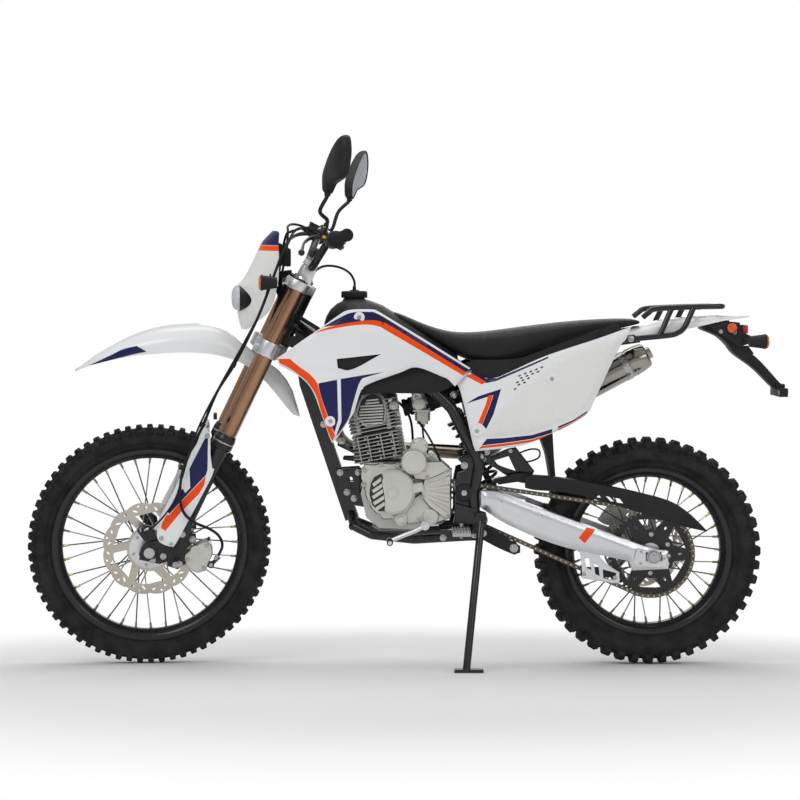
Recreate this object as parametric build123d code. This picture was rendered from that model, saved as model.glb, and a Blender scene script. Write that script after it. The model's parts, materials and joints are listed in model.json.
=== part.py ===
from build123d import *
import os
from math import asin, atan2, cos, degrees, hypot, radians, sin, tan

# Dual sport motorcycle, parked on its side stand: one STEP file for each named sub-part, in millimetres.
# Every piece is drawn on the upright, straight-ahead machine first. There +X runs rearwards from the front
# axle, +Y runs to the machine's right and +Z up from the ground. At the end the front assembly is steered,
# and the whole machine is leaned over onto its side stand and centred over its footprint.

# ---- Driving dimensions of the machine ----
WHEELBASE = 1433.0
RAKE = 25.5  # degrees the steering axis leans back
FORK_LEAD = 56.0  # axle ahead of the fork tubes, square to them
CLAMP_OFFSET = 30.0  # fork tubes ahead of the steering axis
FORK_HALF_SPREAD = 100.0
STEER_REST = 8.0  # degrees the bars are turned to the left where it is parked
LEAN = 8.0  # degrees it leans to the left on its side stand

FRONT_TYRE_R = 346.5
FRONT_TYRE_WIDTH = 82.0
FRONT_BEAD_R = 267.0
FRONT_RIM_WIDTH = 50.0
REAR_TYRE_R = 326.5
REAR_TYRE_WIDTH = 106.0
REAR_BEAD_R = 229.0
REAR_RIM_WIDTH = 64.0

AXLE_R = 10.0
FIT = 0.3  # gap where a piece seats on or turns in another
RUN = 6.0  # gap where a moving piece passes a fixed one

FORK_TUBE_R = 26.0
FORK_SLIDER_R = 23.0
FORK_TUBE_FOOT = 386.0  # heights up the fork from the axle
LOWER_CLAMP_FOOT = 636.0
LOWER_CLAMP_HEIGHT = 44.0
TOP_CLAMP_FOOT = 842.0
TOP_CLAMP_HEIGHT = 28.0
HEAD_TUBE_R = 29.0
STEM_R = 15.0

BAR_R = 11.1
BAR_HALF_WIDTH = 400.0
GRIP_R = 16.5
GRIP_LENGTH = 122.0

PIVOT = (901.0, 503.0)  # swingarm pivot
PIVOT_BOLT_R = 9.0
ARM_INNER_Y = 82.0
ARM_OUTER_Y = 127.0
RAIL_R = 16.0
CRADLE_R = 12.5
SUBFRAME_R = 11.0
RACK_R = 8.0

FRONT_SPROCKET = (838.0, 500.0)
FRONT_SPROCKET_R = 36.0
REAR_SPROCKET_R = 121.0  # pitch radius
CHAIN_Y = -68.0
CHAIN_WIDTH = 14.0
CHAIN_HALF_DEPTH = 6.0
FRONT_DISC_R = 133.0
REAR_DISC_R = 118.0
DISC_THICKNESS = 4.0
SPOKES = 36
SPOKE_R = 1.7

CASE_HALF_WIDTH = 105.0
COVER_DEPTH = 42.0
CYLINDER_TILT = 11.0  # degrees the cylinder leans forward
PANEL = 4.0  # wall of every moulded panel

STAND_PIVOT = (948.0, -149.0, 434.0)  # on the upright machine
STAND_STOWED = (0.973, -0.06, 0.215)  # the leg's direction when it is folded up
STAND_LEG_R = 10.5
STAND_PIN_R = 6.0
STAND_KNUCKLE = (17.0, 20.0)  # radius, width
STAND_SPLAY = 92.0  # foot outboard of the pivot
STAND_FORWARD = 48.0  # foot ahead of the pivot
FOOT_SIZE = (78.0, 52.0, 9.0)

FRONT_AXLE = (0.0, FRONT_TYRE_R)
REAR_AXLE = (WHEELBASE, REAR_TYRE_R)
RAKE_SIN = sin(radians(RAKE))
RAKE_COS = cos(radians(RAKE))
STEER_V = FORK_LEAD + CLAMP_OFFSET

# Fork frame: local X runs rearwards square to the fork from the axle, local Z up along it.
FORK = Plane(
    origin=(FRONT_AXLE[0], 0, FRONT_AXLE[1]),
    x_dir=(RAKE_COS, 0, -RAKE_SIN),
    z_dir=(RAKE_SIN, 0, RAKE_COS),
)
CENTRED = (Align.CENTER, Align.CENTER, Align.CENTER)
UPWARD = (Align.CENTER, Align.CENTER, Align.MIN)


# ---- Ways of making shapes ----
def side_slab(outline, y_low, y_high, grow=0.0):
    """A plate with an (x, z) outline, from y_low to y_high across the machine, its edge moved out by grow."""
    face = make_face(Polyline(*outline, close=True))
    if grow:
        face = offset(face, amount=grow, kind=Kind.INTERSECTION)
    flat = extrude(face, amount=y_high - y_low, dir=(0, 0, 1))
    return Pos(0, y_high, 0) * Rot(90, 0, 0) * flat


def plan_slab(outline, z_low, z_high):
    """A plate with an (x, y) outline, from z_low up to z_high."""
    outline = [(x, y, z_low) for x, y in outline]
    return extrude(make_face(Polyline(*outline, close=True)), amount=z_high - z_low, dir=(0, 0, 1))


def both_sides(shape):
    """The shape and its mirror image on the machine's other side."""
    return shape + shape.mirror(Plane.XZ)


def widths_outline(stations):
    """A closed (x, y) outline from (x, half width) stations, the same on both sides."""
    return [(x, -half) for x, half in stations] + [(x, half) for x, half in reversed(stations)]


def rod(start, end, radius):
    """A round bar between two points."""
    start, end = Vector(*start), Vector(*end)
    return Plane(origin=start, z_dir=end - start) * Cylinder(radius, (end - start).length, align=UPWARD)


def tube(points, radius, bend):
    """A round tube along straight runs joined by arcs of radius bend, or by one radius for each corner."""
    path = FilletPolyline(*points, radius=bend)
    return sweep(Plane(origin=path @ 0, z_dir=path % 0) * Circle(radius), path=path)


def cross_rod(x, z, y_low, y_high, radius):
    """A round bar across the machine."""
    return rod((x, y_low, z), (x, y_high, z), radius)


def ring(x, z, y_low, y_high, outer, inner):
    """A flat ring square to the wheel axles."""
    return cross_rod(x, z, y_low, y_high, outer) - cross_rod(x, z, y_low - 1, y_high + 1, inner)


def cross_box(x_low, x_high, y_low, y_high, z_low, z_high):
    """A box between limits on each axis."""
    centre = ((x_low + x_high) / 2, (y_low + y_high) / 2, (z_low + z_high) / 2)
    return Pos(*centre) * Box(x_high - x_low, y_high - y_low, z_high - z_low)


def fork_point(v, y, u):
    """A point from its fork frame coordinates."""
    return FORK.from_local_coords((v, y, u))


def around(centre, radius, angle):
    """An (x, z) point at an angle in degrees about a centre."""
    return (centre[0] + radius * cos(radians(angle)), centre[1] + radius * sin(radians(angle)))


STEERING_AXIS = Axis(fork_point(STEER_V, 0, 0), FORK.z_dir)


# ---- Wheels ----
def tyre(axle, outer_r, width, bead_r, rim_width):
    """A tyre's closed ring, knobs included, seated between the rim's flanges."""
    bead_half = rim_width / 2 - PANEL - FIT
    flange_r = bead_r + 12
    wall_r = (flange_r + outer_r) / 2 + 4
    shoulder = (outer_r - 13, width * 0.44)
    profile = [
        Line((bead_r + FIT, bead_half), (bead_r + FIT, -bead_half)),
        Line((bead_r + FIT, -bead_half), (flange_r, -bead_half)),
        ThreePointArc((flange_r, -bead_half), (wall_r, -width / 2), (shoulder[0], -shoulder[1])),
        ThreePointArc((shoulder[0], -shoulder[1]), (outer_r, 0), shoulder),
        ThreePointArc(shoulder, (wall_r, width / 2), (flange_r, bead_half)),
        Line((flange_r, bead_half), (bead_r + FIT, bead_half)),
    ]
    return Pos(axle[0], 0, axle[1]) * revolve(make_face(profile), Axis.Y)


def rim(axle, bead_r, rim_width):
    """A drop-centre rim: flanges outside, the spoke bed at its waist."""
    half = rim_width / 2
    profile = [
        (bead_r + 10, -half),
        (bead_r + 10, -half + PANEL),
        (bead_r, -half + PANEL),
        (bead_r, half - PANEL),
        (bead_r + 10, half - PANEL),
        (bead_r + 10, half),
        (bead_r - 7, half),
        (bead_r - 18, half * 0.35),
        (bead_r - 18, -half * 0.35),
        (bead_r - 7, -half),
    ]
    return Pos(axle[0], 0, axle[1]) * revolve(make_face(Polyline(*profile, close=True)), Axis.Y)


def spoked_hub(axle, rim_inner_r, barrel_r, flange_r, flange_y, y_low, y_high):
    """A hub with its two flanges and crossed wire spokes."""
    hub = cross_rod(0, 0, y_low, y_high, barrel_r)
    for side in (-1, 1):
        hub += Pos(0, side * flange_y, 0) * Rot(90, 0, 0) * Cylinder(flange_r, 7, align=CENTRED)
    for number in range(SPOKES):
        side = 1 if number % 2 else -1
        lead = 62 if number % 4 < 2 else -62
        angle = number * 360 / SPOKES
        foot = around((0, 0), flange_r - 4, angle + lead)
        head = around((0, 0), rim_inner_r - 2 * FIT, angle)
        hub += rod((foot[0], side * flange_y, foot[1]), (head[0], side * 4, head[1]), SPOKE_R)
    hub -= cross_rod(0, 0, y_low - 1, y_high + 1, AXLE_R + FIT)
    return Pos(axle[0], 0, axle[1]) * hub


def brake_disc(axle, radius, y_low, hub_r, seat_r):
    """A drilled disc on a six-armed carrier with a ring of bolts."""
    y_high = y_low + DISC_THICKNESS
    disc = ring(0, 0, y_low, y_high, radius, radius * 0.74)
    disc += ring(0, 0, y_low, y_high, seat_r + 16, hub_r)
    for number in range(6):
        angle = number * 60
        arm = cross_box(seat_r, radius * 0.78, y_low, y_high, -8, 8)
        disc += Rot(0, angle, 0) * arm
    for number in range(18):
        hole = around((0, 0), radius * 0.87, number * 20)
        disc -= cross_rod(hole[0], hole[1], y_low - 1, y_high + 1, 6)
    return Pos(axle[0], 0, axle[1]) * disc


FRONT_HUB_HALF = 52.0
FRONT_DISC_Y = -68.0
REAR_HUB_HALF = 60.0
REAR_DISC_Y = 68.0
SPROCKET_Y = CHAIN_Y - 3.0


def front_hub():
    hub = spoked_hub(FRONT_AXLE, FRONT_BEAD_R - 18, 21, 34, 28, -FRONT_HUB_HALF, FRONT_HUB_HALF)
    seat_y = FRONT_DISC_Y + DISC_THICKNESS
    return hub + ring(*FRONT_AXLE, seat_y, -28, 34, 22)


def rear_hub():
    hub = spoked_hub(REAR_AXLE, REAR_BEAD_R - 18, 26, 42, 32, -REAR_HUB_HALF, REAR_HUB_HALF)
    hub += ring(*REAR_AXLE, SPROCKET_Y + 6, -32, 42, 24)
    return hub + ring(*REAR_AXLE, 32, REAR_DISC_Y, 42, 24)


def rear_sprocket():
    """The toothed ring on its spider, inside the chain."""
    tip_r = REAR_SPROCKET_R - CHAIN_HALF_DEPTH - 1.5
    disc = ring(*REAR_AXLE, SPROCKET_Y, SPROCKET_Y + 6, tip_r, 28)
    for number in range(6):
        hole = around(REAR_AXLE, 80, number * 60 + 30)
        disc -= cross_rod(hole[0], hole[1], SPROCKET_Y - 1, SPROCKET_Y + 7, 22)
    return disc


# ---- Fork, clamps and bars, in the fork frame (rearwards, right, up the fork) ----
def fork_tubes():
    height = TOP_CLAMP_FOOT + TOP_CLAMP_HEIGHT + 6 - FORK_TUBE_FOOT
    tubes = Pos(FORK_LEAD, FORK_HALF_SPREAD, FORK_TUBE_FOOT) * Cylinder(FORK_TUBE_R, height, align=UPWARD)
    return FORK * both_sides(tubes)


FOOT_OUTLINE = [
    (-24, -20), (-24, 18), (16, 44), (FORK_LEAD - FORK_SLIDER_R, 104), (79, 104), (79, 34), (44, -10),
    (4, -26),
]


def fork_sliders():
    """Each slider has a seal collar at its head and an axle foot that reaches forward."""
    y = FORK_HALF_SPREAD
    slider = Pos(FORK_LEAD, y, 40) * Cylinder(FORK_SLIDER_R, FORK_TUBE_FOOT - 40 - FIT, align=UPWARD)
    slider += Pos(FORK_LEAD, y, FORK_TUBE_FOOT - 32) * Cylinder(FORK_TUBE_R + 5, 32 - FIT, align=UPWARD)
    slider += side_slab(FOOT_OUTLINE, y - 24, y + 24)
    slider -= cross_rod(0, 0, y - 30, y + 30, AXLE_R + 0.05)
    return FORK * both_sides(slider)


def front_axle():
    x, z = FRONT_AXLE
    inner = FRONT_HUB_HALF + FIT
    outer = FORK_HALF_SPREAD - 24 - FIT
    axle = cross_rod(x, z, -132, 132, AXLE_R)
    axle += cross_rod(x, z, inner, outer, AXLE_R + 6)
    axle += cross_rod(x, z, -outer, -inner, AXLE_R + 6)
    return axle + cross_rod(x, z, -132, -FORK_HALF_SPREAD - 24 - FIT, AXLE_R + 5)


CLAMP_OUTLINE = [
    (26, -134), (88, -134), (88, -74), (108, -34), (116, -14), (116, 14), (108, 34), (88, 74),
    (88, 134), (26, 134),
    (22, 60), (30, 0), (22, -60),
]


def clamp_plate(foot, height):
    plate = plan_slab(CLAMP_OUTLINE, foot, foot + height)
    for side in (-1, 1):
        bore = Cylinder(FORK_TUBE_R + FIT, height + 2, align=UPWARD)
        plate -= Pos(FORK_LEAD, side * FORK_HALF_SPREAD, foot - 1) * bore
    return plate


def lower_clamp():
    """The lower clamp carries the stem that turns in the frame's head tube."""
    stem = Pos(STEER_V, 0, LOWER_CLAMP_FOOT) * Cylinder(
        STEM_R, TOP_CLAMP_FOOT - LOWER_CLAMP_FOOT - FIT, align=UPWARD
    )
    return FORK * (clamp_plate(LOWER_CLAMP_FOOT, LOWER_CLAMP_HEIGHT) + stem)


STEM_NUT_HEIGHT = 8.0
VENT_HOLE_R = 6.0
BAR_CENTRE = (70.0, 918.0)  # rearwards, up the fork
RISER_Y = 45.0
# rearwards, across, up the fork
BAR_POINTS = [(92, BAR_HALF_WIDTH, 1038), (70, 205, 1000), (70, 95, 918)]
BAR_BEND = 45.0


def by_bar(from_end, v=0.0, u=0.0):
    """A fork frame point on the right-hand bar, from its outer end and then off its centreline."""
    outer, inner = Vector(*BAR_POINTS[0]), Vector(*BAR_POINTS[1])
    return tuple(outer + (inner - outer).normalized() * from_end + Vector(v, 0, u))


def bar_path():
    right = BAR_POINTS
    left = [(v, -y, u) for v, y, u in reversed(BAR_POINTS)]
    return right + left


BAR_BORE_R = 7.0
BAR_BORE_DEPTH = 45.0


def bar_bores():
    """The open ends of the bar, through the grips' ends too."""
    return both_sides(along_bar(-10, BAR_BORE_DEPTH + 10, BAR_BORE_R, 0))


def handlebar():
    return FORK * (tube(bar_path(), BAR_R, BAR_BEND) - bar_bores())


def top_clamp():
    """The top clamp with its two risers around the handlebar."""
    head = TOP_CLAMP_FOOT + TOP_CLAMP_HEIGHT
    clamp = clamp_plate(TOP_CLAMP_FOOT, TOP_CLAMP_HEIGHT)
    v, u = BAR_CENTRE
    riser = cross_box(v - 17, v + 17, RISER_Y - 14, RISER_Y + 14, head, u + 19)
    riser += cross_box(v - 22, v + 22, RISER_Y - 19, RISER_Y + 19, head, head + 7)
    clamp += both_sides(riser)
    clamp -= cross_rod(v, u, -70, 70, BAR_R + FIT)
    nut = Pos(STEER_V, 0, head) * Cylinder(17, STEM_NUT_HEIGHT, align=UPWARD)
    hole = Pos(STEER_V, 0, TOP_CLAMP_FOOT - 1) * Cylinder(VENT_HOLE_R, 60, align=UPWARD)
    return FORK * (clamp + nut - hole)


def along_bar(from_outer_end, length, radius, inner_radius):
    """A right-hand sleeve on the straight outer end of the bar, in the fork frame."""
    outer, inner = Vector(*BAR_POINTS[0]), Vector(*BAR_POINTS[1])
    run = (inner - outer).normalized()
    seat = Plane(origin=outer + run * from_outer_end, z_dir=run)
    sleeve = Cylinder(radius, length, align=UPWARD)
    if inner_radius:
        sleeve -= Pos(0, 0, -1) * Cylinder(inner_radius, length + 2, align=UPWARD)
    return seat * sleeve


GRIP_HOLE_GAP = 1.6  # the hole in a grip's end is this much wider than the bar's bore


def grip(side):
    """The rubber grip at one end of the bars: -1 on the machine's left, 1 on its right."""
    rubber = along_bar(-5, GRIP_LENGTH - 4, GRIP_R, 0) + along_bar(GRIP_LENGTH - 15, 6, GRIP_R + 7, 0)
    rubber -= along_bar(-FIT, GRIP_LENGTH + 4, BAR_R + FIT, 0)
    rubber -= along_bar(-10, 20, BAR_BORE_R + GRIP_HOLE_GAP, 0)
    return FORK * (rubber if side > 0 else rubber.mirror(Plane.XZ))


PERCH_FROM_END = 157.0
PERCH_SIZE = (22.0, 22.0, 26.0)
PERCH_OFF_BAR = (-23.7, 2.8)  # rearwards, up
PERCH_FACE_V = by_bar(PERCH_FROM_END, PERCH_OFF_BAR[0])[0] - PERCH_SIZE[0] / 2
# from the bar's outer end, rearwards of the bar, up from the bar
LEVER = [(157, -26.7, 1.8), (141, -58, -21), (103, -74, -46.5), (15, -86, -91)]
MIRROR_FOOT = by_bar(154, -8.9, 19.2)
LEVER_R = 5.5
LEVER_BALL_R = 9.0


def hand_controls():
    """Switch box, perch and lever on each side; the perch also carries the mirror's boss."""
    box = along_bar(GRIP_LENGTH - 8, 34, 25, BAR_R + FIT)
    points = [by_bar(*row) for row in LEVER]
    lever = tube(points, LEVER_R, 14) + Pos(*points[-1]) * Sphere(LEVER_BALL_R)
    perch = Pos(*by_bar(PERCH_FROM_END, *PERCH_OFF_BAR)) * Box(*PERCH_SIZE)
    mirror_boss = Pos(*MIRROR_FOOT) * Cylinder(9, 12, align=UPWARD)
    return FORK * both_sides(box + perch + lever + mirror_boss)


# Outline of a mirror's head seen from behind: outwards from its neck, up.
MIRROR_OUTLINE = [
    (-12, 0), (10, -8), (56, 12), (118, 26), (150, 58), (162, 112), (140, 146), (108, 138), (56, 102),
    (8, 56), (-12, 22),
]
MIRROR_DEPTH = 38.0
# sign, neck x and z, the bend in the stem below it, and the degrees the glass turns towards the rider
MIRRORS = [(-1, (484, 1360), (467, 1314), 15), (1, (602, 1348), (552, 1303), 24)]
MIRROR_NECK_Y = MIRROR_FOOT[1] + 50.0


def mirror(sign, neck, bend, turn):
    """A stem up from its boss and a shell that tapers away from the glass."""
    root = fork_point(MIRROR_FOOT[0], sign * MIRROR_FOOT[1], MIRROR_FOOT[2] + 12 + FIT)
    top = (neck[0], sign * MIRROR_NECK_Y, neck[1] + 10)
    above = fork_point(MIRROR_FOOT[0], sign * MIRROR_FOOT[1], MIRROR_FOOT[2] + 34)
    stem = tube([tuple(root), tuple(above), (bend[0], sign * (MIRROR_NECK_Y - 28), bend[1]), top], 5.5, 8)
    turn = radians(turn)
    outwards = Vector(sin(turn), sign * cos(turn), 0)
    back = Vector(-cos(turn), sign * sin(turn), 0)
    place = Vector(neck[0], sign * MIRROR_NECK_Y, neck[1])
    glass_side = [place + outwards * p + Vector(0, 0, q) - back * 12 for p, q in MIRROR_OUTLINE]
    head = extrude(make_face(Polyline(*glass_side, close=True)), amount=MIRROR_DEPTH, dir=back)
    return stem + head


def mirrors():
    left, right = (mirror(*row) for row in MIRRORS)
    return left + right


# ---- Front bodywork ----
FENDER_TOP = [
    (-209, 852), (-161, 884), (-103, 918), (-46, 946), (27, 967), (113, 977), (200, 970),
    (248, 942), (284, 900), (322, 878), (358, 858), (392, 812), (418, 764), (430, 716),
]
FENDER_SKIRT = [
    (408, 716), (373, 759), (330, 818), (270, 862), (230, 886), (164, 903), (93, 912), (-1, 900),
    (-107, 873),
]
# x, half width
FENDER_PLAN = [(-210, 10), (-160, 44), (-80, 70), (40, 82), (180, 84), (262, 64), (380, 58), (434, 40)]


def front_fender():
    """An arched shell: a crown and two skirts."""
    body = side_slab(FENDER_TOP + FENDER_SKIRT, -90, 90)
    body &= plan_slab(widths_outline(FENDER_PLAN), 600, 1100)
    crown = [(x, z - PANEL) for x, z in FENDER_TOP[1:]]
    hollow = side_slab(crown + [(430, 600), (-161, 600)], -90, 90)
    inside = [(x, half - PANEL) for x, half in FENDER_PLAN[1:-1]]
    hollow &= plan_slab(widths_outline([(-158, 36)] + inside[1:] + [(440, 34)]), 500, 1100)
    studs = None
    for v in (50, 95):
        stud = both_sides(rod((v, 30, LOWER_CLAMP_FOOT - 24), (v, 30, LOWER_CLAMP_FOOT - FIT), 8))
        studs = stud if studs is None else studs + stud
    return (body - hollow) + FORK * studs


MASK_OUTLINE = [
    (366, 1246), (346, 1246), (320, 1216), (266, 1104), (250, 1096), (246, 1016), (254, 972),
    (275, 964), (326, 1010), (344, 1050), (356, 1090), (362, 1133),
]
# x, half width
MASK_PLAN = [(240, 56), (252, 78), (300, 104), (370, 116)]
LAMP_CENTRE_Z = 1055.0
LAMP_HALF = (70.0, 40.0)


def lamp_prism(x_low, x_high, grow):
    ellipse = Plane(origin=(x_low, 0, LAMP_CENTRE_Z), x_dir=(0, 1, 0), z_dir=(1, 0, 0)) * Ellipse(
        LAMP_HALF[0] + grow, LAMP_HALF[1] + grow
    )
    return extrude(ellipse, amount=x_high - x_low)


def headlight_mask():
    body = side_slab(MASK_OUTLINE, -120, 120) & plan_slab(widths_outline(MASK_PLAN), 900, 1300)
    hollow = side_slab(
        [
            (400, 1300), (358, 1242), (350, 1240), (325, 1212), (272, 1100), (256, 1092), (252, 1018),
            (262, 978), (280, 972), (400, 960),
        ],
        -120, 120,
    )
    hollow &= plan_slab(widths_outline([(247, 50), (258, 74), (304, 99), (400, 112)]), 900, 1400)
    return body - hollow - lamp_prism(230, 290, FIT)


def headlight():
    return lamp_prism(236, 300, 0) + cross_box(300, 322, -40, 40, LAMP_CENTRE_Z - 30, LAMP_CENTRE_Z + 30)


def instrument():
    """The bracket from the top clamp that carries the instrument, the mask and the lamp."""
    stay = side_slab([
        (322.3, 1030), (322.3, 1080), (336, 1200), (352, 1228), (366, 1222), (366, 1110), (352, 1040),
    ], -30, 30)
    arm = side_slab([(352, 1092), (352, 1128), (408, 1136), (408, 1125), (400, 1122), (378, 1112)], -25, 25)
    clamp_top = TOP_CLAMP_FOOT + TOP_CLAMP_HEIGHT + FIT
    arm += FORK * cross_box(29, 60, -25, 25, clamp_top, clamp_top + 6)
    display = side_slab([(366, 1150), (366, 1212), (402, 1196), (402, 1146)], -48, 48)
    ears = side_slab([(346, 1096), (346, 1124), (356, 1128), (356, 1096)], -103.5, 103.5)
    return stay + arm + display + ears


INDICATOR_Y = 178.0


def front_indicators():
    """A stalk and a lamp body on each side of the mask's bracket."""
    stalk = rod((350, 114, 1110), (334, INDICATOR_Y - 10, 1108), 6)
    lamp = Pos(330, INDICATOR_Y, 1107) * Rot(0, -90, 0) * Cone(22, 15, 52, align=CENTRED)
    return both_sides(stalk + lamp)


GUARD_OUTLINE = [
    (6, 108), (20, 118), (24, 340), (26, 384), (18, 398), (4, 392), (2, 350), (-20, 300), (-12, 210),
    (-6, 140),
]


def fork_guards():
    """Moulded guards ahead of the sliders, bolted to the axle feet."""
    y = FORK_HALF_SPREAD
    front = side_slab(GUARD_OUTLINE, y - 24, y + 30)
    side = side_slab([
        (-20, 300), (-8, 130), (14, 108), (30, 106), (70, 200), (78, 330), (60, 350), (20, 350),
    ], y + 26, y + 30)
    inner = side_slab([(2, 120), (24, 122), (26, 380), (6, 380), (4, 345), (-14, 300)], y - 20, y + 26)
    side += front - inner
    side -= Pos(FORK_LEAD, y, 0) * Cylinder(FORK_SLIDER_R + FIT, 450, align=UPWARD)
    side -= Pos(FORK_LEAD, y, FORK_TUBE_FOOT - 32.5) * Cylinder(FORK_TUBE_R + 5 + FIT, 40, align=UPWARD)
    return FORK * both_sides(side)


FRONT_CALIPER = (112.0, -14.0)  # from the front axle


def front_caliper():
    """Two halves bridged outside the disc, on a bracket from the left axle foot."""
    x, z = FRONT_AXLE[0] + FRONT_CALIPER[0], FRONT_AXLE[1] + FRONT_CALIPER[1]
    disc_low = FRONT_DISC_Y - RUN
    disc_high = FRONT_DISC_Y + DISC_THICKNESS + RUN
    body = cross_box(x - 34, x + 44, disc_low - 20, disc_high + 14, z - 38, z + 38)
    body -= cross_box(x - 60, x + 60, disc_low, disc_high, z - 60, z + 60)
    bridge = side_slab([
        (x + 30, z - 38), (x + 52, z - 30), (x + 52, z + 30), (x + 30, z + 38),
    ], disc_low - 20, disc_high + 14)
    body += bridge - ring(*FRONT_AXLE, disc_low, disc_high, FRONT_DISC_R + RUN, 1)
    body += side_slab([
        (46, 300), (x - 30, z - 30), (x - 30, z + 30), (72, 366), (40, 352),
    ], disc_low - 20, disc_low - 6)
    return body - FORK * side_slab(FOOT_OUTLINE, -130, -FORK_HALF_SPREAD + 24 + FIT, FIT)


def perch_inner_face(away):
    """A point off the middle of the right perch's inner face."""
    from_end = PERCH_FROM_END + PERCH_SIZE[1] / 2 + away
    return tuple(fork_point(*by_bar(from_end, *PERCH_OFF_BAR)))


HOSE_R = 4.0
# x, y, z on the upright machine: caliper, fork guard, clamp guide, behind the mask, master cylinder
HOSE_POINTS = [
    (165, -104, 332), (205, -112, 372), (176, -134, 440), (104, -146, 500), (96, -148, 600),
    (148, -148, 740), (228, -148, 900), (300, -150, 1050), (356, -152, 1170), (404, -110, 1262),
    (424, 60, 1284), (446, 160, 1262), perch_inner_face(26), perch_inner_face(FIT),
]


def bend_radii(points):
    """The largest arcs that the runs on both sides of each corner leave room for."""
    radii = []
    for before, corner, after in zip(points, points[1:], points[2:]):
        into = Vector(*corner) - Vector(*before)
        out = Vector(*after) - Vector(*corner)
        turn = radians(into.get_angle(out))
        radii.append(0.45 * min(into.length, out.length) / tan(turn / 2))
    return radii


def brake_hose():
    return tube(HOSE_POINTS, HOSE_R, bend_radii(HOSE_POINTS))


def cable_mouth(sign, ahead, rise=0.0):
    """A cable's point ahead of the perch on one side of the bars."""
    _, y, u = by_bar(PERCH_FROM_END + 4, 0, 9.3 + rise)
    return tuple(fork_point(PERCH_FACE_V - FIT - ahead, sign * y, u))


# Both cables: points that turn with the bars, then points that stay with the frame.
# Clutch: left perch, arch, right of the head tube, crankcase.
CLUTCH_TURNED = [
    cable_mouth(-1, 0), cable_mouth(-1, 22), cable_mouth(-1, 40, 13), (398, -130, 1294), (392, 34, 1280),
    (386, 74, 1200), (372, 68, 1110), (384, 62, 1040),
]
CLUTCH_FIXED = [
    (428, 54, 1000), (484, 52, 964), (540, 46, 930), (572, 44, 870), (610, 70, 830), (660, 98, 790),
    (752, 98, 690), (760, CASE_HALF_WIDTH - 8, 590 + FIT),
]
# Throttle: right perch, arch, left of the head tube, under the tank, carburettor.
THROTTLE_TURNED = [
    cable_mouth(1, 0), cable_mouth(1, 22), cable_mouth(1, 40, 17), (404, 100, 1316), (398, -24, 1296),
    (388, -72, 1200), (372, -68, 1110), (384, -62, 1040),
]
THROTTLE_FIXED = [
    (428, -54, 1000), (484, -52, 964), (540, -46, 930), (640, -40, 880), (740, -20, 838), (775, 0, 800),
    (775, 0, 772 + FIT),
]


def turned(point):
    """Where a point of the front assembly is with the bars at rest."""
    foot = STEERING_AXIS.position
    return tuple((Vector(*point) - foot).rotate(STEERING_AXIS, STEER_REST) + foot)


def control_cables():
    cables = []
    for turning, fixed in ((CLUTCH_TURNED, CLUTCH_FIXED), (THROTTLE_TURNED, THROTTLE_FIXED)):
        points = [turned(point) for point in turning] + fixed
        cables.append(tube(points, HOSE_R, bend_radii(points)))
    return cables[0] + cables[1]


VENT_R = 3.5
VENT_TAIL = 12.0  # how far it goes down the stem nut's hole


def vent_hose():
    """The tank cap's breather, over and down into the steering stem's nut."""
    head = TOP_CLAMP_FOOT + TOP_CLAMP_HEIGHT + STEM_NUT_HEIGHT
    tail, above = fork_point(STEER_V, 0, head - VENT_TAIL), fork_point(STEER_V, 0, head + 19)
    nipple_top = TANK_TOP + FIT + CAP_HEIGHT
    points = [
        (CAP_X, 0, nipple_top + FIT), (CAP_X, 0, nipple_top + 22), (550, 0, 1138), (502, 0, 1146),
        tuple(above), tuple(tail),
    ]
    return tube(points, VENT_R, bend_radii(points))


# ---- Frame ----
DOWNTUBE = [
    (394, 918), (394, 940), (420, 946), (466, 812), (600, 424), (563, 412), (431, 802), (415, 907),
]
RAIL_POINTS = [
    (410, 6, 985), (560, 84, 886), (800, 97, 806), (866, 97, 742), (944, 97, 590), (928, 97, 500),
    (930, 97, 390),
]
RAIL_BEND = 60.0
CRADLE_POINTS = [(578, 22, 432), (590, 62, 402), (640, 78, 380), (760, 82, 368), (930, 84, 378)]
PIVOT_PLATE = [
    (884, 560), (936, 575), (946, 470), (946, 368), (834, 368), (834, 397), (866, 399), (876, 440),
    (876, 520),
]


MOUNT_PLATE = [(556, 452), (640, 470), (640, 528), (622, 532), (538, 520)]


def main_frame():
    """Head tube, downtube, twin rails that drop to the pivot plates, and the cradle under the engine."""
    head = Pos(STEER_V, 0, LOWER_CLAMP_FOOT + LOWER_CLAMP_HEIGHT + 1) * Cylinder(
        HEAD_TUBE_R, TOP_CLAMP_FOOT - LOWER_CLAMP_FOOT - LOWER_CLAMP_HEIGHT - 2, align=UPWARD
    )
    frame = FORK * head
    frame += side_slab(DOWNTUBE, -19, 19)
    frame += side_slab([(414, 960), (470, 945), (500, 915), (456, 842), (430, 900)], -8, 8)
    frame += both_sides(tube(RAIL_POINTS, RAIL_R, RAIL_BEND))
    frame += both_sides(tube(CRADLE_POINTS, CRADLE_R, [16, 30, 60]))
    frame += both_sides(side_slab(PIVOT_PLATE, 91, 103))
    for x, z in ((866, 752), (925, 384)):
        frame += cross_rod(x, z, -97, 97, CRADLE_R)
    frame += both_sides(side_slab(MOUNT_PLATE, 14, 26)) - side_slab(CASE_OUTLINE, -110, 110, FIT)
    frame -= FORK * (Pos(STEER_V, 0, 600) * Cylinder(STEM_R + FIT, 300, align=UPWARD))
    return frame - cross_rod(*PIVOT, -140, 140, PIVOT_BOLT_R + FIT)


SUBFRAME_TOP = [(886, 74, 792), (1000, 78, 820), (1290, 82, 918), (1400, 80, 938)]
SUBFRAME_LOW = [(962, 60, 612), (1080, 60, 720), (1258, 66, 898)]


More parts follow.
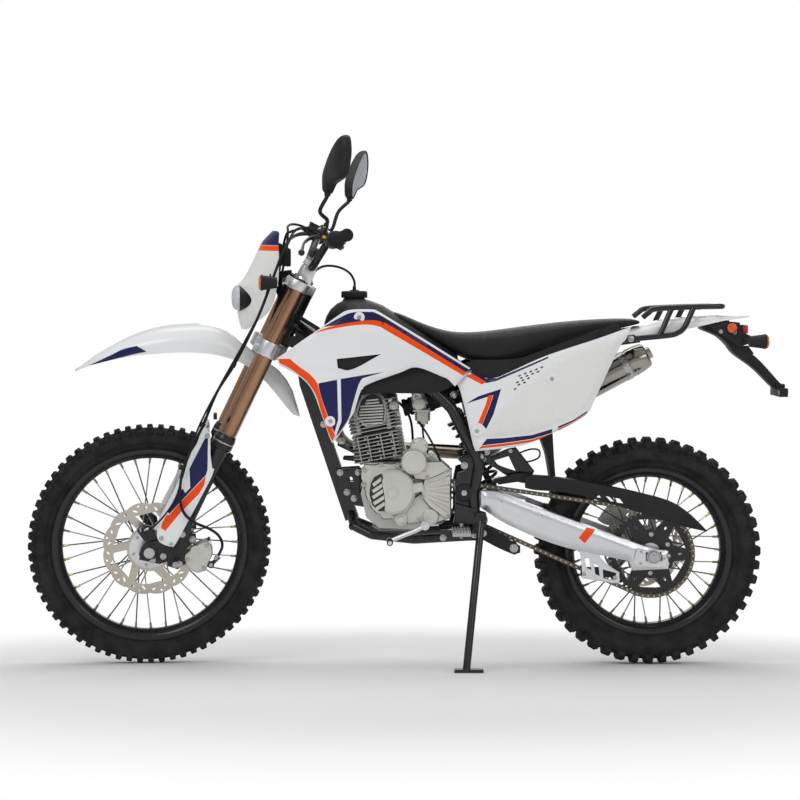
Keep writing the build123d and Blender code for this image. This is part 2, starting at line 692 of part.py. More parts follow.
def subframe():
    """Two upper rails from the frame to the tail, braced from below."""
    frame = both_sides(tube(SUBFRAME_TOP, SUBFRAME_R, [120, 120]))
    frame += both_sides(tube(SUBFRAME_LOW, 9, [60]))
    for x, z, half in ((1000, 820, 78), (1392, 936, 80), (1258, 904, 80)):
        frame += cross_rod(x, z, -half, half, 9)
    lug = rod((862, 74, 770), (892, 74, 796), 9)
    return (frame + both_sides(lug)) - main_frame_envelope()


def main_frame_envelope():
    """The rails a little oversize, for pieces that butt against them."""
    rails = both_sides(tube(RAIL_POINTS, RAIL_R + FIT, RAIL_BEND))
    return rails + cross_rod(866, 752, -97, 97, CRADLE_R + FIT)


AXLE_X, AXLE_Z = REAR_AXLE
SWINGARM_OUTLINE = [
    (952, 508), (1002, 500), (1115, 458), (AXLE_X - 36, AXLE_Z + 31.5), (AXLE_X + 43, AXLE_Z + 13.5),
    (AXLE_X + 43, AXLE_Z - 36.5), (AXLE_X - 57, AXLE_Z - 40.5), (AXLE_X - 67, AXLE_Z - 14.5), (1172, 355),
    (1030, 412), (952, 462),
]
ADJUSTER_SLOT = [
    (AXLE_X - 21, AXLE_Z - 11), (AXLE_X - 21, AXLE_Z + 11), (AXLE_X + 23, AXLE_Z + 11),
    (AXLE_X + 23, AXLE_Z - 11),
]


def arm_top(x):
    """The height of the arm's upper edge between its bend and the axle's block."""
    (x0, z0), (x1, z1) = SWINGARM_OUTLINE[2:4]
    return z0 + (x - x0) * (z1 - z0) / (x1 - x0)


def swingarm():
    """Two arms, the cross block ahead of the tyre and the pivot tube between the frame's plates."""
    arm = side_slab(SWINGARM_OUTLINE, ARM_INNER_Y, ARM_OUTER_Y)
    block = side_slab([
        (966, 482), (1084, 462), (1084, 402), (1030, 418), (966, 452),
    ], -ARM_INNER_Y - 1, ARM_INNER_Y + 1)
    yoke = side_slab([(890, 522), (975, 494), (975, 444), (888, 482)], -54, 54)
    yoke += cross_rod(*PIVOT, -54, 80, 24) + cross_rod(*PIVOT, -80, -54, 15)
    body = both_sides(arm) + block + yoke
    body -= cross_rod(*PIVOT, -140, 140, PIVOT_BOLT_R + FIT)
    return body - side_slab(ADJUSTER_SLOT, -150, 150)


def pivot_bolt():
    bolt = cross_rod(*PIVOT, -112, 112, PIVOT_BOLT_R)
    return bolt + both_sides(cross_rod(*PIVOT, 103 + FIT, 112, 11))


def rear_axle():
    """The axle with its spacers and the two adjuster blocks in the arms' slots."""
    x, z = REAR_AXLE
    axle = cross_rod(x, z, -140, 140, AXLE_R)
    for side in (-1, 1):
        inner, outer = side * (REAR_HUB_HALF + FIT), side * (ARM_INNER_Y - FIT)
        axle += cross_rod(x, z, min(inner, outer), max(inner, outer), AXLE_R + 6)
    nut = cross_rod(x, z, ARM_OUTER_Y + FIT, ARM_OUTER_Y + 12, 17)
    return axle + both_sides(nut)


def shock_absorber():
    """Spring and damper between the frame's cross tube and the swingarm."""
    top, foot = Vector(884, 0, 724), Vector(992, 0, 492)
    run = (foot - top).normalized()
    body = rod(top, foot, 9) + rod(top + run * 30, foot - run * 36, 35)
    body += rod(top + run * 18, top + run * 30, 40) + rod(foot - run * 36, foot - run * 24, 38)
    body += cross_rod(top.X, top.Z, -20, 20, 15)
    eye = cross_rod(foot.X, foot.Z, -18, 18, 14)
    body += eye
    body -= side_slab([(966, 482.3), (1084, 462.3), (1084, 402), (966, 402)], -60, 60)
    body -= cross_rod(866, 752, -97, 97, CRADLE_R + FIT)
    body -= side_slab([(880, 525), (975, 494.3), (975, 444), (888, 470)], -54, 54)
    return body


# ---- Engine ----
CASE_OUTLINE = [
    (622, 590), (770, 590), (812, 608), (870, 560), (868, 430), (840, 404), (760, 396), (660, 400),
    (622, 430), (606, 500),
]
MAGNETO = (704.0, 512.0)
CLUTCH = (745.0, 505.0)
STARTER = (755.0, 606.0)


SPROCKET_POCKET_Y = CHAIN_Y + CHAIN_WIDTH / 2 + RUN
SPROCKET_POCKET_X = FRONT_SPROCKET[0] - FRONT_SPROCKET_R - CHAIN_HALF_DEPTH - 8


def crankcase():
    """Both case halves, cut away on the left round the front sprocket."""
    pocket = cross_box(SPROCKET_POCKET_X, 1000, -CASE_HALF_WIDTH - 1, SPROCKET_POCKET_Y, 300, 700)
    return side_slab(CASE_OUTLINE, -CASE_HALF_WIDTH, CASE_HALF_WIDTH) - pocket


def front_sprocket():
    """The driving sprocket on the gearbox's shaft."""
    tip_r = FRONT_SPROCKET_R - CHAIN_HALF_DEPTH - 1.5
    shaft = cross_rod(*FRONT_SPROCKET, SPROCKET_Y - 8, SPROCKET_POCKET_Y - FIT, 11)
    return shaft + cross_rod(*FRONT_SPROCKET, SPROCKET_Y, SPROCKET_Y + 6, tip_r)


def engine_covers():
    """Left: magneto, sprocket and starter gear covers. Right: clutch and oil filter covers."""
    face = CASE_HALF_WIDTH + FIT
    left = cross_rod(*MAGNETO, -face - COVER_DEPTH, -face, 68)
    sprocket = side_slab([
        (762, 596), (838, 594), (862, 566), (862, 436), (850, 424), (792, 440), (760, 480),
    ], -face - 34, -face)
    left += sprocket + cross_rod(*STARTER, -face - 38, -face, 36)
    right = cross_rod(*CLUTCH, face, face + COVER_DEPTH, 78)
    right += cross_rod(652, 548, face, face + 26, 40)
    return left + right


def tilted(shape):
    """Leans a piece drawn straight up over the crankcase forward about the cylinder's foot."""
    return shape.rotate(Axis((670, 0, 590), (0, 1, 0)), -CYLINDER_TILT)


def cylinder():
    """The finned barrel."""
    barrel = cross_box(618, 722, -52, 52, 591, 676)
    for number in range(7):
        z = 600 + number * 11
        barrel += cross_box(592, 742, -84, 84, z, z + 4)
    return tilted(barrel) - crankcase()


def cylinder_head():
    """Finned head under a round cam cover."""
    head = cross_box(612, 728, -56, 56, 676.3, 770)
    for number in range(5):
        z = 680 + number * 12
        head += cross_box(594, 744, -80, 80, z, z + 4)
    head += side_slab([(618, 740), (624, 776), (650, 796), (690, 796), (718, 776), (724, 740)], -78, 60)
    return tilted(head)


def carburettor():
    """Intake stub, carburettor body and float bowl, with the hose to the airbox."""
    body = cross_rod(775, 742, -34, 34, 30) + rod((775, 0, 742), (772, 0, 688), 25)
    body += rod((728, 0, 735), (800, 0, 752), 19) + rod((795, 0, 750), (903, 0, 792), 28)
    body -= rod((884, 0, 724), (992, 0, 492), 45)
    body -= tilted(cross_box(560, 744.3, -90, 90, 600, 900))
    return body - cross_rod(866, 752, -97, 97, CRADLE_R + FIT)


def airbox():
    box = side_slab([
        (904, 806), (1000, 832), (1150, 866), (1128, 720), (1040, 640), (990, 640), (955, 740),
    ], -48, 48)
    return box - shock_clearance() - cross_rod(1000, 820, -97, 97, 9 + FIT)


def shock_clearance():
    return rod((884, 0, 724), (992, 0, 492), 46)


MUD_FLAP = [
    (1128, 716), (1130, 730), (1152, 730), (1158, 600), (1165, 530), (1151, 530), (1140, 600),
    (1120, 660),
]


def airbox_and_flap():
    """The airbox, and below it the curved guard that keeps the rear tyre's dirt off the damper."""
    return airbox() + side_slab(MUD_FLAP, -52, 52)


SILENCER_Y = 118.0
SILENCER_R = 43.0
HEADER_R = 17.0
SILENCER_START = Vector(1112, SILENCER_Y, 706)
SILENCER_END = Vector(1450, SILENCER_Y, 888)
SILENCER_RUN = (SILENCER_END - SILENCER_START).normalized()
HEADER_POINTS = [
    (598, 24, 752), (552, 40, 742), (536, 84, 660), (590, 134, 608), (700, 160, 606), (860, 156, 592),
    (984, 140, 596), tuple(SILENCER_START - SILENCER_RUN * 60), tuple(SILENCER_START - SILENCER_RUN * FIT),
]


def exhaust_header():
    pipe = tube(HEADER_POINTS, HEADER_R, bend_radii(HEADER_POINTS))
    return pipe - tilted(cross_box(594, 760, -90, 90, 600, 900))


def silencer():
    """A cone, an oval can and a cut-back end cap."""
    start, end, run = SILENCER_START, SILENCER_END, SILENCER_RUN
    cone = Plane(origin=start, z_dir=run) * Cone(20, SILENCER_R, 60, align=UPWARD)
    can = rod(start + run * 60, end, SILENCER_R)
    outlet = rod(end - run * 10, end + run * 14, 18)
    hanger = cross_box(1228, 1252, 72, 84, 800, 890)
    body = cone + can + outlet - rod(end + run * 2, end + run * 30, 13)
    return body + (hanger - subframe())


# ---- Tank, seat and panels ----
TANK_TOP = 1046.0
TANK_OUTLINE = [
    (504, 998), (528, 1026), (553, TANK_TOP), (640, TANK_TOP), (690, 1018), (800, 950), (880, 905),
    (884, 868),
    (850, 812), (770, 852), (700, 826), (620, 806), (600, 880), (540, 930), (505, 960),
]
TANK_PLAN = [(502, 56), (540, 112), (600, 150), (720, 146), (840, 120), (900, 92)]


def fuel_tank():
    """A saddle over the frame's rails."""
    tank = side_slab(TANK_OUTLINE, -160, 160) & plan_slab(widths_outline(TANK_PLAN), 780, 1100)
    tunnel = side_slab(
        [(440, 1000), (500, 962), (575, 918), (800, 850), (900, 790), (900, 700), (440, 700)], -116, 116
    )
    return tank - tunnel


CAP_X = 588.0
CAP_HEIGHT = 33.0


def fuel_cap():
    """A neck, the ribbed cap and its breather nipple."""
    cap = Cylinder(30, 9, align=UPWARD) + Pos(0, 0, 8) * Cylinder(38, 17, align=UPWARD)
    cap += Pos(0, 0, 25) * Cylinder(6, CAP_HEIGHT - 25, align=UPWARD)
    return Pos(CAP_X, 0, TANK_TOP + FIT) * cap


SEAT_TOP = [
    (694, 1021), (735, 1003), (792, 977), (850, 960), (894, 956), (1009, 965), (1183, 988), (1298, 997),
    (1410, 999),
]
SEAT_BASE = [
    (1410, 975), (1284, 948), (1172, 912), (1045, 858), (974, 840), (930, 852), (886, 872), (886, 908),
    (804, 953), (704, 1013),
]
SEAT_PLAN = [(690, 62), (800, 78), (930, 112), (1100, 128), (1300, 112), (1412, 84)]


def seat():
    pad = side_slab(SEAT_TOP + SEAT_BASE, -140, 140) & plan_slab(widths_outline(SEAT_PLAN), 800, 1100)
    hollow = side_slab([
        (886, 840), (886, 885), (974, 872), (1045, 884), (1172, 934), (1284, 966), (1330, 940),
        (1172, 840),
    ], -100, 100)
    return pad - hollow


def side_wall(line, sign, inner, outer):
    """A tall wall that follows an (x, half width) line, between two offsets from it."""
    near = [(x, sign * (y + inner)) for x, y in line]
    far = [(x, sign * (y + outer)) for x, y in reversed(line)]
    return plan_slab(near + far, 500, 1200)


def wall_y(line, x):
    """The half width of a line at x."""
    for (x0, y0), (x1, y1) in zip(line, line[1:]):
        if x0 <= x <= x1:
            return y0 + (y1 - y0) * (x - x0) / (x1 - x0)
    return line[-1][1]


def boss(line, sign, x, z, start, radius):
    """A round boss from a wall inwards to the half width start."""
    ends = sorted((sign * start, sign * (wall_y(line, x) + PANEL / 2)))
    return cross_rod(x, z, ends[0], ends[1], radius)


SHROUD_OUTLINE = [
    (377, 901), (535, 1012), (568, 1023), (643, 1020), (706, 989), (912, 864), (900, 812), (853, 804),
    (823, 840),
    (767, 859), (720, 832), (623, 812), (604, 784), (568, 687), (532, 640), (504, 729), (487, 793),
    (457, 832), (402, 876),
]
SHROUD_LINE = [(370, 165), (480, 196), (590, 200), (700, 184), (800, 160), (920, 147)]


def shroud(sign):
    """One side's tank panel: the side outline cut out of a wall that follows the tank's width."""
    panel = side_slab(SHROUD_OUTLINE, -230, 230) & side_wall(SHROUD_LINE, sign, 0, PANEL)
    bosses = boss(SHROUD_LINE, sign, 594, 985, 140, 9) + boss(SHROUD_LINE, sign, 850, 870, 100, 8)
    return panel + (bosses - fuel_tank())


SIDE_OUTLINE = [
    (916, 858), (972, 840), (1045, 858), (1131, 892), (1279, 934), (1366, 962), (1335, 922),
    (1243, 740), (1142, 686),
    (1098, 658), (933, 630), (904, 720), (880, 800),
]
SIDE_LINE = [(870, 132), (960, 138), (1100, 168), (1250, 172), (1380, 150)]


def side_panel(sign):
    panel = side_slab(SIDE_OUTLINE, -200, 200) & side_wall(SIDE_LINE, sign, 0, PANEL)
    return panel + (boss(SIDE_LINE, sign, 1100, 854, 80, 8) - subframe())


TAIL_TOP = [(1150, 900), (1290, 950), (1410, 974), (1470, 992), (1560, 1002), (1640, 1006), (1726, 1006)]
TAIL_PLAN = [(1145, 84), (1290, 108), (1400, 88), (1520, 74), (1640, 66), (1700, 50), (1728, 24)]


def rear_fender():
    """The tail moulding: a thin crown that runs back from under the seat, with short skirts."""
    skirt = [(1700, 1000), (1640, 990), (1540, 968), (1420, 944), (1290, 922), (1150, 872)]
    body = side_slab(TAIL_TOP + skirt, -130, 130) & plan_slab(widths_outline(TAIL_PLAN), 800, 1100)
    crown = [(x, z - PANEL) for x, z in TAIL_TOP[:-1]]
    hollow = side_slab(crown + [(1690, 850), (1150, 800)], -130, 130)
    inside = [(1140, 80), (1290, 104), (1400, 84), (1520, 70), (1640, 62), (1700, 40)]
    body -= hollow & plan_slab(widths_outline(inside), 700, 1100)
    return body - seat() - subframe_clearance()


def subframe_clearance():
    rails = both_sides(tube(SUBFRAME_TOP, SUBFRAME_R + FIT, [120, 120]))
    return rails + cross_rod(1392, 936, -80, 80, 9 + FIT)


def rear_rack():
    """A tubular rack: a flat loop over the tail, and a side frame under it on each side."""
    loop = both_sides(tube([
        (1408, 96, 999), (1446, 88, 1024), (1636, 78, 1030), (1640, 0, 1030),
    ], RACK_R, [20, 30]))
    for x in (1500, 1570):
        loop += cross_rod(x, 1026, -84, 84, 6)
    side = tube([(1352, 98, 936), (1480, 98, 948), (1524, 96, 962), (1552, 86, 1024)], RACK_R, [60, 22])
    side += rod((1452, 98, 945), (1490, 86, 1024), RACK_R)
    side += rod((1352, 98, 936), (1352, 74, 936), 7)
    return (loop + both_sides(side)) - rear_fender_envelope() - subframe() - seat_clearance()


def seat_clearance():
    return side_slab(SEAT_TOP + SEAT_BASE, -140, 140) & plan_slab(widths_outline(SEAT_PLAN), 800, 1100)


def rear_fender_envelope():
    top = side_slab(TAIL_TOP + [
        (1700, 1000), (1640, 990), (1540, 968), (1420, 944), (1290, 922), (1150, 872),
    ], -130, 130)
    return top & plan_slab(widths_outline(TAIL_PLAN), 800, 1100)


PLATE_ARM = [
    (1590, 986), (1664, 992), (1690, 930), (1812, 812), (1826, 796), (1812, 784), (1740, 850),
    (1668, 900), (1630, 948), (1584, 966),
]


PLATE_BOLT_Y = 50.0
PLATE_BOLT_R = 3.2


def plate_holder():
    """The arm under the tail with its lamp bracket and the plate's bottom carrier."""
    arm = side_slab(PLATE_ARM, -34, 34) - rear_fender_envelope()
    foot = cross_box(1803, 1828, -62, 62, 770, 796)
    foot -= both_sides(rod((1790, PLATE_BOLT_Y, 783), (1840, PLATE_BOLT_Y, 783), PLATE_BOLT_R))
    flange = side_slab([(1648, 985), (1690, 984), (1690, 936), (1660, 930)], -60, 60)
    return arm + foot + (flange - rear_fender_envelope())


def tail_lamps():
    """Tail lamp, the two indicators on their stalks and the side reflectors."""
    lamp = cross_box(1690.3, 1716, -52, 52, 950, 978)
    stalk = cross_rod(1704, 932, 34, 150, 7)
    body = Pos(1722, 158, 932) * Rot(0, 90, 0) * Cone(15, 21, 56, align=CENTRED)
    hanger = cross_box(1698, 1710, -40, 40, 926, 950)
    reflector = cross_rod(1672, 962, 60.3, 66, 15)
    return lamp + hanger + both_sides(stalk + body + reflector)


# ---- Chain and rear brake ----
def tangent_loop(inset):
    """The (x, z) outline of a belt round both sprockets, inset from the chain's pitch line."""
    small, large = FRONT_SPROCKET_R - inset, REAR_SPROCKET_R - inset
    dx, dz = REAR_AXLE[0] - FRONT_SPROCKET[0], REAR_AXLE[1] - FRONT_SPROCKET[1]
    slope = degrees(atan2(dz, dx))
    flare = degrees(asin((large - small) / hypot(dx, dz)))
    upper, lower = slope + 90 + flare, slope - 90 - flare
    a, b = around(FRONT_SPROCKET, small, upper), around(REAR_AXLE, large, upper)
    c, d = around(REAR_AXLE, large, lower), around(FRONT_SPROCKET, small, lower)
    far, near = around(REAR_AXLE, large, slope), around(FRONT_SPROCKET, small, slope + 180)
    return [Line(a, b), ThreePointArc(b, far, c), Line(c, d), ThreePointArc(d, near, a)]


def belt(inset, width):
    face = make_face([Plane.XZ.offset(width / 2 - CHAIN_Y) * edge for edge in tangent_loop(inset)])
    return extrude(face, amount=width, dir=(0, 1, 0))


def chain():
    return belt(-CHAIN_HALF_DEPTH, CHAIN_WIDTH) - belt(CHAIN_HALF_DEPTH, CHAIN_WIDTH + 2)


def chain_guard():
    """The long black guard over the chain's upper run."""
    outline = [
        (1070, 548), (1180, 548), (1320, 520), (1440, 490), (1560, 424), (1592, 392), (1520, 404),
        (1420, 456), (1300, 480), (1170, 508), (1070, 512),
    ]
    guard = side_slab(outline, -100, -58 - RUN)
    guard -= both_sides(side_slab([(x, z) for x, z in SWINGARM_OUTLINE], ARM_INNER_Y - FIT, ARM_OUTER_Y + 20))
    guard -= belt(-CHAIN_HALF_DEPTH - 3, CHAIN_WIDTH + 6)
    lug = side_slab([(1085, 515), (1085, 460), (1110, 450), (1110, 515)], -100, -90)
    return guard + (lug - side_slab([(x, z + FIT) for x, z in SWINGARM_OUTLINE], -ARM_OUTER_Y, -ARM_INNER_Y))


# Off the rear axle: x, z
GUIDE_OUTLINE = [
    (-211, 19.5), (-133, -4.5), (-121, -42.5), (-67, -58.5), (-67, -88.5), (-177, -76.5), (-201, -26.5),
]
# Off the rear axle: middle x and z, width, height
GUIDE_WINDOWS = [(-179, -34.5, 14, 34), (-149, -50.5, 14, 30), (-103, -68.5, 34, 16)]


def chain_guide():
    """The pressed guide under the arm with its three windows."""
    guide = side_slab([(AXLE_X + x, AXLE_Z + z) for x, z in GUIDE_OUTLINE], -94, -86)
    for x, z, width, height in GUIDE_WINDOWS:
        left, low = AXLE_X + x - width / 2, AXLE_Z + z - height / 2
        guide -= cross_box(left, left + width, -100, -80, low, low + height)
    return guide - side_slab([(x, z - FIT) for x, z in SWINGARM_OUTLINE], -ARM_OUTER_Y, -ARM_INNER_Y)


ROLLER_X = 1042.0
ROLLER_R = 14.0
ROLLER_RUN = 0.9  # below the chain


def roller_centre():
    """Under the chain's lower run."""
    run = tangent_loop(-CHAIN_HALF_DEPTH)[2]
    start, end = run @ 0, run @ 1
    slope = (end.Y - start.Y) / (end.X - start.X)
    drop = (ROLLER_R + ROLLER_RUN) / cos(atan2(slope, 1))
    return ROLLER_X, start.Y + slope * (ROLLER_X - start.X) - drop


def chain_roller():
    """The roller under the chain on an arm from the frame."""
    x, z = roller_centre()
    outline = [
        (946 + FIT, 400), (975, 402), (x + 18, z + 4), (x + 8, z - 16), (x - 42, z), (946 + FIT, 374),
    ]
    arm = side_slab(outline, -103, -91)
    return arm + cross_rod(x, z, -91, -52, ROLLER_R) + cross_rod(x, z, -107, -103, 11)


def rear_caliper():
    """The caliper and its bracket inside the right arm."""
    x, z = REAR_AXLE[0] - 92, REAR_AXLE[1] + 78
    low, high = REAR_DISC_Y - RUN, REAR_DISC_Y + DISC_THICKNESS + RUN
    body = side_slab([
        (x - 42, z - 6), (x - 10, z + 44), (x + 44, z + 30), (x + 16, arm_top(x + 16) - 1.7),
    ], low - 4, high + 14)
    body -= ring(*REAR_AXLE, low, high, REAR_DISC_R + RUN, 1)
    return body - side_slab([(p, q + FIT) for p, q in SWINGARM_OUTLINE], ARM_INNER_Y - FIT, ARM_OUTER_Y)


# ---- Foot controls and side stand ----
def footpegs():
    """A hinge block on the pivot plate and a serrated peg on each side."""
    block = cross_box(876, 910, 103 + FIT, 132, 380, 412)
    peg = cross_box(864, 916, 132, 214, 394, 412) - cross_box(874, 906, 142, 204, 390, 420)
    return both_sides(block + peg)


SHIFT_SHAFT = (790.0, 418.0)


def foot_controls():
    """Gear lever on the left, brake pedal on the right."""
    x, z = SHIFT_SHAFT
    lever = cross_rod(x, z, -150, -CASE_HALF_WIDTH - FIT, 9)
    lever += rod((x, -156, z), (x - 96, -160, z - 42), 8) + cross_rod(x, z, -164, -146, 13)
    lever += cross_rod(x - 98, z - 43, -196, -152, 9)
    pedal = cross_rod(845, 384, 103 + FIT, 150, 12) + rod((845, 142, 384), (740, 168, 388), 8)
    pedal += cross_box(706, 748, 158, 196, 384, 396)
    return lever + pedal


# ---- Parking the machine ----
def steer(shape):
    return shape.rotate(STEERING_AXIS, STEER_REST)


def parked_on(front_tyre, rear_tyre):
    """The lean, the slight pitch and the lift that put both tyres on the floor."""
    pitch, lift = 0.0, 0.0
    for _ in range(3):
        place = Pos(0, 0, lift) * Rot(LEAN, 0, 0) * Rot(0, pitch, 0)
        front = (place * steer(front_tyre)).bounding_box().min.Z
        rear = (place * rear_tyre).bounding_box().min.Z
        pitch += degrees(atan2(rear - front, WHEELBASE))
        lift -= (front + rear) / 2
    return Pos(0, 0, lift) * Rot(LEAN, 0, 0) * Rot(0, pitch, 0)


# ---- Side stand, drawn on the parked machine ----
def moved(place, point):
    return (place * Pos(*point)).position


def stand_geometry(place):
    """The pivot, the foot on the floor and the bolt's direction, square to the leg down and folded."""
    pivot = moved(place, STAND_PIVOT)
    foot = Vector(pivot.X - STAND_FORWARD, pivot.Y - STAND_SPLAY, 0)
    stowed = moved(place, STAND_STOWED) - moved(place, (0, 0, 0))
    bolt = (foot - pivot).cross(stowed).normalized()
    return pivot, foot, bolt


def stand_bracket(place):
    """A plate on the frame's left pivot plate with the bolt the leg turns on."""
    pivot, _, bolt = stand_geometry(place)
    radius, width = STAND_KNUCKLE
    plate = side_slab([(878, 474), (962, 450), (962, 418), (878, 418)], -121, -113 - FIT)
    spacer = cross_box(878, 908, -114, -103 - FIT, 420, 462)
    bracket = place * (plate + spacer + cross_box(934, 962, -136, -120, 420, 449))
    bracket -= Plane(origin=pivot - bolt * (width / 2 + FIT), z_dir=bolt) * Cylinder(
        radius + 12, width + 2 * FIT + 40, align=UPWARD
    )
    return bracket + rod(pivot - bolt * 28, pivot + bolt * (width / 2 + 3), STAND_PIN_R)


def side_stand(place):
    """The leg with its knuckle round the bolt and the foot flat on the floor."""
    pivot, foot, bolt = stand_geometry(place)
    length, width, thick = FOOT_SIZE
    radius, depth = STAND_KNUCKLE
    leg = rod(pivot, (foot.X, foot.Y, thick / 2), STAND_LEG_R)
    leg += rod(pivot - bolt * depth / 2, pivot + bolt * depth / 2, radius)
    leg -= rod(pivot - bolt * depth, pivot + bolt * depth, STAND_PIN_R + FIT)
    leg -= Pos(foot.X, foot.Y, -50) * Box(400, 400, 100)
    return leg + Pos(foot.X + 6, foot.Y, 0) * Box(length, width, thick, align=UPWARD)


# ---- Nodes by body ----
CHASSIS = {
    "main_frame": main_frame, "subframe": subframe, "swingarm": swingarm,
    "front_sprocket": front_sprocket, "pivot_bolt": pivot_bolt,
    "rear_axle": rear_axle, "shock_absorber": shock_absorber, "crankcase": crankcase,
    "engine_covers": engine_covers, "cylinder": cylinder, "cylinder_head": cylinder_head,
    "carburettor": carburettor, "airbox": airbox_and_flap,
    "exhaust_header": exhaust_header, "silencer": silencer, "fuel_tank": fuel_tank, "fuel_cap": fuel_cap,
    "seat": seat, "shrouds": lambda: shroud(-1) + shroud(1),
    "side_panels": lambda: side_panel(-1) + side_panel(1),
    "rear_fender": rear_fender, "rear_rack": rear_rack, "plate_holder": plate_holder,
    "tail_lamps": tail_lamps, "chain": chain, "chain_guard": chain_guard,
    "chain_guides": lambda: chain_guide() + chain_roller(), "rear_caliper": rear_caliper,
    "footpegs": footpegs,
    "foot_controls": foot_controls, "control_cables": control_cables, "vent_hose": vent_hose,
}
STEERING = {
    "fork_tubes": fork_tubes, "fork_sliders": fork_sliders, "front_axle": front_axle,
    "triple_clamps": lambda: lower_clamp() + top_clamp(), "handlebar": handlebar,
    "left_grip": lambda: grip(-1), "right_grip": lambda: grip(1), "hand_controls": hand_controls,
    "mirrors": mirrors, "front_fender": front_fender,
    "headlight_mask": headlight_mask, "headlight": headlight, "instrument": instrument,
    "front_indicators": front_indicators, "fork_guards": fork_guards, "front_caliper": front_caliper,
    "brake_hose": brake_hose,
}
FRONT_WHEEL = {
    "front_tyre": lambda: tyre(FRONT_AXLE, FRONT_TYRE_R, FRONT_TYRE_WIDTH, FRONT_BEAD_R, FRONT_RIM_WIDTH),
    "front_rim": lambda: rim(FRONT_AXLE, FRONT_BEAD_R, FRONT_RIM_WIDTH),
    "front_hub": front_hub,
    "front_disc": lambda: brake_disc(FRONT_AXLE, FRONT_DISC_R, FRONT_DISC_Y, 23, 34),
}
REAR_WHEEL = {
    "rear_tyre": lambda: tyre(REAR_AXLE, REAR_TYRE_R, REAR_TYRE_WIDTH, REAR_BEAD_R, REAR_RIM_WIDTH),
    "rear_rim": lambda: rim(REAR_AXLE, REAR_BEAD_R, REAR_RIM_WIDTH),
    "rear_hub": rear_hub,
    "rear_disc": lambda: brake_disc(REAR_AXLE, REAR_DISC_R, REAR_DISC_Y, 25, 42),
    "rear_sprocket": rear_sprocket,
}


def parked_machine():
    """Every node as parked and centred, with the place that carries upright points there."""
    fixed = {name: make() for name, make in {**CHASSIS, **REAR_WHEEL}.items()}
    steered = {name: make() for name, make in {**STEERING, **FRONT_WHEEL}.items()}
    place = parked_on(steered["front_tyre"], fixed["rear_tyre"])
    nodes = {name: place * shape for name, shape in fixed.items()}
    nodes |= {name: place * steer(shape) for name, shape in steered.items()}
    nodes["stand_bracket"] = stand_bracket(place)
    nodes["side_stand"] = side_stand(place)
    limits = [shape.bounding_box() for shape in nodes.values()]
    middle_x = (min(box.min.X for box in limits) + max(box.max.X for box in limits)) / 2
    middle_y = (min(box.min.Y for box in limits) + max(box.max.Y for box in limits)) / 2
    centre = Pos(-middle_x, -middle_y, 0)
    return {name: centre * shape for name, shape in nodes.items()}, centre * place


def write_parts():
    os.makedirs("parts", exist_ok=True)
    nodes, _ = parked_machine()
    for name, shape in nodes.items():
        export_step(shape, f"parts/{name}.step")


if __name__ == "__main__":
    write_parts()
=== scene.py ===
"""Dual sport motorcycle on its side stand: the looks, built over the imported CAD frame."""

import bmesh
import bpy
import json
from math import asin, atan2, cos, hypot, pi, radians, sin
from mathutils import Matrix, Vector, geometry


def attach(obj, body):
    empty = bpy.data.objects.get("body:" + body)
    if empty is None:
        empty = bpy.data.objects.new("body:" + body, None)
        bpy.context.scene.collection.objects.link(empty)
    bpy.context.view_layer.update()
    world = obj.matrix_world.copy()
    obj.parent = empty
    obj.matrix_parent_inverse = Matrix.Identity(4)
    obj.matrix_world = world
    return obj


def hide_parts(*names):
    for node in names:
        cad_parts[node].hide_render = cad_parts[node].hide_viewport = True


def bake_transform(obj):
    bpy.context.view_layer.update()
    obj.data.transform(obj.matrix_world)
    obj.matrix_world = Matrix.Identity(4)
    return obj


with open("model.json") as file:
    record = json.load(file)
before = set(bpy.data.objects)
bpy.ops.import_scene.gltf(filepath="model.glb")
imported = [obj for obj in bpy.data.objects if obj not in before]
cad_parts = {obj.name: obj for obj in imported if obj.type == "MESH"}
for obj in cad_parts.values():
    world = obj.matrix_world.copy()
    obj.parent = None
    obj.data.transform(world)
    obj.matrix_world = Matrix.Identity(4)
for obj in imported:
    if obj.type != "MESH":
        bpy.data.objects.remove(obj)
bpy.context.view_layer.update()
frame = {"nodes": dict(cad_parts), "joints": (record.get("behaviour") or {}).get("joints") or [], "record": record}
nodes = frame["nodes"]

# ---- The upright machine's frame, in mm, and where each body is parked ----
# +X runs rearwards from the front axle, +Y to the machine's right, +Z up.
METRES = 0.001
RAKE = radians(25.5)
STEER_REST = radians(8)
LEAN, PITCH = radians(8), radians(-0.0472)
STEM_V = 86  # the steering stem, behind the front axle in the fork's frame
FRONT_AXLE = Vector((0, 0, 346.5))
REAR_AXLE = Vector((1433, 0, 326.5))
FORK = Matrix.Translation(FRONT_AXLE) @ Matrix.Rotation(RAKE, 4, "Y")
LEANED = Matrix.Rotation(LEAN, 4, "X") @ Matrix.Rotation(PITCH, 4, "Y")
SPIN = next(joint for joint in frame["joints"] if joint["name"] == "rear_wheel_spin")
PLACE = Matrix.Translation(Vector(SPIN["pos_m"]) * 1000 - LEANED @ REAR_AXLE) @ LEANED
STEER_AXIS = (FORK.to_3x3() @ Vector((0, 0, 1))).normalized()
STEER_POINT = FORK @ Vector((STEM_V, 0, 0))
STEER = (
    Matrix.Translation(STEER_POINT)
    @ Matrix.Rotation(STEER_REST, 4, STEER_AXIS)
    @ Matrix.Translation(-STEER_POINT)
)
AT = {
    "chassis": PLACE,
    "rear_wheel": PLACE,
    "side_stand_leg": PLACE,
    "steering": PLACE @ STEER,
    "front_wheel": PLACE @ STEER,
}


def up_fork(v, y, u):
    """A point from its fork coordinates: rearwards, right, up the fork from the axle."""
    return FORK @ Vector((v, y, u))


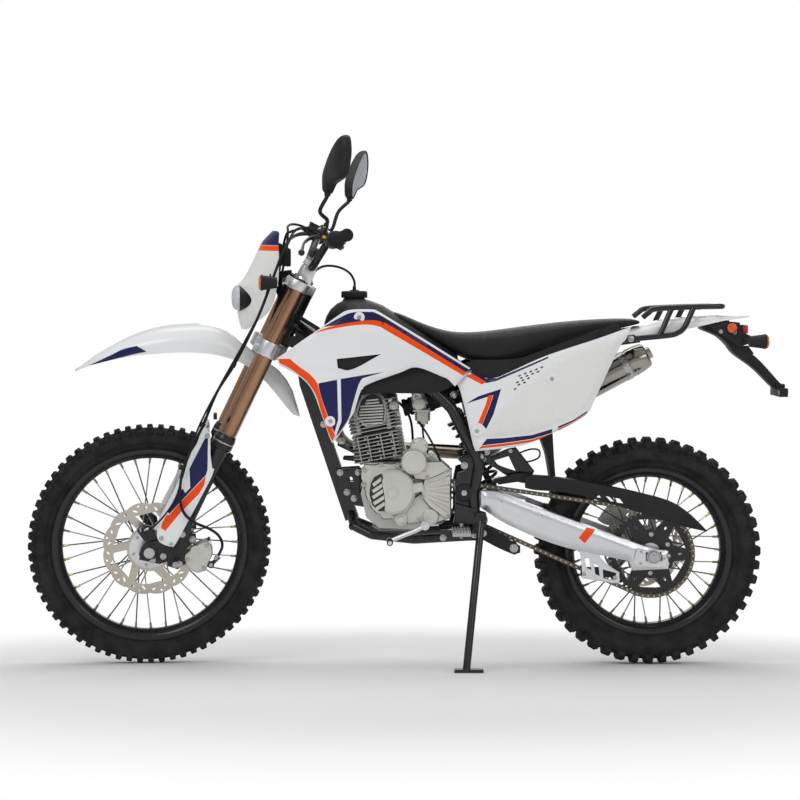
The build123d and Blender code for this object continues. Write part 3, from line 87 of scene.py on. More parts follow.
# ---- Materials ----
def new_material(name):
    material = bpy.data.materials.new(name)
    material.use_nodes = True
    return material, material.node_tree.nodes, material.node_tree.links


def noise_node(tree, links, coords, scale, detail=4.0, rough=0.55):
    node = tree.new("ShaderNodeTexNoise")
    node.inputs["Scale"].default_value = scale
    node.inputs["Detail"].default_value = detail
    node.inputs["Roughness"].default_value = rough
    links.new(coords, node.inputs["Vector"])
    return node


def ramp_node(tree, links, factor, low, high):
    ramp = tree.new("ShaderNodeValToRGB")
    for stop, position, colour in zip(ramp.color_ramp.elements, (0.35, 0.65), (low, high)):
        stop.position, stop.color = position, colour
    links.new(factor, ramp.inputs["Fac"])
    return ramp


def surface(
    name, colour, rough, metal=0.0, vary=0.06, patch=14.0, grain=900.0, bump=0.08, depth=0.0004,
    rough_vary=0.08, coat=0.0, tint=None, specular=None, scratches=0.0,
):
    """A procedural finish: a colour that varies in patches, a roughness that varies, and a fine grain."""
    material, tree, links = new_material(name)
    shader = tree["Principled BSDF"]
    shader.inputs["Metallic"].default_value = metal
    shader.inputs["Coat Weight"].default_value = coat
    shader.inputs["Coat Roughness"].default_value = 0.08
    if specular is not None:
        shader.inputs["Specular IOR Level"].default_value = specular
    coords = tree.new("ShaderNodeTexCoord").outputs["Object"]
    patches = noise_node(tree, links, coords, patch, 5.0)
    dark = [c * (1 - vary) for c in colour] + [1]
    light = [min(1.0, c * (1 + vary)) for c in (tint or colour)] + [1]
    ramp = ramp_node(tree, links, patches.outputs["Fac"], dark, light)
    links.new(ramp.outputs["Color"], shader.inputs["Base Color"])
    smears = noise_node(tree, links, coords, patch * 4, 3.0)
    spread = tree.new("ShaderNodeMapRange")
    spread.inputs["From Min"].default_value = 0.3
    spread.inputs["From Max"].default_value = 0.7
    spread.inputs["To Min"].default_value = max(0.02, rough - rough_vary)
    spread.inputs["To Max"].default_value = min(1.0, rough + rough_vary)
    links.new(smears.outputs["Fac"], spread.inputs["Value"])
    links.new(spread.outputs["Result"], shader.inputs["Roughness"])
    if scratches:
        stretch = tree.new("ShaderNodeMapping")
        stretch.inputs["Scale"].default_value = (1, 60, 60)
        links.new(coords, stretch.inputs["Vector"])
        grains = noise_node(tree, links, stretch.outputs["Vector"], scratches, 3.0, 0.7)
    else:
        grains = noise_node(tree, links, coords, grain, 2.0)
    lift = tree.new("ShaderNodeBump")
    lift.inputs["Strength"].default_value = bump
    lift.inputs["Distance"].default_value = depth
    links.new(grains.outputs["Fac"], lift.inputs["Height"])
    links.new(lift.outputs["Normal"], shader.inputs["Normal"])
    return material


WHITE = surface("gloss_white", (0.86, 0.87, 0.88), 0.22, vary=0.02, patch=5, grain=260, bump=0.02, coat=0.25,
    rough_vary=0.05)
OFF_WHITE = surface("number_panel", (0.82, 0.83, 0.80), 0.3, vary=0.006, patch=3, grain=300, bump=0.03,
    rough_vary=0.06)
NAVY = surface("navy_vinyl", (0.009, 0.012, 0.085), 0.3, vary=0.06, patch=9, grain=400, bump=0.03, coat=0.08,
    specular=0.25)
ORANGE = surface("orange_vinyl", (0.98, 0.078, 0.0), 0.3, vary=0.02, patch=9, grain=400, bump=0.03, coat=0.08,
    specular=0.25)
BLACK_PLASTIC = surface("black_plastic", (0.020, 0.020, 0.022), 0.48, vary=0.12, patch=18, grain=1500,
    bump=0.22)
FRAME_PAINT = surface("frame_paint", (0.010, 0.010, 0.011), 0.22, vary=0.1, patch=12, grain=350, bump=0.03,
    coat=0.5)
CAST = surface("cast_engine", (0.50, 0.498, 0.475), 0.40, metal=0.5, vary=0.03, patch=14, grain=1300,
    bump=0.18)
# A dark casting colour used as painted shade: in the seams round the covers, behind the slats, between the fins
# and between the cam cover's ribs.
PAINTED_SHADE = surface("painted_shade_casting", (0.045, 0.044, 0.041), 0.55, metal=0.4, vary=0.1, patch=20, grain=1300,
    bump=0.2)
COVER = surface("engine_cover", (0.66, 0.655, 0.61), 0.36, metal=0.45, vary=0.025, patch=8, grain=1500,
    bump=0.1, rough_vary=0.05)
ALLOY = surface("bare_alloy", (0.76, 0.77, 0.79), 0.30, metal=0.9, vary=0.03, patch=9, bump=0.012,
    rough_vary=0.025, scratches=6.0, depth=0.0001)
BRONZE = surface("bronze_anodised", (0.40, 0.225, 0.14), 0.2, metal=0.95, vary=0.05, patch=10, grain=700,
    bump=0.04)
BLACK_ALLOY = surface("black_alloy", (0.016, 0.016, 0.018), 0.30, metal=0.2, vary=0.1, patch=16, grain=800,
    bump=0.08, coat=0.3)
STEEL = surface("steel", (0.50, 0.50, 0.51), 0.28, metal=0.95, vary=0.06, patch=30, grain=900, bump=0.08)
DARK_STEEL = surface("dark_steel", (0.10, 0.098, 0.095), 0.42, metal=0.85, vary=0.2, patch=60, grain=900,
    bump=0.15)
CHAIN_METAL = surface("chain_metal", (0.15, 0.13, 0.10), 0.40, metal=0.85, vary=0.2, patch=60, grain=900,
    bump=0.12)
BRASS = surface("nipple_brass", (0.36, 0.33, 0.21), 0.30, metal=0.9, vary=0.12, patch=60, grain=900,
    bump=0.08)
SEAT_VINYL = surface("seat_vinyl", (0.016, 0.016, 0.017), 0.55, vary=0.15, patch=20, grain=620, bump=0.5,
    depth=0.0007)
RUBBER = surface("tyre_rubber", (0.020, 0.020, 0.020), 0.72, vary=0.25, patch=24, grain=700, bump=0.35,
    tint=(0.026, 0.025, 0.024))
SOFT_RUBBER = surface("soft_rubber", (0.017, 0.017, 0.018), 0.66, vary=0.15, patch=30, grain=1200, bump=0.25)
RED = surface("red_lens", (0.55, 0.012, 0.008), 0.12, vary=0.08, patch=60, grain=260, bump=0.3, coat=0.5)
AMBER = surface("amber_lens", (0.72, 0.16, 0.012), 0.14, vary=0.08, patch=60, grain=260, bump=0.3, coat=0.5)
REFLECTOR = surface("reflector", (0.80, 0.10, 0.02), 0.15, vary=0.1, patch=120, grain=420, bump=0.5, coat=0.6)
YELLOW = surface("switch_yellow", (0.70, 0.50, 0.02), 0.4, vary=0.05, bump=0.05)
MIRROR_GLASS = surface("mirror_glass", (0.55, 0.58, 0.62), 0.05, metal=1.0, vary=0.02, patch=6, bump=0.005,
    rough_vary=0.02)
HEAT = surface("header_steel", (0.33, 0.27, 0.21), 0.34, metal=0.95, vary=0.2, patch=9, grain=700, bump=0.06,
    tint=(0.44, 0.40, 0.36))
DISC_STEEL = surface("disc_steel", (0.56, 0.53, 0.47), 0.30, metal=0.9, vary=0.04, patch=18, grain=900,
    bump=0.05)
CHROME = surface("dark_chrome", (0.36, 0.345, 0.31), 0.14, metal=1.0, vary=0.08, patch=5, grain=500,
    bump=0.02)
LENS = surface("clear_lens", (0.80, 0.83, 0.86), 0.08, vary=0.05, patch=30, grain=120, bump=0.25, coat=0.6)
for dark, shine in ((FRAME_PAINT, 0.3), (BLACK_PLASTIC, 0.22), (BLACK_ALLOY, 0.35), (RUBBER, 0.15),
        (SOFT_RUBBER, 0.2), (SEAT_VINYL, 0.25)):
    dark.node_tree.nodes["Principled BSDF"].inputs["Specular IOR Level"].default_value = shine
LENS.node_tree.nodes["Principled BSDF"].inputs["Transmission Weight"].default_value = 0.35

FINISHES = {
    "painted_frame": FRAME_PAINT, "cast_engine": CAST, "bare_alloy": ALLOY, "bronze_anodised": BRONZE,
    "black_alloy": BLACK_ALLOY, "steel": STEEL, "white_plastic": WHITE, "black_plastic": BLACK_PLASTIC,
    "seat_cover": SEAT_VINYL, "tyre_rubber": RUBBER, "soft_rubber": SOFT_RUBBER, "lamp_lens": LENS,
    "red_lens": RED,
}

SLOT_OF = {row["node"]: row["material_slot"] for row in frame["record"]["subparts"]}
for name, obj in nodes.items():
    obj.data.materials.clear()
    obj.data.materials.append(FINISHES[SLOT_OF[name]])

# ---- Ways of making meshes; every form is drawn in mm on the upright machine ----
class Form:
    """Points and faces gathered from several shapes, each face with the number of its finish."""

    def __init__(self):
        self.points, self.faces, self.finish = [], [], []

    def add(self, points, faces, finish=0):
        return self.add_all([Vector(p) for p in points], faces, [finish] * len(faces))

    def mirrored(self):
        """The same form and its mirror image on the machine's other side."""
        count = len(self.points)
        self.points += [Vector((p.x, -p.y, p.z)) for p in self.points]
        self.faces += [tuple(count + i for i in reversed(face)) for face in self.faces]
        self.finish += list(self.finish)
        return self

    def moved(self, matrix):
        self.points = [matrix @ p for p in self.points]
        return self

    def join(self, other):
        return self.add_all(other.points, other.faces, other.finish)

    def add_all(self, points, faces, finish):
        base = len(self.points)
        self.points += list(points)
        self.faces += [tuple(base + i for i in face) for face in faces]
        self.finish += list(finish)
        return self


def modifier(obj, kind, **settings):
    added = obj.modifiers.new(kind, kind)
    for key, value in settings.items():
        setattr(added, key, value)
    return added


def apply_modifiers(obj):
    graph = bpy.context.evaluated_depsgraph_get()
    made = bpy.data.meshes.new_from_object(obj.evaluated_get(graph))
    obj.modifiers.clear()
    obj.data = made


def piece(
    name, body, form, finishes, replaces=(), bevel=0.0, segments=2, sharp=35, wall=0.0, level=0,
    normals=True,
    between=None,
):
    """A form as an object that rides on its body and stands for the CAD nodes it replaces."""
    mesh = bpy.data.meshes.new(name)
    mesh.from_pydata([p * METRES for p in form.points], [], form.faces)
    for material in finishes:
        mesh.materials.append(material)
    mesh.polygons.foreach_set("material_index", form.finish)
    shape = bmesh.new()
    shape.from_mesh(mesh)
    bmesh.ops.remove_doubles(shape, verts=shape.verts, dist=0.00001)
    if normals:
        bmesh.ops.recalc_face_normals(shape, faces=shape.faces)
    shape.to_mesh(mesh)
    shape.free()
    obj = bpy.data.objects.new(name, mesh)
    bpy.context.scene.collection.objects.link(obj)
    if wall:
        modifier(obj, "SOLIDIFY", thickness=wall * METRES, offset=-1, use_even_offset=True)
    if bevel:
        modifier(
            obj, "BEVEL", width=bevel * METRES, segments=segments, limit_method="ANGLE",
            angle_limit=radians(32), harden_normals=False,
        )
    if level:
        modifier(obj, "SUBSURF", levels=level, render_levels=level)
    if obj.modifiers:
        apply_modifiers(obj)
    obj.data.shade_smooth()
    obj.data.set_sharp_from_angle(angle=radians(sharp))
    obj.data.transform(metres(AT[body]))
    if between:
        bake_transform(obj)
    else:
        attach(obj, body)
    for node in replaces:
        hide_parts(node)
    return obj


def metres(matrix):
    """A placing in mm as one in metres."""
    scaled = matrix.copy()
    scaled.translation = scaled.translation * METRES
    return scaled


def smooth_step(low, high, value):
    t = max(0.0, min(1.0, (value - low) / (high - low)))
    return t * t * (3 - 2 * t)


def table(rows, x):
    """A smooth value at x from (x, value) rows."""
    if x <= rows[0][0]:
        return rows[0][1]
    for index in range(len(rows) - 1):
        x0, y0 = rows[index]
        x1, y1 = rows[index + 1]
        if x <= x1:
            before = rows[max(index - 1, 0)]
            after = rows[min(index + 2, len(rows) - 1)]
            m0 = (y1 - before[1]) / max(x1 - before[0], 1e-6)
            m1 = (after[1] - y0) / max(after[0] - x0, 1e-6)
            t = (x - x0) / (x1 - x0)
            span = x1 - x0
            return (
                (2 * t**3 - 3 * t**2 + 1) * y0 + (t**3 - 2 * t**2 + t) * m0 * span
                + (-2 * t**3 + 3 * t**2) * y1 + (t**3 - t**2) * m1 * span
            )
    return rows[-1][1]


def smooth_path(points, step=6.0):
    """Points along a smooth line through the given ones."""
    points = [Vector(p) for p in points]
    ends = [points[0] * 2 - points[1]] + points + [points[-1] * 2 - points[-2]]
    line = [points[0]]
    for a, b, c, d in zip(ends, ends[1:], ends[2:], ends[3:]):
        count = max(2, int((c - b).length / step))
        for number in range(1, count + 1):
            t = number / count
            line.append(
                0.5 * (
                    2 * b + (c - a) * t + (2 * a - 5 * b + 4 * c - d) * t**2 + (3 * b - a - 3 * c + d) * t**3
                )
            )
    return line


def rounded(outline, corner=38, step=7.0):
    """A closed (x, z) outline with its gentle turns made smooth and its sharp corners kept."""
    points = [Vector((x, z, 0)) for x, z in outline]
    count = len(points)
    keep = []
    for index in range(count):
        into = points[index] - points[index - 1]
        out = points[(index + 1) % count] - points[index]
        if into.angle(out) > radians(corner):
            keep.append(index)
    if not keep:
        keep = [0]
    line = []
    for start, end in zip(keep, keep[1:] + [keep[0] + count]):
        run = [points[i % count] for i in range(start, end + 1)]
        line += smooth_path(run, step)[:-1]
    return [(p.x, p.y) for p in line]


def within(x, z, outline):
    """Whether a point is inside a closed outline."""
    hit = False
    ax, az = outline[-1]
    for bx, bz in outline:
        if (az > z) != (bz > z) and x < (bx - ax) * (z - az) / (bz - az) + ax:
            hit = not hit
        ax, az = bx, bz
    return hit


def edge_distance(x, z, outline):
    best = 1e9
    ax, az = outline[-1]
    for bx, bz in outline:
        dx, dz = bx - ax, bz - az
        t = max(0.0, min(1.0, ((x - ax) * dx + (z - az) * dz) / max(dx * dx + dz * dz, 1e-9)))
        best = min(best, hypot(x - ax - dx * t, z - az - dz * t))
        ax, az = bx, bz
    return best


def dense(outline, step):
    """A closed outline with extra points so that no edge is longer than step."""
    line = []
    for (ax, az), (bx, bz) in zip(outline, outline[1:] + outline[:1]):
        count = max(1, round(hypot(bx - ax, bz - az) / step))
        line += [(ax + (bx - ax) * k / count, az + (bz - az) * k / count) for k in range(count)]
    return line


def sheet(outline, where, step=9.0, inlays=(), holes=()):
    """A triangulated sheet inside an outline, lifted to where(a, b); inlays are (outline, finish) pairs."""
    loops = [dense(outline, step)] + [dense(loop, step) for loop,
        _ in inlays] + [dense(loop, step) for loop in holes]
    flat, edges = [], []
    for loop in loops:
        base = len(flat)
        flat += loop
        edges += [(base + i, base + (i + 1) % len(loop)) for i in range(len(loop))]
    low_a, high_a = min(p[0] for p in outline), max(p[0] for p in outline)
    low_b, high_b = min(p[1] for p in outline), max(p[1] for p in outline)
    border = set()
    for a, b in flat:
        border.add((round(a / step), round(b / step)))
    row = 0
    b = low_b + step / 2
    while b < high_b:
        a = low_a + (step / 2 if row % 2 else step)
        while a < high_a:
            if (round(a / step), round(b / step)) not in border and within(a, b, outline):
                flat.append((a, b))
            a += step
        b += step * 0.87
        row += 1
    points, _, triangles = geometry.delaunay_2d_cdt([Vector(p) for p in flat], edges, [], 0, 0.01)[:3]
    form = Form()
    kept, finish = [], []
    for triangle in triangles:
        a = sum(points[i].x for i in triangle) / 3
        b = sum(points[i].y for i in triangle) / 3
        if not within(a, b, outline) or any(within(a, b, hole) for hole in holes):
            continue
        number = 0
        for loop, value in inlays:
            if within(a, b, loop):
                number = value
        kept.append(tuple(triangle))
        finish.append(number)
    form.points = [Vector(where(p.x, p.y)) for p in points]
    form.faces, form.finish = kept, finish
    return form


def flip(form):
    form.faces = [tuple(reversed(face)) for face in form.faces]
    return form


def both_sides(half):
    """The sheet half(sign) on each side, wound so that both face outwards."""
    return Form().join(half(-1)).join(flip(half(1)))


def turns(count, start=0):
    """Angles that divide a full turn."""
    return [2 * pi * (k + start) / count for k in range(count)]


def column(rows, number):
    """(x, value) rows for table() from rows of several values."""
    return [(row[0], row[number]) for row in rows]


def plate(outline, y_low, y_high, step=40.0, holes=()):
    """A flat plate with an (x, z) outline and holes."""
    y_low, y_high = sorted((y_low, y_high))
    near = sheet(outline, lambda a, b: (a, y_low, b), step, holes=holes)
    far = sheet(outline, lambda a, b: (a, y_high, b), step, holes=holes)
    form = Form()
    form.add_all(near.points, near.faces, [0] * len(near.faces))
    form.add_all(far.points, [tuple(reversed(f)) for f in far.faces], [0] * len(far.faces))
    for loop in [outline] + list(holes):
        loop = dense(loop, step)
        count = len(loop)
        points = [(a, y_low, b) for a, b in loop] + [(a, y_high, b) for a, b in loop]
        form.add(points, [(i, (i + 1) % count, count + (i + 1) % count, count + i) for i in range(count)])
    return form


def walled(near, far, finish=0):
    """A solid between two rings with as many points each."""
    count = len(near)
    form = loft([near, far], finish, capped=False)
    return form.add_all([], [tuple(range(-2 * count, -count)), tuple(reversed(range(-count, 0)))],
        [finish] * 2)


def prism(outline, y_low, y_high, finish=0):
    """A solid with an (x, z) outline and plain ends."""
    return walled([(a, y_low, b) for a, b in outline], [(a, y_high, b) for a, b in outline], finish)


def slab(outline, z_low, z_high, finish=0):
    """A solid with an (x, y) outline between two heights."""
    return loft([[(x, y, z) for x, y in outline] for z in (z_low, z_high)], finish)


def box(low, high, finish=0):
    (a, b, c), (d, e, f) = low, high
    b, e = sorted((b, e))
    return prism([(a, c), (d, c), (d, f), (a, f)], b, e, finish)


def frame_on(axis):
    """Two directions square to an axis and to each other."""
    axis = Vector(axis).normalized()
    side = axis.cross(Vector((0, 0, 1)) if abs(axis.z) < 0.9 else Vector((1, 0, 0))).normalized()
    return axis, side, axis.cross(side)


def lathe(origin, axis, profile, sides=32, finish=0, closed=False):
    """A round shape about an axis from (radius, distance along) rows."""
    axis, u, v = frame_on(axis)
    origin = Vector(origin)
    points, faces = [], []
    for radius, along in profile:
        for angle in turns(sides):
            points.append(origin + axis * along + (u * cos(angle) + v * sin(angle)) * radius)
    rows = len(profile)
    for row in range(rows if closed else rows - 1):
        a, b = row * sides, ((row + 1) % rows) * sides
        faces += [(a + k, a + (k + 1) % sides, b + (k + 1) % sides, b + k) for k in range(sides)]
    if not closed:
        if profile[0][0] > 0.01:
            faces.append(tuple(reversed(range(sides))))
        if profile[-1][0] > 0.01:
            faces.append(tuple(range((rows - 1) * sides, rows * sides)))
    return Form().add(points, faces, finish)


def rod(start, end, radius, sides=14, finish=0, end_radius=None):
    run = Vector(end) - Vector(start)
    top = radius if end_radius is None else end_radius
    return lathe(start, run, [(radius, 0), (top, run.length)], sides, finish)


def pipe(points, radius, sides=12, finish=0, step=6.0, smooth=True):
    """A round tube along a smooth line; radius is one value or a function of the share along it."""
    line = smooth_path(points, step) if smooth else [Vector(p) for p in points]
    normal = None
    rings = []
    for index, point in enumerate(line):
        ahead = line[min(index + 1, len(line) - 1)] - line[max(index - 1, 0)]
        ahead.normalize()
        if normal is None:
            normal = frame_on(ahead)[1]
        normal = (normal - ahead * normal.dot(ahead)).normalized()
        other = ahead.cross(normal)
        size = radius(index / (len(line) - 1)) if callable(radius) else radius
        rings.append([point + (normal * cos(a) + other * sin(a)) * size for a in turns(sides)])
    return loft(rings, finish)


def loft(rings, finish=0, closed=True, capped=True):
    """Faces between rings with as many points each."""
    count = len(rings[0])
    points = [p for ring in rings for p in ring]
    faces = []
    last = count if closed else count - 1
    for row in range(len(rings) - 1):
        a, b = row * count, (row + 1) * count
        faces += [(a + k, a + (k + 1) % count, b + (k + 1) % count, b + k) for k in range(last)]
    if capped and closed:
        faces += [tuple(reversed(range(count))), tuple(range(len(points) - count, len(points)))]
    return Form().add(points, faces, finish)


def bolt(place, axis, radius=5.0, height=4.0, washer=True, finish=0, socket=False):
    """A bolt's head on its washer: hexagonal, or round with a socket."""
    axis = Vector(axis).normalized()
    place = Vector(place)
    form = Form()
    if washer:
        form.join(lathe(place, axis, [(radius * 1.5, 0), (radius * 1.5, 0.8), (radius * 1.4, 1.2)], 20,
            finish))
        place = place + axis * 1.2
    if socket:
        rows = [(radius, 0), (radius, height * 0.8), (radius * 0.86, height), (radius * 0.5, height),
            (radius * 0.46, height * 0.4), (0, height * 0.4)]
        return form.join(lathe(place, axis, rows, 18, finish))
    rows = [(radius, 0), (radius, height * 0.75), (radius * 0.8, height), (0, height)]
    return form.join(lathe(place, axis, rows, 6, finish))

# ---- Moulded panels ----
# (x, half width) of the walls
SHROUD_LINE = [(370, 163), (480, 194), (590, 199), (700, 184), (800, 160), (920, 145)]
SHROUD = rounded([
    (377, 886), (413, 910), (443, 932), (495, 967), (544, 1002), (577, 1020), (641, 1022), (660, 1016),
    (700, 992), (790, 937), (917, 857), (901, 836), (874, 806), (854, 826), (839, 833), (767, 860),
    (720, 846),
    (641, 818), (616, 803), (606, 781), (591, 734), (573, 707), (554, 677), (532, 650), (525, 664),
    (507, 716),
    (487, 773), (471, 805), (447, 830), (411, 852), (384, 866),
])
SHROUD_NAVY = [
    (507, 973), (549, 997), (586, 1013), (634, 1015), (657, 1010), (720, 973), (914, 853), (906, 845),
    (713, 965),
    (666, 988), (634, 992), (591, 987), (542, 978),
]
SHROUD_ORANGE = [
    (485, 957), (505, 967), (542, 978), (591, 987), (634, 992), (666, 988), (713, 965), (906, 845),
    (898, 836),
    (700, 953), (656, 976), (606, 979), (537, 969),
]
FRONT_ORANGE = [
    (381, 884), (413, 885), (443, 861), (470, 842), (491, 817), (499, 786), (517, 734), (534, 687),
    (541, 672),
    (532, 656), (524, 672), (506, 724), (488, 781), (474, 805), (459, 824), (436, 842), (408, 861),
    (384, 872),
]
NAVY_PATCH = [
    (494, 817), (560, 830), (676, 849), (616, 831), (606, 815), (591, 766), (577, 719), (549, 676),
    (543, 673),
    (534, 689), (517, 736), (499, 788),
]
WHITE_LINE = [(542, 852), (552, 855), (556, 826), (558, 712), (543, 672), (538, 678), (549, 717), (546, 826)]
VENT = [(545, 885), (668, 898), (586, 855), (548, 859)]
SHROUD_BOLTS = [(607, 1000), (527, 712)]

SIDE_LINE = [(870, 131), (960, 138), (1100, 168), (1250, 172), (1380, 150)]
SIDE = rounded([
    (904, 838), (919, 850), (940, 838), (962, 829), (992, 831), (1030, 848), (1131, 894), (1279, 943),
    (1368, 974),
    (1352, 938), (1335, 918), (1290, 828), (1262, 768), (1244, 734), (1200, 704), (1145, 676), (1072, 644),
    (1000, 630), (933, 622), (926, 640), (912, 700), (900, 752), (888, 796), (880, 812),
])
SKIRT = [
    (900, 868), (930, 880), (1000, 880), (1060, 886), (1140, 916), (1260, 960), (1330, 980), (1344, 962),
    (1279, 936),
    (1131, 884), (1030, 838), (992, 820), (962, 820), (940, 828), (912, 842),
]
SIDE_ORANGE = [(906, 834), (921, 842), (962, 818), (950, 811)]
SIDE_NAVY = [(915, 846), (922, 849), (961, 828), (992, 829), (1133, 891), (1133, 886), (990, 821), (961, 815)]
SEVEN_NAVY = [
    (905, 757), (940, 778), (1003, 799), (982, 728), (962, 686), (951, 698), (972, 752), (982, 782),
    (940, 768),
]
SEVEN_ORANGE = [(967, 780), (981, 782), (972, 754), (951, 699), (939, 703), (960, 754)]
LOW_NAVY = [(964, 658), (1010, 661), (1087, 671), (1144, 689), (1144, 678), (1087, 660), (1010, 647),
    (949, 639)]
LOW_ORANGE = [(948, 637.5), (1010, 645.5), (1087, 658.5), (1144, 676.5), (1144, 671.5), (1087, 651.5),
    (1010, 638), (942, 630)]
TAB_NAVY = [(1160, 696), (1200, 713), (1242, 740), (1240, 734), (1200, 708), (1160, 690)]
TAB_ORANGE = [(1160, 688.5), (1200, 706.5), (1240, 732.5), (1236, 726), (1200, 700), (1160, 681)]
SIDE_BOLTS = [(936, 680), (1142, 829)]
NUMBER_PLATE = [
    (948, 664), (1000, 738), (1060, 800), (1120, 852), (1180, 890), (1240, 914), (1336, 944), (1318, 906),
    (1262, 792), (1236, 748), (1196, 719), (1146, 698), (1080, 676), (990, 665),
]
SLOTS_FROM = (1054, 837)  # the top row's first opening
SLOT_ROWS = 7
SLOT_PITCH = 16.4
SLOT_REACH = 78.0  # length of the top row


def edge_drop(x, z, outline):
    """How far a moulding's rounded edge falls away near its outline."""
    return 6 * (1 - min(1.0, edge_distance(x, z, outline) / 9)) ** 2


def shroud_y(sign):
    """Where a shroud's surface is: walls with a fold, and a spine down its lower half."""
    def where(x, z):
        half = table(SHROUD_LINE, x)
        half -= 16 * smooth_step(960, 1030, z) + 12 * smooth_step(760, 640, z)
        fold = 862 - 0.30 * max(0, x - 590) + 0.06 * (590 - min(x, 590))
        half -= 6 * smooth_step(fold + 4, fold - 22, z)
        spine = 549 - 0.09 * max(0, 712 - z)
        half += 3.5 * (1 - smooth_step(3, 13, abs(x - spine))) * smooth_step(866, 840, z)
        half -= edge_drop(x, z, SHROUD)
        return (x, sign * half, z)

    return where


def side_y(sign):
    """Where a side panel's surface is, with the number panel raised."""
    def where(x, z):
        half = table(SIDE_LINE, x)
        half -= 10 * smooth_step(720, 630, z)
        if within(x, z, NUMBER_PLATE):
            half += 4.5 * smooth_step(0, 7, edge_distance(x, z, NUMBER_PLATE))
        half -= edge_drop(x, z, SIDE)
        return (x, sign * half, z)

    return where


def slots():
    """Rows of small dark lozenges on the side panel, each an (x, z) outline."""
    cells = []
    for row in range(SLOT_ROWS):
        along = SLOT_PITCH / 2 if row % 2 else 0.0
        while along <= SLOT_REACH:
            x = SLOTS_FROM[0] - 3.2 * row + 0.93 * along
            z = SLOTS_FROM[1] - 9.4 * row + 0.36 * along
            along += SLOT_PITCH
            if within(x, z, NUMBER_PLATE) or edge_distance(x, z, NUMBER_PLATE) < 7:
                continue
            cells.append([(x - 5.2, z - 1.4), (x + 0.8, z + 3.2), (x + 5.2, z + 1.4), (x - 0.8, z - 3.2)])
    return cells


def vent_inset(sign):
    """The dark floor of a shroud's vent, behind its opening."""
    where = shroud_y(sign)

    def behind(x, z):
        a, b, c = where(x, z)
        return (a, b - sign * 9, c)

    return sheet([(538, 890), (676, 902), (588, 848), (541, 853)], behind, 10)


def seat_skirt(sign):
    """The seat base's black side, closing the gap down to the panel's top edge."""
    where = side_y(sign)
    return sheet(SKIRT, lambda x, z: (x, where(x, 800)[1] - sign * 13, z), 10)


def panel_bolts():
    """White washers with steel screws on both sides' panels."""
    form = Form()
    for sign in (-1, 1):
        for where, rows in ((shroud_y(sign), SHROUD_BOLTS), (side_y(sign), SIDE_BOLTS)):
            for x, z in rows:
                place = Vector(where(x, z))
                place.y -= sign * 1.0
                out = (0, sign, 0)
                form.join(lathe(place, out, [(15, 0), (15, 2.2), (13.6, 3.4), (7, 3.4), (6.4, 2.2), (0, 2.2)],
                    28, 0))
                place.y += sign * 1.8
                form.join(bolt(place, out, 5.2, 3.4, False, 1, socket=True))
    return form


SHROUD_INLAYS = [(SHROUD_NAVY, 1), (SHROUD_ORANGE, 2), (NAVY_PATCH, 1), (FRONT_ORANGE, 2)]
SHROUD_INLAYS = [(rounded(loop), finish) for loop, finish in SHROUD_INLAYS] + [(WHITE_LINE, 0)]
SIDE_INLAYS = [
    (NUMBER_PLATE, 3), (SIDE_NAVY, 1), (SIDE_ORANGE, 2), (SEVEN_NAVY, 1), (SEVEN_ORANGE, 2), (LOW_NAVY, 1),
    (LOW_ORANGE, 2), (TAB_NAVY, 1), (TAB_ORANGE, 2),
] + [(cell, 4) for cell in slots()]
panels = both_sides(lambda sign: sheet(SHROUD, shroud_y(sign), 9, SHROUD_INLAYS, [rounded(VENT)]))
piece("shroud_panels", "chassis", panels, [WHITE, NAVY, ORANGE], ["shrouds"], wall=3,
    normals=False)
panels = both_sides(vent_inset)
piece("shroud_vents", "chassis", panels, [BLACK_PLASTIC], wall=2, normals=False)
panels = both_sides(lambda sign: sheet(SIDE, side_y(sign), 9, SIDE_INLAYS))
finishes = [WHITE, NAVY, ORANGE, OFF_WHITE, BLACK_PLASTIC]
piece("side_covers", "chassis", panels, finishes, ["side_panels"], wall=3, normals=False)
piece("seat_skirt", "chassis", both_sides(seat_skirt), [SEAT_VINYL], wall=2, normals=False)
piece("panel_bolts", "chassis", panel_bolts(), [WHITE, STEEL], sharp=28)


# ---- Tank, seat and tail ----
def arch(x, half, top, foot, round_up):
    """Half-open section across the machine, from the left foot over the top to the right one."""
    ring = []
    sides, e = 22, 2 / round_up
    for k in range(sides + 1):
        angle = pi * k / sides
        c, s = -cos(angle), sin(angle)
        ring.append(Vector((x, half * abs(c) ** e * (1 if c > 0 else -1), foot + (top - foot) * s ** e)))
    return ring


# x, half width, top, foot
TANK = [
    (503, 50, 986, 958), (508, 60, 1002, 948), (520, 78, 1022, 938), (538, 96, 1038, 925),
    (560, 118, 1049, 905),
    (590, 140, 1052, 890), (630, 150, 1048, 880), (670, 148, 1033, 872), (720, 140, 1002, 866),
    (780, 126, 968, 860),
    (840, 114, 932, 850), (884, 102, 904, 846),
]
TANK_FLANK = rounded([
    (613, 786), (618, 806), (640, 822), (700, 844), (768, 866), (800, 862), (845, 838), (872, 812),
    (846, 796), (790, 786),
    (680, 788),
], 30)


def flank_y(sign):
    """The lower cover behind the shroud, folded along two creases."""
    def where(x, z):
        half = 150 - 0.09 * max(0, x - 640)
        crest = 806 + 0.22 * (x - 640)
        half -= 0.30 * abs(z - crest) * (1 if z > crest else 1.3)
        return (x, sign * half, z)

    return where


cover = loft([arch(*row, 2.8) for row in TANK], closed=False)
cover.join(both_sides(lambda sign: sheet(TANK_FLANK, flank_y(sign), 9)))
piece("tank_cover", "chassis", cover, [BLACK_PLASTIC], ["fuel_tank"], wall=3)


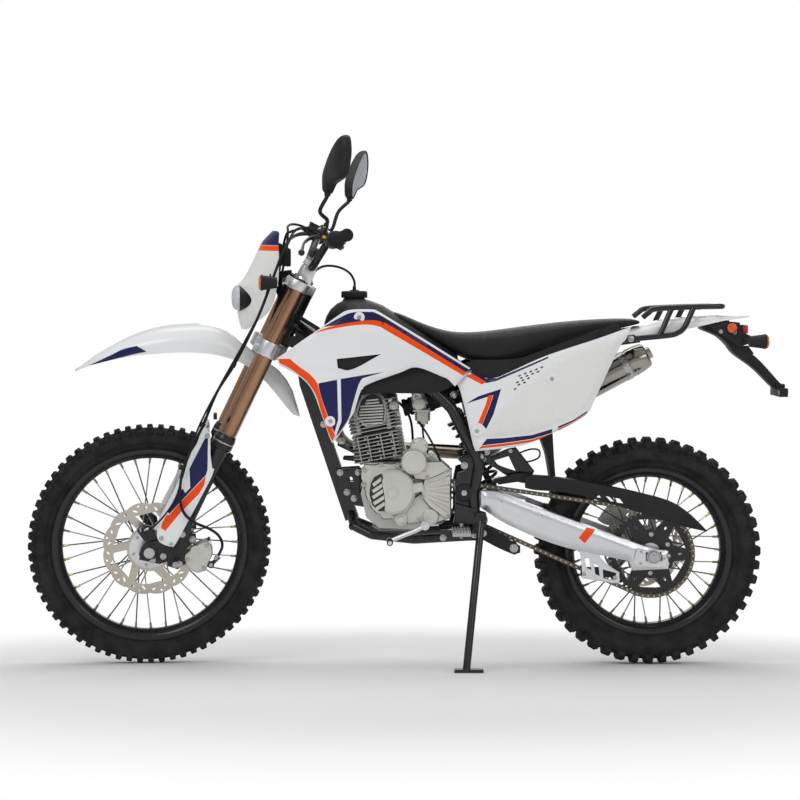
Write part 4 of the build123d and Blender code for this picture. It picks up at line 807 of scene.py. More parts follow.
def tank_cap():
    """The ribbed cap on its neck."""
    rim = []
    for k, angle in enumerate(turns(72)):
        lobe = 38 if (k // 4) % 2 else 35
        rim.append((lobe * cos(angle), lobe * sin(angle)))
    rows = [(0.94, 1054), (1, 1057), (1, 1070), (0.93, 1073.5), (0.6, 1074.5)]
    form = loft([[Vector((588 + a * s, b * s, z)) for a, b in rim] for s, z in rows])
    form.join(lathe((588, 0, 1044), (0, 0, 1), [(34, 0), (33, 6), (30, 9), (30, 12)], 36))
    form.join(lathe((588, 0, 1073), (0, 0, 1), [(14, 0), (13, 4), (6, 5), (5.6, 7), (4.2, 7.6), (4.2, 11)],
        24))
    return form


piece("tank_cap", "chassis", tank_cap(), [BLACK_PLASTIC], ["fuel_cap"], sharp=40)

# x, half width, top, underside
SEAT = [
    (692, 50, 1012, 1004), (700, 62, 1020, 996), (735, 72, 1006, 972), (792, 86, 980, 940),
    (850, 104, 962, 905),
    (894, 116, 957, 880), (950, 124, 959, 858), (1009, 128, 966, 852), (1090, 130, 977, 880),
    (1183, 126, 988, 918),
    (1270, 114, 995, 944), (1340, 100, 998, 962), (1390, 88, 998, 972), (1408, 76, 990, 978),
]


def seat_rings(shrink):
    rings = []
    for x, half, top, low in SEAT:
        ring = []
        for angle in turns(28):
            c, s = cos(angle), sin(angle)
            e = 2 / 3.4
            y = (half - shrink) * abs(c) ** e * (1 if c > 0 else -1)
            middle, rise = (top + low) / 2, (top - low) / 2 - shrink * 0.6
            z = middle + rise * abs(s) ** e * (1 if s > 0 else -1)
            if s < 0:
                y *= 1 - 0.06 * abs(s)
            ring.append(Vector((x, y, z)))
        rings.append(ring)
    return rings


seat = piece("seat_pad", "chassis", loft(seat_rings(5)), [SEAT_VINYL], ["seat"], level=1,
    sharp=60)

# x, half width, crown, skirt
TAIL = [
    (1150, 88, 902, 866), (1220, 100, 926, 890), (1290, 104, 951, 916), (1350, 98, 964, 930),
    (1410, 86, 976, 941),
    (1470, 79, 991, 952), (1560, 71, 1002, 970), (1640, 63, 1006, 988), (1700, 48, 1006, 996),
    (1724, 30, 1005, 1000),
]
tail = loft([arch(*row, 3.2) for row in TAIL], closed=False)
piece("tail_moulding", "chassis", tail, [WHITE], ["rear_fender"], wall=3, sharp=50)

# ---- Front fender and headlight mask ----
# x, half width, crown, skirt
FENDER = [
    (-209, 9, 853, 850), (-200, 22, 858, 854), (-161, 44, 885, 868), (-103, 60, 918, 884),
    (-46, 72, 946, 896),
    (27, 82, 968, 903), (113, 86, 977, 906), (180, 84, 974, 900), (230, 72, 956, 886), (262, 62, 930, 872),
    (300, 58, 896, 846), (340, 56, 872, 806), (380, 52, 836, 756), (408, 46, 790, 722), (428, 38, 722, 714),
]
TIP_PATCH = [(-168, 868), (-140, 881), (-104, 899), (-72, 915), (-34, 925), (-6, 909), (-40, 902), (-78, 892),
    (-126, 879)]


def fender():
    rows = []
    count, tip, tail = 34, FENDER[0][0], FENDER[-1][0]
    for k in range(count + 1):
        x = tip + (tail - tip) * k / count
        half = max(3, table(column(FENDER, 1), x))
        top = table(column(FENDER, 2), x)
        low = min(top - 1, table(column(FENDER, 3), x))
        ring = []
        for n in range(29):
            t = -1 + 2 * n / 28
            fold = abs(t)
            y = half * (1 if t > 0 else -1) * min(1.0, fold * 1.25) ** 0.92
            if fold < 0.55:
                crown = top - 7 * (fold * 1.25) ** 2
            else:
                share = (fold - 0.55) / 0.45
                bulge = 3 * sin(pi * share) * (1 if x < 240 else 0.3)
                crown = (top - 7 * 0.6875**2) * (1 - share) + low * share + bulge
            ridge = 3.5 * (1 - smooth_step(0.03, 0.13, abs(fold - 0.34)))
            ridge = ridge * smooth_step(tip, -120, x) * smooth_step(300, 200, x)
            ring.append(Vector((x, y, crown + ridge)))
        rows.append(ring)
    return loft(rows, closed=False)


def fender_side(x, z):
    """How far out the fender's side is at a height."""
    half = table(column(FENDER, 1), x)
    top = table(column(FENDER, 2), x) - 3.31
    low = min(top - 1, table(column(FENDER, 3), x))
    share = 0.5
    for _ in range(8):
        share = max(0.0, min(1.0, (top + 3 * sin(pi * share) - z) / (top - low)))
    return half * min(1.0, (0.55 + 0.45 * share) * 1.25) ** 0.92


def fender_decal(sign):
    return sheet(rounded(TIP_PATCH, 24, 4), lambda x, z: (x, sign * (fender_side(x, z) + 1.6), z), 7)


piece("fender_shell", "steering", fender(), [WHITE], ["front_fender"], wall=3, sharp=50)
piece("fender_decals", "steering", both_sides(fender_decal), [NAVY], wall=0.6, normals=False)

# height, half width, x at the middle, x at the edge
MASK = [
    (966, 34, 262, 278), (985, 52, 256, 300), (1015, 78, 250, 334), (1050, 98, 248, 350),
    (1090, 108, 250, 358),
    (1110, 112, 268, 362), (1150, 106, 290, 364), (1190, 94, 309, 364), (1216, 82, 322, 364),
    (1238, 66, 342, 366),
    (1247, 50, 352, 366),
]
LAMP_Z = 1055


def mask_x(y, z):
    half, front, back = (table(column(MASK, number), z) for number in (1, 2, 3))
    share = min(1.0, abs(y) / max(half, 1))
    fold = 0.28 * share + 0.72 * share**3
    return front + (back - front) * fold


def mask():
    left = [(-r[1], r[0]) for r in MASK]
    right = [(r[1], r[0]) for r in reversed(MASK)]
    outline = rounded(left + right, 30)
    lens = [(66 * cos(a), LAMP_Z + 38 * sin(a)) for a in turns(40)]
    navy = [(-130, 1208), (130, 1208), (130, 1260), (-130, 1260)]
    orange = [(-130, 1192), (130, 1192), (130, 1207), (-130, 1207)]
    return flip(sheet(outline, lambda y, z: (mask_x(y, z), y, z), 8, [(navy, 1), (orange, 2)], [lens]))


piece("mask_shell", "steering", mask(), [OFF_WHITE, NAVY, ORANGE], ["headlight_mask"],
    wall=3, normals=False, sharp=50)


def lamp():
    """A domed clear lens over two steel reflectors in a dark bowl."""
    def bowl(rows, finish):
        rings = []
        for share, x in rows:
            rings.append([Vector((x, 65 * share * cos(a), LAMP_Z + 37 * share * sin(a))) for a in turns(48)])
        return loft(rings, finish)

    form = bowl([(1.0, 262), (0.98, 252), (0.90, 244), (0.72, 238), (0.45, 235), (0.15, 234)], 0)
    form.join(bowl([(1.03, 256), (1.03, 270), (0.9, 288), (0.5, 298)], 1))
    for side in (-1, 1):
        form.join(lathe((246, side * 26, LAMP_Z), (1, 0, 0), [(5, 0), (6.5, 4), (20, 10), (24, 20)], 28, 2))
    form.join(box((300, -40, 1027), (321, 40, 1083), 1))
    return form


piece("lamp_unit", "steering", lamp(), [LENS, BLACK_PLASTIC, STEEL], ["headlight"], sharp=45)

# ---- Wheels ----
def around(radius, angle, axle):
    """The (x, z) place at a radius and an angle about an axle."""
    return (axle.x + radius * cos(angle), axle.z + radius * sin(angle))


def at_axle(axle, radius, angle, y):
    return Vector((axle.x + radius * cos(angle), y, axle.z + radius * sin(angle)))


def knob(form, axle, angle, y, base, tilt, along, across, height, taper=0.84):
    """A tread block that stands on the carcass, leaning outwards by tilt."""
    radial = Vector((cos(angle), 0, sin(angle)))
    run = Vector((-sin(angle), 0, cos(angle)))
    side = Vector((0, 1, 0))
    up = radial * cos(tilt) + side * sin(tilt)
    wide = side * cos(tilt) - radial * sin(tilt)
    foot = at_axle(axle, base, angle, y)
    points = []
    for level, share in ((-3.0, 1.12), (height * 0.55, 0.97), (height, taper)):
        for a, b in ((-1, -1), (1, -1), (1, 1), (-1, 1)):
            points.append(foot + up * level + run * a * along / 2 * share + wide * b * across / 2 * share)
    faces = [(8, 9, 10, 11)]
    for low in (0, 4):
        faces += [(low + k, low + (k + 1) % 4, low + 4 + (k + 1) % 4, low + 4 + k) for k in range(4)]
    form.add(points, faces)


def tyre(axle, outer, width, bead, rim_half, count, height, block):
    """A carcass with its sidewall ribs and rows of tread blocks."""
    half = width / 2
    crown = outer - height
    wall = (bead + 12 + outer) / 2
    side = [
        (bead + 1, rim_half - 8), (bead + 10, rim_half - 5), (bead + 15, rim_half - 3.5),
        (bead + 17, rim_half - 1),
        (bead + 20, rim_half + 1.5), (bead + 23, rim_half + 1.8), ((bead + wall) / 2 + 8, half * 0.84),
        ((bead + wall) / 2 + 10, half * 0.88), ((bead + wall) / 2 + 15, half * 0.90), (wall, half * 0.93),
        (wall + 10, half * 0.90), (crown - 12, half * 0.80), (crown - 5, half * 0.56),
        (crown - 1, half * 0.26),
    ]
    profile = side + [(crown, 0)] + [(r, -y) for r, y in reversed(side)]
    form = lathe(axle, (0, 1, 0), profile, 144, closed=True)
    along, across = block
    for number, angle in enumerate(turns(count)):
        if number % 2:
            knob(form, axle, angle, 0, crown - 0.5, 0, along, across * 0.95, height + 0.3)
            for sign in (-1, 1):
                knob(form, axle, angle, sign * half * 0.55, crown - 5, sign * 0.36, along * 0.95,
                    across * 0.7, height)
        else:
            for sign in (-1, 1):
                knob(form, axle, angle, sign * half * 0.27, crown - 1.5, sign * 0.14, along, across * 0.72,
                    height + 0.6)
        for sign in (-1, 1):
            size = (along * 1.05, across * 0.8) if number % 2 == 0 else (along * 0.9, across * 0.55)
            knob(form, axle, angle, sign * half * 0.80, crown - 11, sign * 0.86, size[0], size[1],
                height * 0.92, 0.86)
            knob(form, axle, angle, sign * half * 0.915, wall + 13, sign * 1.45, along * 0.55, 11, 2.2, 0.8)
    return form


def rim_form(axle, bead, half):
    """A box-section rim with hooked flanges and a polished waist."""
    side = [
        (bead + 9, half - 3.4), (bead + 10, half - 2.2), (bead + 9.6, half), (bead + 3, half + 0.2),
        (bead - 1, half - 1),
        (bead - 5, half - 2.5), (bead - 10, half - 9), (bead - 16, half * 0.42), (bead - 18, half * 0.3),
    ]
    lower = [(r, -y) for r, y in reversed(side)]
    inner = [(bead, -(half - 5)), (bead - 1, 0), (bead, half - 5)]
    return lathe(axle, (0, 1, 0), side + lower + inner, 120, closed=True)


def spokes(axle, rim_inner, flange, flange_y):
    """Crossed wire spokes with their brass nipples."""
    form = Form()
    for number, angle in enumerate(turns(SPOKES)):
        side = 1 if number % 2 else -1
        lead = radians(62 if number % 4 < 2 else -62)
        foot = at_axle(axle, flange - 4, angle + lead, side * (flange_y + 1.5))
        head = at_axle(axle, rim_inner + 0.5, angle, side * 5)
        form.join(rod(foot, head, 1.95, 8, 0 if side > 0 else 2))
        run = (head - foot).normalized()
        form.join(rod(foot, foot + run * 9, 2.6, 8, 0, end_radius=2.1))
        form.join(rod(head - run * 17, head - run * 3, 3.6, 6, 1))
        form.join(rod(head - run * 4, head + run * 1, 4.6, 8, 1, end_radius=3.8))
    return form


def hub_form(axle, profile, flange, flange_y, thick, holes):
    """A turned barrel with two scalloped flanges."""
    form = lathe(axle, (0, 1, 0), profile, 48)
    for side in (-1, 1):
        ring = [around(flange + 1.6 * cos(holes * angle), angle, axle) for angle in turns(holes * 6)]
        y = side * flange_y
        form.join(prism(ring, y - thick / 2, y + thick / 2))
    return form


def oval(axle, radius, angle, length, width, turn):
    """A small slot's outline at a place on a disc."""
    x, z = around(radius, angle, axle)
    c, s = cos(angle + turn), sin(angle + turn)
    halves = [(length / 2 * cos(a), width / 2 * sin(a)) for a in turns(10)]
    return [(x + p * c - q * s, z + p * s + q * c) for p, q in halves]


def wave_disc(axle, outer, y_low, y_high, band, waves, arms, carrier):
    """A petal disc: a slotted band on swept arms round a carrier."""
    rim_line = []
    for angle in turns(waves * 14):
        lobe = abs(sin(waves * angle / 2)) ** 0.7
        rim_line.append(around(outer - 5.5 * (1 - lobe), angle, axle))
    holes = []
    sweep = 2 * pi / arms
    for start in turns(arms):
        loop = []
        for k in range(13):
            share = 0.10 + 0.80 * k / 12
            loop.append(around(outer - band + 3 * sin(pi * (k / 12) * 2), start + sweep * share, axle))
        for k in range(9):
            share = 0.80 - 0.60 * k / 8
            loop.append(around(carrier + 7, start - 0.16 + sweep * share, axle))
        holes.append(loop)
    for angle in turns(waves, 0.5):
        holes.append(oval(axle, outer - 8.5, angle, 6.5, 6.5, 0))
        holes.append(oval(axle, outer - band * 0.62, angle + 0.10, 16, 5.5, 0.9))
        holes.append(oval(axle, outer - band * 0.50, angle - 0.17, 11, 5.5, 2.2))
    inner = [around(carrier - 16, angle, axle) for angle in turns(40)]
    return plate(rim_line, y_low, y_high, 30, holes + [inner])


def ring_bolts(axle, radius, y, out, count, size, phase, finish=0):
    form = Form()
    for angle in turns(count):
        x, z = around(radius, angle + phase, axle)
        form.join(bolt((x, y, z), (0, out, 0), size, size * 0.7, False, finish, socket=True))
    return form


SPOKES = 36
# axle, radius over the blocks, width, rim's radius at the bead and half width
WHEELS = {"front": (FRONT_AXLE, 346.2, 82, 267, 25), "rear": (REAR_AXLE, 326.2, 106, 229, 32)}
# blocks round the tyre, their height, their length and width
BLOCKS = {"front": (68, 9.5, (16.5, 20)), "rear": (48, 13.0, (22, 27))}
# the rim's inner radius, the hub flange's radius and its place
LACING = {"front": (249, 34, 28), "rear": (211, 42, 32)}
for end, wheel in WHEELS.items():
    tread = tyre(*wheel, *BLOCKS[end])
    piece(end + "_tyre_tread", end + "_wheel", tread, [RUBBER], [end + "_tyre"], sharp=32)
for end, (axle, _, _, bead, half) in WHEELS.items():
    band = rim_form(axle, bead, half)
    piece(end + "_rim_band", end + "_wheel", band, [BLACK_ALLOY], [end + "_rim"], sharp=40)
for end, lacing in LACING.items():
    wires = spokes(WHEELS[end][0], *lacing)
    piece(end + "_spokes", end + "_wheel", wires, [STEEL, BRASS, DARK_STEEL], sharp=40)

FRONT_HUB = [
    (10.4, -52), (17, -52), (18, -48), (22, -47), (22, -40), (27, -36), (27, -32), (21, -24), (20, 0), (21, 24),
    (27, 32), (26, 40), (20, 46), (17, 52), (10.4, 52),
]
REAR_HUB = [
    (10.4, -60), (20, -60), (22, -52), (30, -50), (30, -42), (32, -36), (26, -26), (25, 0), (26, 26), (32, 36),
    (30, 46), (22, 54), (18, 60), (10.4, 60),
]
hub = hub_form(FRONT_AXLE, FRONT_HUB, 36, 28, 5.5, 18)
piece("front_hub_barrel", "front_wheel", hub, [BLACK_ALLOY], ["front_hub"], sharp=35, bevel=0.5)
hub = hub_form(REAR_AXLE, REAR_HUB, 44, 32, 6.5, 18)
piece("rear_hub_barrel", "rear_wheel", hub, [ALLOY], ["rear_hub"], sharp=35, bevel=0.5)

disc = wave_disc(FRONT_AXLE, 133, -68, -64, 31, 12, 6, 58)
disc.join(lathe(FRONT_AXLE, (0, 1, 0),
    [(30, -69.5), (56, -69.5), (58, -68.5), (58, -63.5), (30, -62), (24, -58), (24, -50), (30, -50)], 48, 1))
disc.join(ring_bolts(FRONT_AXLE, 48, -69.5, -1, 6, 4.5, 0.3, 0))
piece("front_brake_disc", "front_wheel", disc, [DISC_STEEL, ALLOY], ["front_disc"], sharp=35)
disc = wave_disc(REAR_AXLE, 118, 68, 72, 30, 10, 5, 54)
disc.join(lathe(REAR_AXLE, (0, 1, 0), [(30, 73.5), (50, 73.5), (52, 72.5), (52, 67.5), (30, 66), (25, 60)],
    48, 1))
disc.join(ring_bolts(REAR_AXLE, 43, 73.5, 1, 5, 4.5, 0.3, 0))
piece("rear_brake_disc", "rear_wheel", disc, [DISC_STEEL, ALLOY], ["rear_disc"], sharp=35)

# ---- Sprockets and chain ----
CHAIN_Y = -68
CHAIN_PITCH = 15.875
SMALL_CENTRE = Vector((838, 0, 500))


def toothed(centre, pitch_radius, teeth, holes=()):
    """A sprocket's plate."""
    line = []
    for number, angle in enumerate(turns(teeth * 6)):
        lift = (3.4, 2.2, -3.2, -5.0, -3.2, 2.2)[number % 6]
        line.append(around(pitch_radius + lift, angle, centre))
    return plate(line, CHAIN_Y - 3, CHAIN_Y + 3, 60, holes)


def rear_sprocket():
    holes = []
    for start in turns(6):
        loop = [around(101 - 4 * sin(pi * k / 10), start + (0.14 + 0.072 * k), REAR_AXLE) for k in range(11)]
        loop += [around(68 + 3 * sin(pi * k / 4), start + 0.70 - 0.085 * k, REAR_AXLE) for k in range(5)]
        holes += [loop, oval(REAR_AXLE, 84, start - 0.02, 12, 7, 0)]
    holes.append([around(30, angle, REAR_AXLE) for angle in turns(32)])
    form = toothed(REAR_AXLE, 118, 50, holes)
    form.join(ring_bolts(REAR_AXLE, 55, -71, -1, 6, 7, 0.5, 1))
    form.join(lathe(REAR_AXLE, (0, 1, 0),
        [(30, -70), (46, -70), (48, -67), (48, -60), (44, -48), (44, -36), (30, -36)], 40, 2))
    return form


piece("rear_sprocket_ring", "rear_wheel", rear_sprocket(), [BLACK_ALLOY, STEEL, ALLOY],
    ["rear_sprocket"], sharp=35)
drive = toothed(SMALL_CENTRE, 33, 13)
drive.join(rod((838, -79, 500), (838, -56, 500), 12, 20))
piece("drive_sprocket", "chassis", drive, [DARK_STEEL], ["front_sprocket"], sharp=35)


def chain_line():
    """The chain's loop round both sprockets, as (x, z) points."""
    small, large = 36.0, 121.0
    run = REAR_AXLE - SMALL_CENTRE
    slope = atan2(run.z, run.x)
    flare = asin((large - small) / hypot(run.x, run.z))
    upper, lower = slope + pi / 2 + flare, slope - pi / 2 - flare
    bend = pi / 2 - flare
    front = [around(small, slope + pi + bend * (1 - k / 12), SMALL_CENTRE) for k in range(24, -1, -1)]
    return front + [around(large, lower + (upper - lower) * k / 60, REAR_AXLE) for k in range(61)]


def chain():
    line = [Vector((x, CHAIN_Y, z)) for x, z in chain_line()]
    line.append(line[0])
    lengths = [0.0]
    for a, b in zip(line, line[1:]):
        lengths.append(lengths[-1] + (b - a).length)
    count = 2 * round(lengths[-1] / CHAIN_PITCH / 2)
    stops, index = [], 0
    for number in range(count):
        goal = lengths[-1] * number / count
        while lengths[index + 1] < goal:
            index += 1
        share = (goal - lengths[index]) / (lengths[index + 1] - lengths[index])
        stops.append(line[index].lerp(line[index + 1], share))
    form = Form()
    for number, here in enumerate(stops):
        there = stops[(number + 1) % count]
        run = there - here
        length = run.length
        run.normalize()
        up = Vector((-run.z, 0, run.x))
        outer = number % 2
        outline = []
        for end, sign in ((0.0, -1), (length, 1)):
            for k in range(5):
                angle = radians(-80 + 40 * k)
                outline.append((end + sign * 5.6 * cos(angle), sign * 5.6 * sin(angle)))
        for side in (-1, 1):
            rings = []
            for y in sorted(side * y for y in ((4.6, 6.4) if outer else (3.0, 4.5))):
                ring = []
                for a, b in outline:
                    waist = 0.72 if 3 < a < length - 3 else 1.0
                    ring.append(here + run * a + up * b * waist + Vector((0, y, 0)))
                rings.append(ring)
            form.join(walled(*rings))
        form.join(rod(here - Vector((0, 6.9, 0)), here + Vector((0, 6.9, 0)), 2.6, 8, 1))
        form.join(rod(here - Vector((0, 3, 0)), here + Vector((0, 3, 0)), 4.6, 10, 0))
    return form


piece("roller_chain", "chassis", chain(), [CHAIN_METAL, STEEL], ["chain"], sharp=35)

# ---- Engine: each cover starts at the case's half width and lies on the machine's left at -Y ----
COVER_Y = 104.5


def turned_at(x, z, profile, sides=40, finish=0, side=-1):
    """A round cover about a cross axis: (radius, distance out from the middle plane) rows."""
    return lathe((x, 0, z), (0, side, 0), profile, sides, finish)


def screws(places, y, radius, finish=0, out=-1, socket=True):
    form = Form()
    for x, z in places:
        form.join(bolt((x, y, z), (0, out, 0), radius, 3.4, True, finish, socket))
    return form


def bosses(places, low, high, radius=7.0):
    form = Form()
    for x, z in places:
        form.join(rod((x, low, z), (x, high, z), radius, 18))
    return form


CASE_FRONT = [
    (625, 587), (770, 587), (790, 580), (790, 404), (758, 399), (662, 403), (625, 432), (609, 500),
]
CASE_REAR = [
    (625, 587), (770, 587), (812, 605), (867, 558), (865, 432), (838, 407), (758, 399), (662, 403),
    (625, 432), (609, 500),
]
CASE_SEAM = [
    (622, 590), (770, 590), (812, 608), (870, 560), (868, 430), (840, 404), (760, 396), (660, 400),
    (622, 430), (606, 500),
]
SEAM_BOSSES = [(628, 582), (700, 586), (764, 586), (812, 600), (862, 552), (862, 440), (800, 402), (720, 402),
    (652, 412), (616, 470), (613, 536)]
case = prism(CASE_FRONT, -101, 0).join(prism(CASE_REAR, -51, 101)).join(prism(CASE_SEAM, -4.5, 4.5))
case.join(prism([(640, 402), (780, 399), (770, 388), (660, 390)], -60, 60))
for y in (-70, -50, -30, 30, 50, 70):
    case.join(prism([(620, 436), (662, 399), (756, 395), (790, 401), (790, 410), (630, 440)], y - 2, y + 2))
piece("crankcase_halves", "chassis", case, [CAST], ["crankcase"], bevel=2.0, sharp=30)
studs = bosses(SEAM_BOSSES, -14, 14, 6.5).join(screws(SEAM_BOSSES, 14, 4.5, 1, 1, False))
studs.join(bosses([(800, 592), (848, 560)], -58, 58, 9))
piece("crankcase_bosses", "chassis", studs, [CAST, STEEL], bevel=0.6)


def middle_of(outline):
    return sum(p[0] for p in outline) / len(outline), sum(p[1] for p in outline) / len(outline)


def swollen(outline, margin):
    """The outline pushed outwards from its middle by about the margin."""
    x, z = middle_of(outline)
    out = []
    for a, b in outline:
        far = hypot(a - x, b - z)
        out.append((x + (a - x) * (far + margin) / far, z + (b - z) * (far + margin) / far))
    return out


LEFT_FLANGE = [
    (612, 568), (622, 583), (648, 581), (667, 586), (693, 584), (714, 586), (725, 568), (740, 555),
    (759, 543),
    (762, 488), (753, 468), (741, 452), (735, 443), (708, 432), (674, 431), (656, 446), (645, 456),
    (632, 475),
    (625, 497), (621, 523), (611, 546),
]
SPROCKET_COVER = [
    (790, 542), (809, 546), (866, 572), (862, 551), (860, 501), (862, 446), (853, 431), (832, 446),
    (803, 468),
    (787, 488), (781, 505), (784, 522),
]
UPPER_COVER = [(766, 590), (838, 592), (860, 572), (809, 546), (790, 542), (762, 545), (752, 570)]
LOWER_COVER = [
    (762, 488), (753, 468), (735, 443), (742, 418), (777, 422), (800, 420), (832, 424), (853, 431),
    (832, 446),
    (803, 468), (787, 488), (778, 501),
]
covers = prism(LEFT_FLANGE, -112, -COVER_Y).join(prism(UPPER_COVER, -120, -COVER_Y)).join(prism(LOWER_COVER,
    -113, -COVER_Y))
covers.join(prism([(622, 560), (640, 575), (700, 579), (738, 560), (752, 530), (752, 480), (728, 448),
    (680, 438), (650, 452), (630, 490)], -118, -COVER_Y))
covers.join(prism([(747, 531), (783, 536), (787, 512), (748, 504)], -137, -106))
covers.join(prism(SPROCKET_COVER, -122, -COVER_Y))
covers.join(turned_at(807, 438, [(0, 118), (20, 118), (24, 114), (26, 104)]))
covers.join(turned_at(774, 634, [(0, 121), (18, 121), (19.5, 119), (22, 119), (25, 116), (26, 94), (0, 94)]))
# Dark rims a little wider than each cover: painted shade in the seams round the covers.
for outline, depth in ((SPROCKET_COVER, 120.5), (UPPER_COVER, 117), (LOWER_COVER, 111), (LEFT_FLANGE, 109)):
    covers.join(prism(swollen(outline, 2.2), -depth, -104.2, 1))
piece("left_case_covers", "chassis", covers, [COVER, PAINTED_SHADE], ["engine_covers"], bevel=2.6,
    segments=3, sharp=28)

MAGNETO = (699, 509)
dome = turned_at(*MAGNETO, [(0, 141), (50, 141), (57, 139.5), (62, 135), (64.5, 128), (66, 112), (66, 106)],
    72)
plateau = [(MAGNETO[0] + 55 * cos(radians(a)), MAGNETO[1] + 55 * sin(radians(a)))
    for a in range(115, -125, -8)]
plateau += [(677, 459), (679, 481), (675, 509), (670, 539)]
dome.join(prism([p for p in plateau if hypot(p[0] - MAGNETO[0], p[1] - MAGNETO[1]) < 58], -144, -140))
# A dark sheet behind the slats: painted shade in the gaps between them.
SLAT_RECESS = [(648, 552), (668, 562), (678, 536), (681, 505), (683, 478), (680, 456), (660, 456), (642, 474),
    (634, 504), (638, 534)]
dome.join(prism(SLAT_RECESS, -141.6, -139, 1))
SLATS = [(642, 533, 667, 552), (641, 515, 670, 535), (641, 498, 672, 519), (644, 481, 675, 501),
    (651, 466, 677, 484)]
for x0, z0, x1, z1 in SLATS:
    dome.join(prism([(x0, z0), (x1, z1), (x1 + 1, z1 - 11), (x0 + 5, z0 - 8)], -144.2, -138))
dome.join(turned_at(*MAGNETO, [(0, 145.4), (12.5, 145.4), (13, 144.6), (14.2, 144.6), (14.8, 146.4),
    (18, 146.4), (19, 145.4), (19, 142)], 40))
dome.join(turned_at(759, 593, [(0, 141.5), (26, 141.5), (27, 140.4), (28.6, 140.4), (29.6, 141.6),
    (33, 140.4), (35.4, 136), (36, 128), (36, 104)], 56))
dome.join(turned_at(723, 430, [(0, 121), (15, 121), (18.5, 118), (19, 104)], 36))
for x0, z0, x1, z1 in ((795, 530, 862, 562), (800, 521, 858, 534), (802, 511, 858, 510), (800, 500, 859, 484),
        (797, 490, 856, 458)):
    run = Vector((x1 - x0, z1 - z0)).normalized()
    side = Vector((-run.y, run.x))
    points = []
    for end, wide, lift in ((Vector((x0, z0)), 1.4, 124), (Vector((x1, z1)), 5.5, 131)):
        for offset, depth in ((-wide * 1.9, 121), (-wide * 0.35, lift), (wide * 0.35, lift),
            (wide * 1.9, 121)):
            p = end + side * offset
            points.append((p.x, -depth, p.y))
    dome.add(points, [(0, 1, 5, 4), (1, 2, 6, 5), (2, 3, 7, 6), (4, 5, 6, 7), (0, 3, 2, 1)])
piece("left_cover_domes", "chassis", dome, [COVER, PAINTED_SHADE], bevel=0.9, sharp=28)

LEFT_SCREWS = [(618, 570), (667, 583), (712, 581), (617, 528), (630, 476), (660, 439), (706, 434), (754, 470)]
SPROCKET_SCREWS = [(797, 548), (857, 566), (856, 440), (783, 494), (770, 583), (772, 428)]
trim = bosses(LEFT_SCREWS, -116, -COVER_Y).join(screws(LEFT_SCREWS, -116, 4.2, 1))
trim.join(bosses(SPROCKET_SCREWS, -124, -COVER_Y, 6)).join(screws(SPROCKET_SCREWS, -124, 4.0, 1))
trim.join(screws([(789, 568), (733, 617), (792, 613), (729, 572)], -118, 4.0, 1))
trim.join(bolt((723, -121, 430), (0, -1, 0), 11, 7, False, 0, False))
trim.join(bolt((796, -122, 641), (0, -1, 0), 3.5, 3, False, 1, True))
trim.join(bolt((756, -122, 650), (0, -1, 0), 3.5, 3, False, 1, True))
piece("left_cover_screws", "chassis", trim, [COVER, STEEL], bevel=0.35)

RIGHT_FLANGE = [
    (616, 572), (640, 584), (700, 588), (770, 590), (806, 582), (828, 550), (834, 500), (824, 452),
    (790, 420),
    (740, 408), (690, 410), (650, 430), (622, 460), (610, 510),
]
CLUTCH = (745, 505)
right = prism(RIGHT_FLANGE, 104.5, 113).join(turned_at(*CLUTCH,
    [(78, 105), (78, 128), (75, 136), (66, 140), (62, 141.5)], 64, side=1))
right.join(turned_at(*CLUTCH, [(64, 138), (63, 144), (58, 146.5), (20, 147), (18, 145.6), (0, 145.4)], 64,
    side=1))
right.join(turned_at(652, 548, [(40, 105), (40, 122), (37, 126), (28, 129), (27, 127.6), (12, 128), (0, 130)],
    44, side=1))
right.join(turned_at(806, 440, [(18, 105), (17, 122), (12, 124), (0, 124)], 30, side=1))
piece("right_case_covers", "chassis", right, [COVER], bevel=1.6, sharp=28)
RIGHT_SCREWS = [(622, 575), (700, 583), (768, 584), (822, 552), (828, 500), (816, 452), (744, 414),
    (655, 434), (618, 510)]
right = bosses(RIGHT_SCREWS, 104, 118).join(screws(RIGHT_SCREWS, 118, 4.2, 1, 1))
for number in range(6):
    x, z = around(69, radians(30 + 60 * number), Vector((CLUTCH[0], 0, CLUTCH[1])))
    right.join(rod((x, 128, z), (x, 141.5, z), 6, 16)).join(screws([(x, z)], 141.5, 4, 1, 1))
for number in range(3):
    x, z = around(33.5, radians(90 + 120 * number), Vector((652, 0, 548)))
    right.join(rod((x, 115, z), (x, 127, z), 5.5, 16)).join(screws([(x, z)], 127, 3.6, 1, 1))
piece("right_cover_screws", "chassis", right, [COVER, STEEL], bevel=0.35)

TILT = Matrix.Translation((670, 0, 590)) @ Matrix.Rotation(radians(-11), 4,
    "Y") @ Matrix.Translation((-670, 0, -590))


def fin(x0, x1, half, z):
    """One cooling fin with cut corners, scalloped where the studs pass."""
    middle = (x0 + x1) / 2
    corner = 16
    outline = [
        (x0, -half + corner), (x0 + corner, -half), (middle - 22, -half), (middle - 19, -half + 2.4),
        (middle - 16, -half), (middle + 14, -half), (middle + 17, -half + 2.4), (middle + 20, -half),
        (x1 - corner, -half), (x1, -half + corner), (x1, half - corner), (x1 - corner, half),
        (x0 + corner, half),
        (x0, half - corner),
    ]
    return slab(outline, z, z + 2.6)


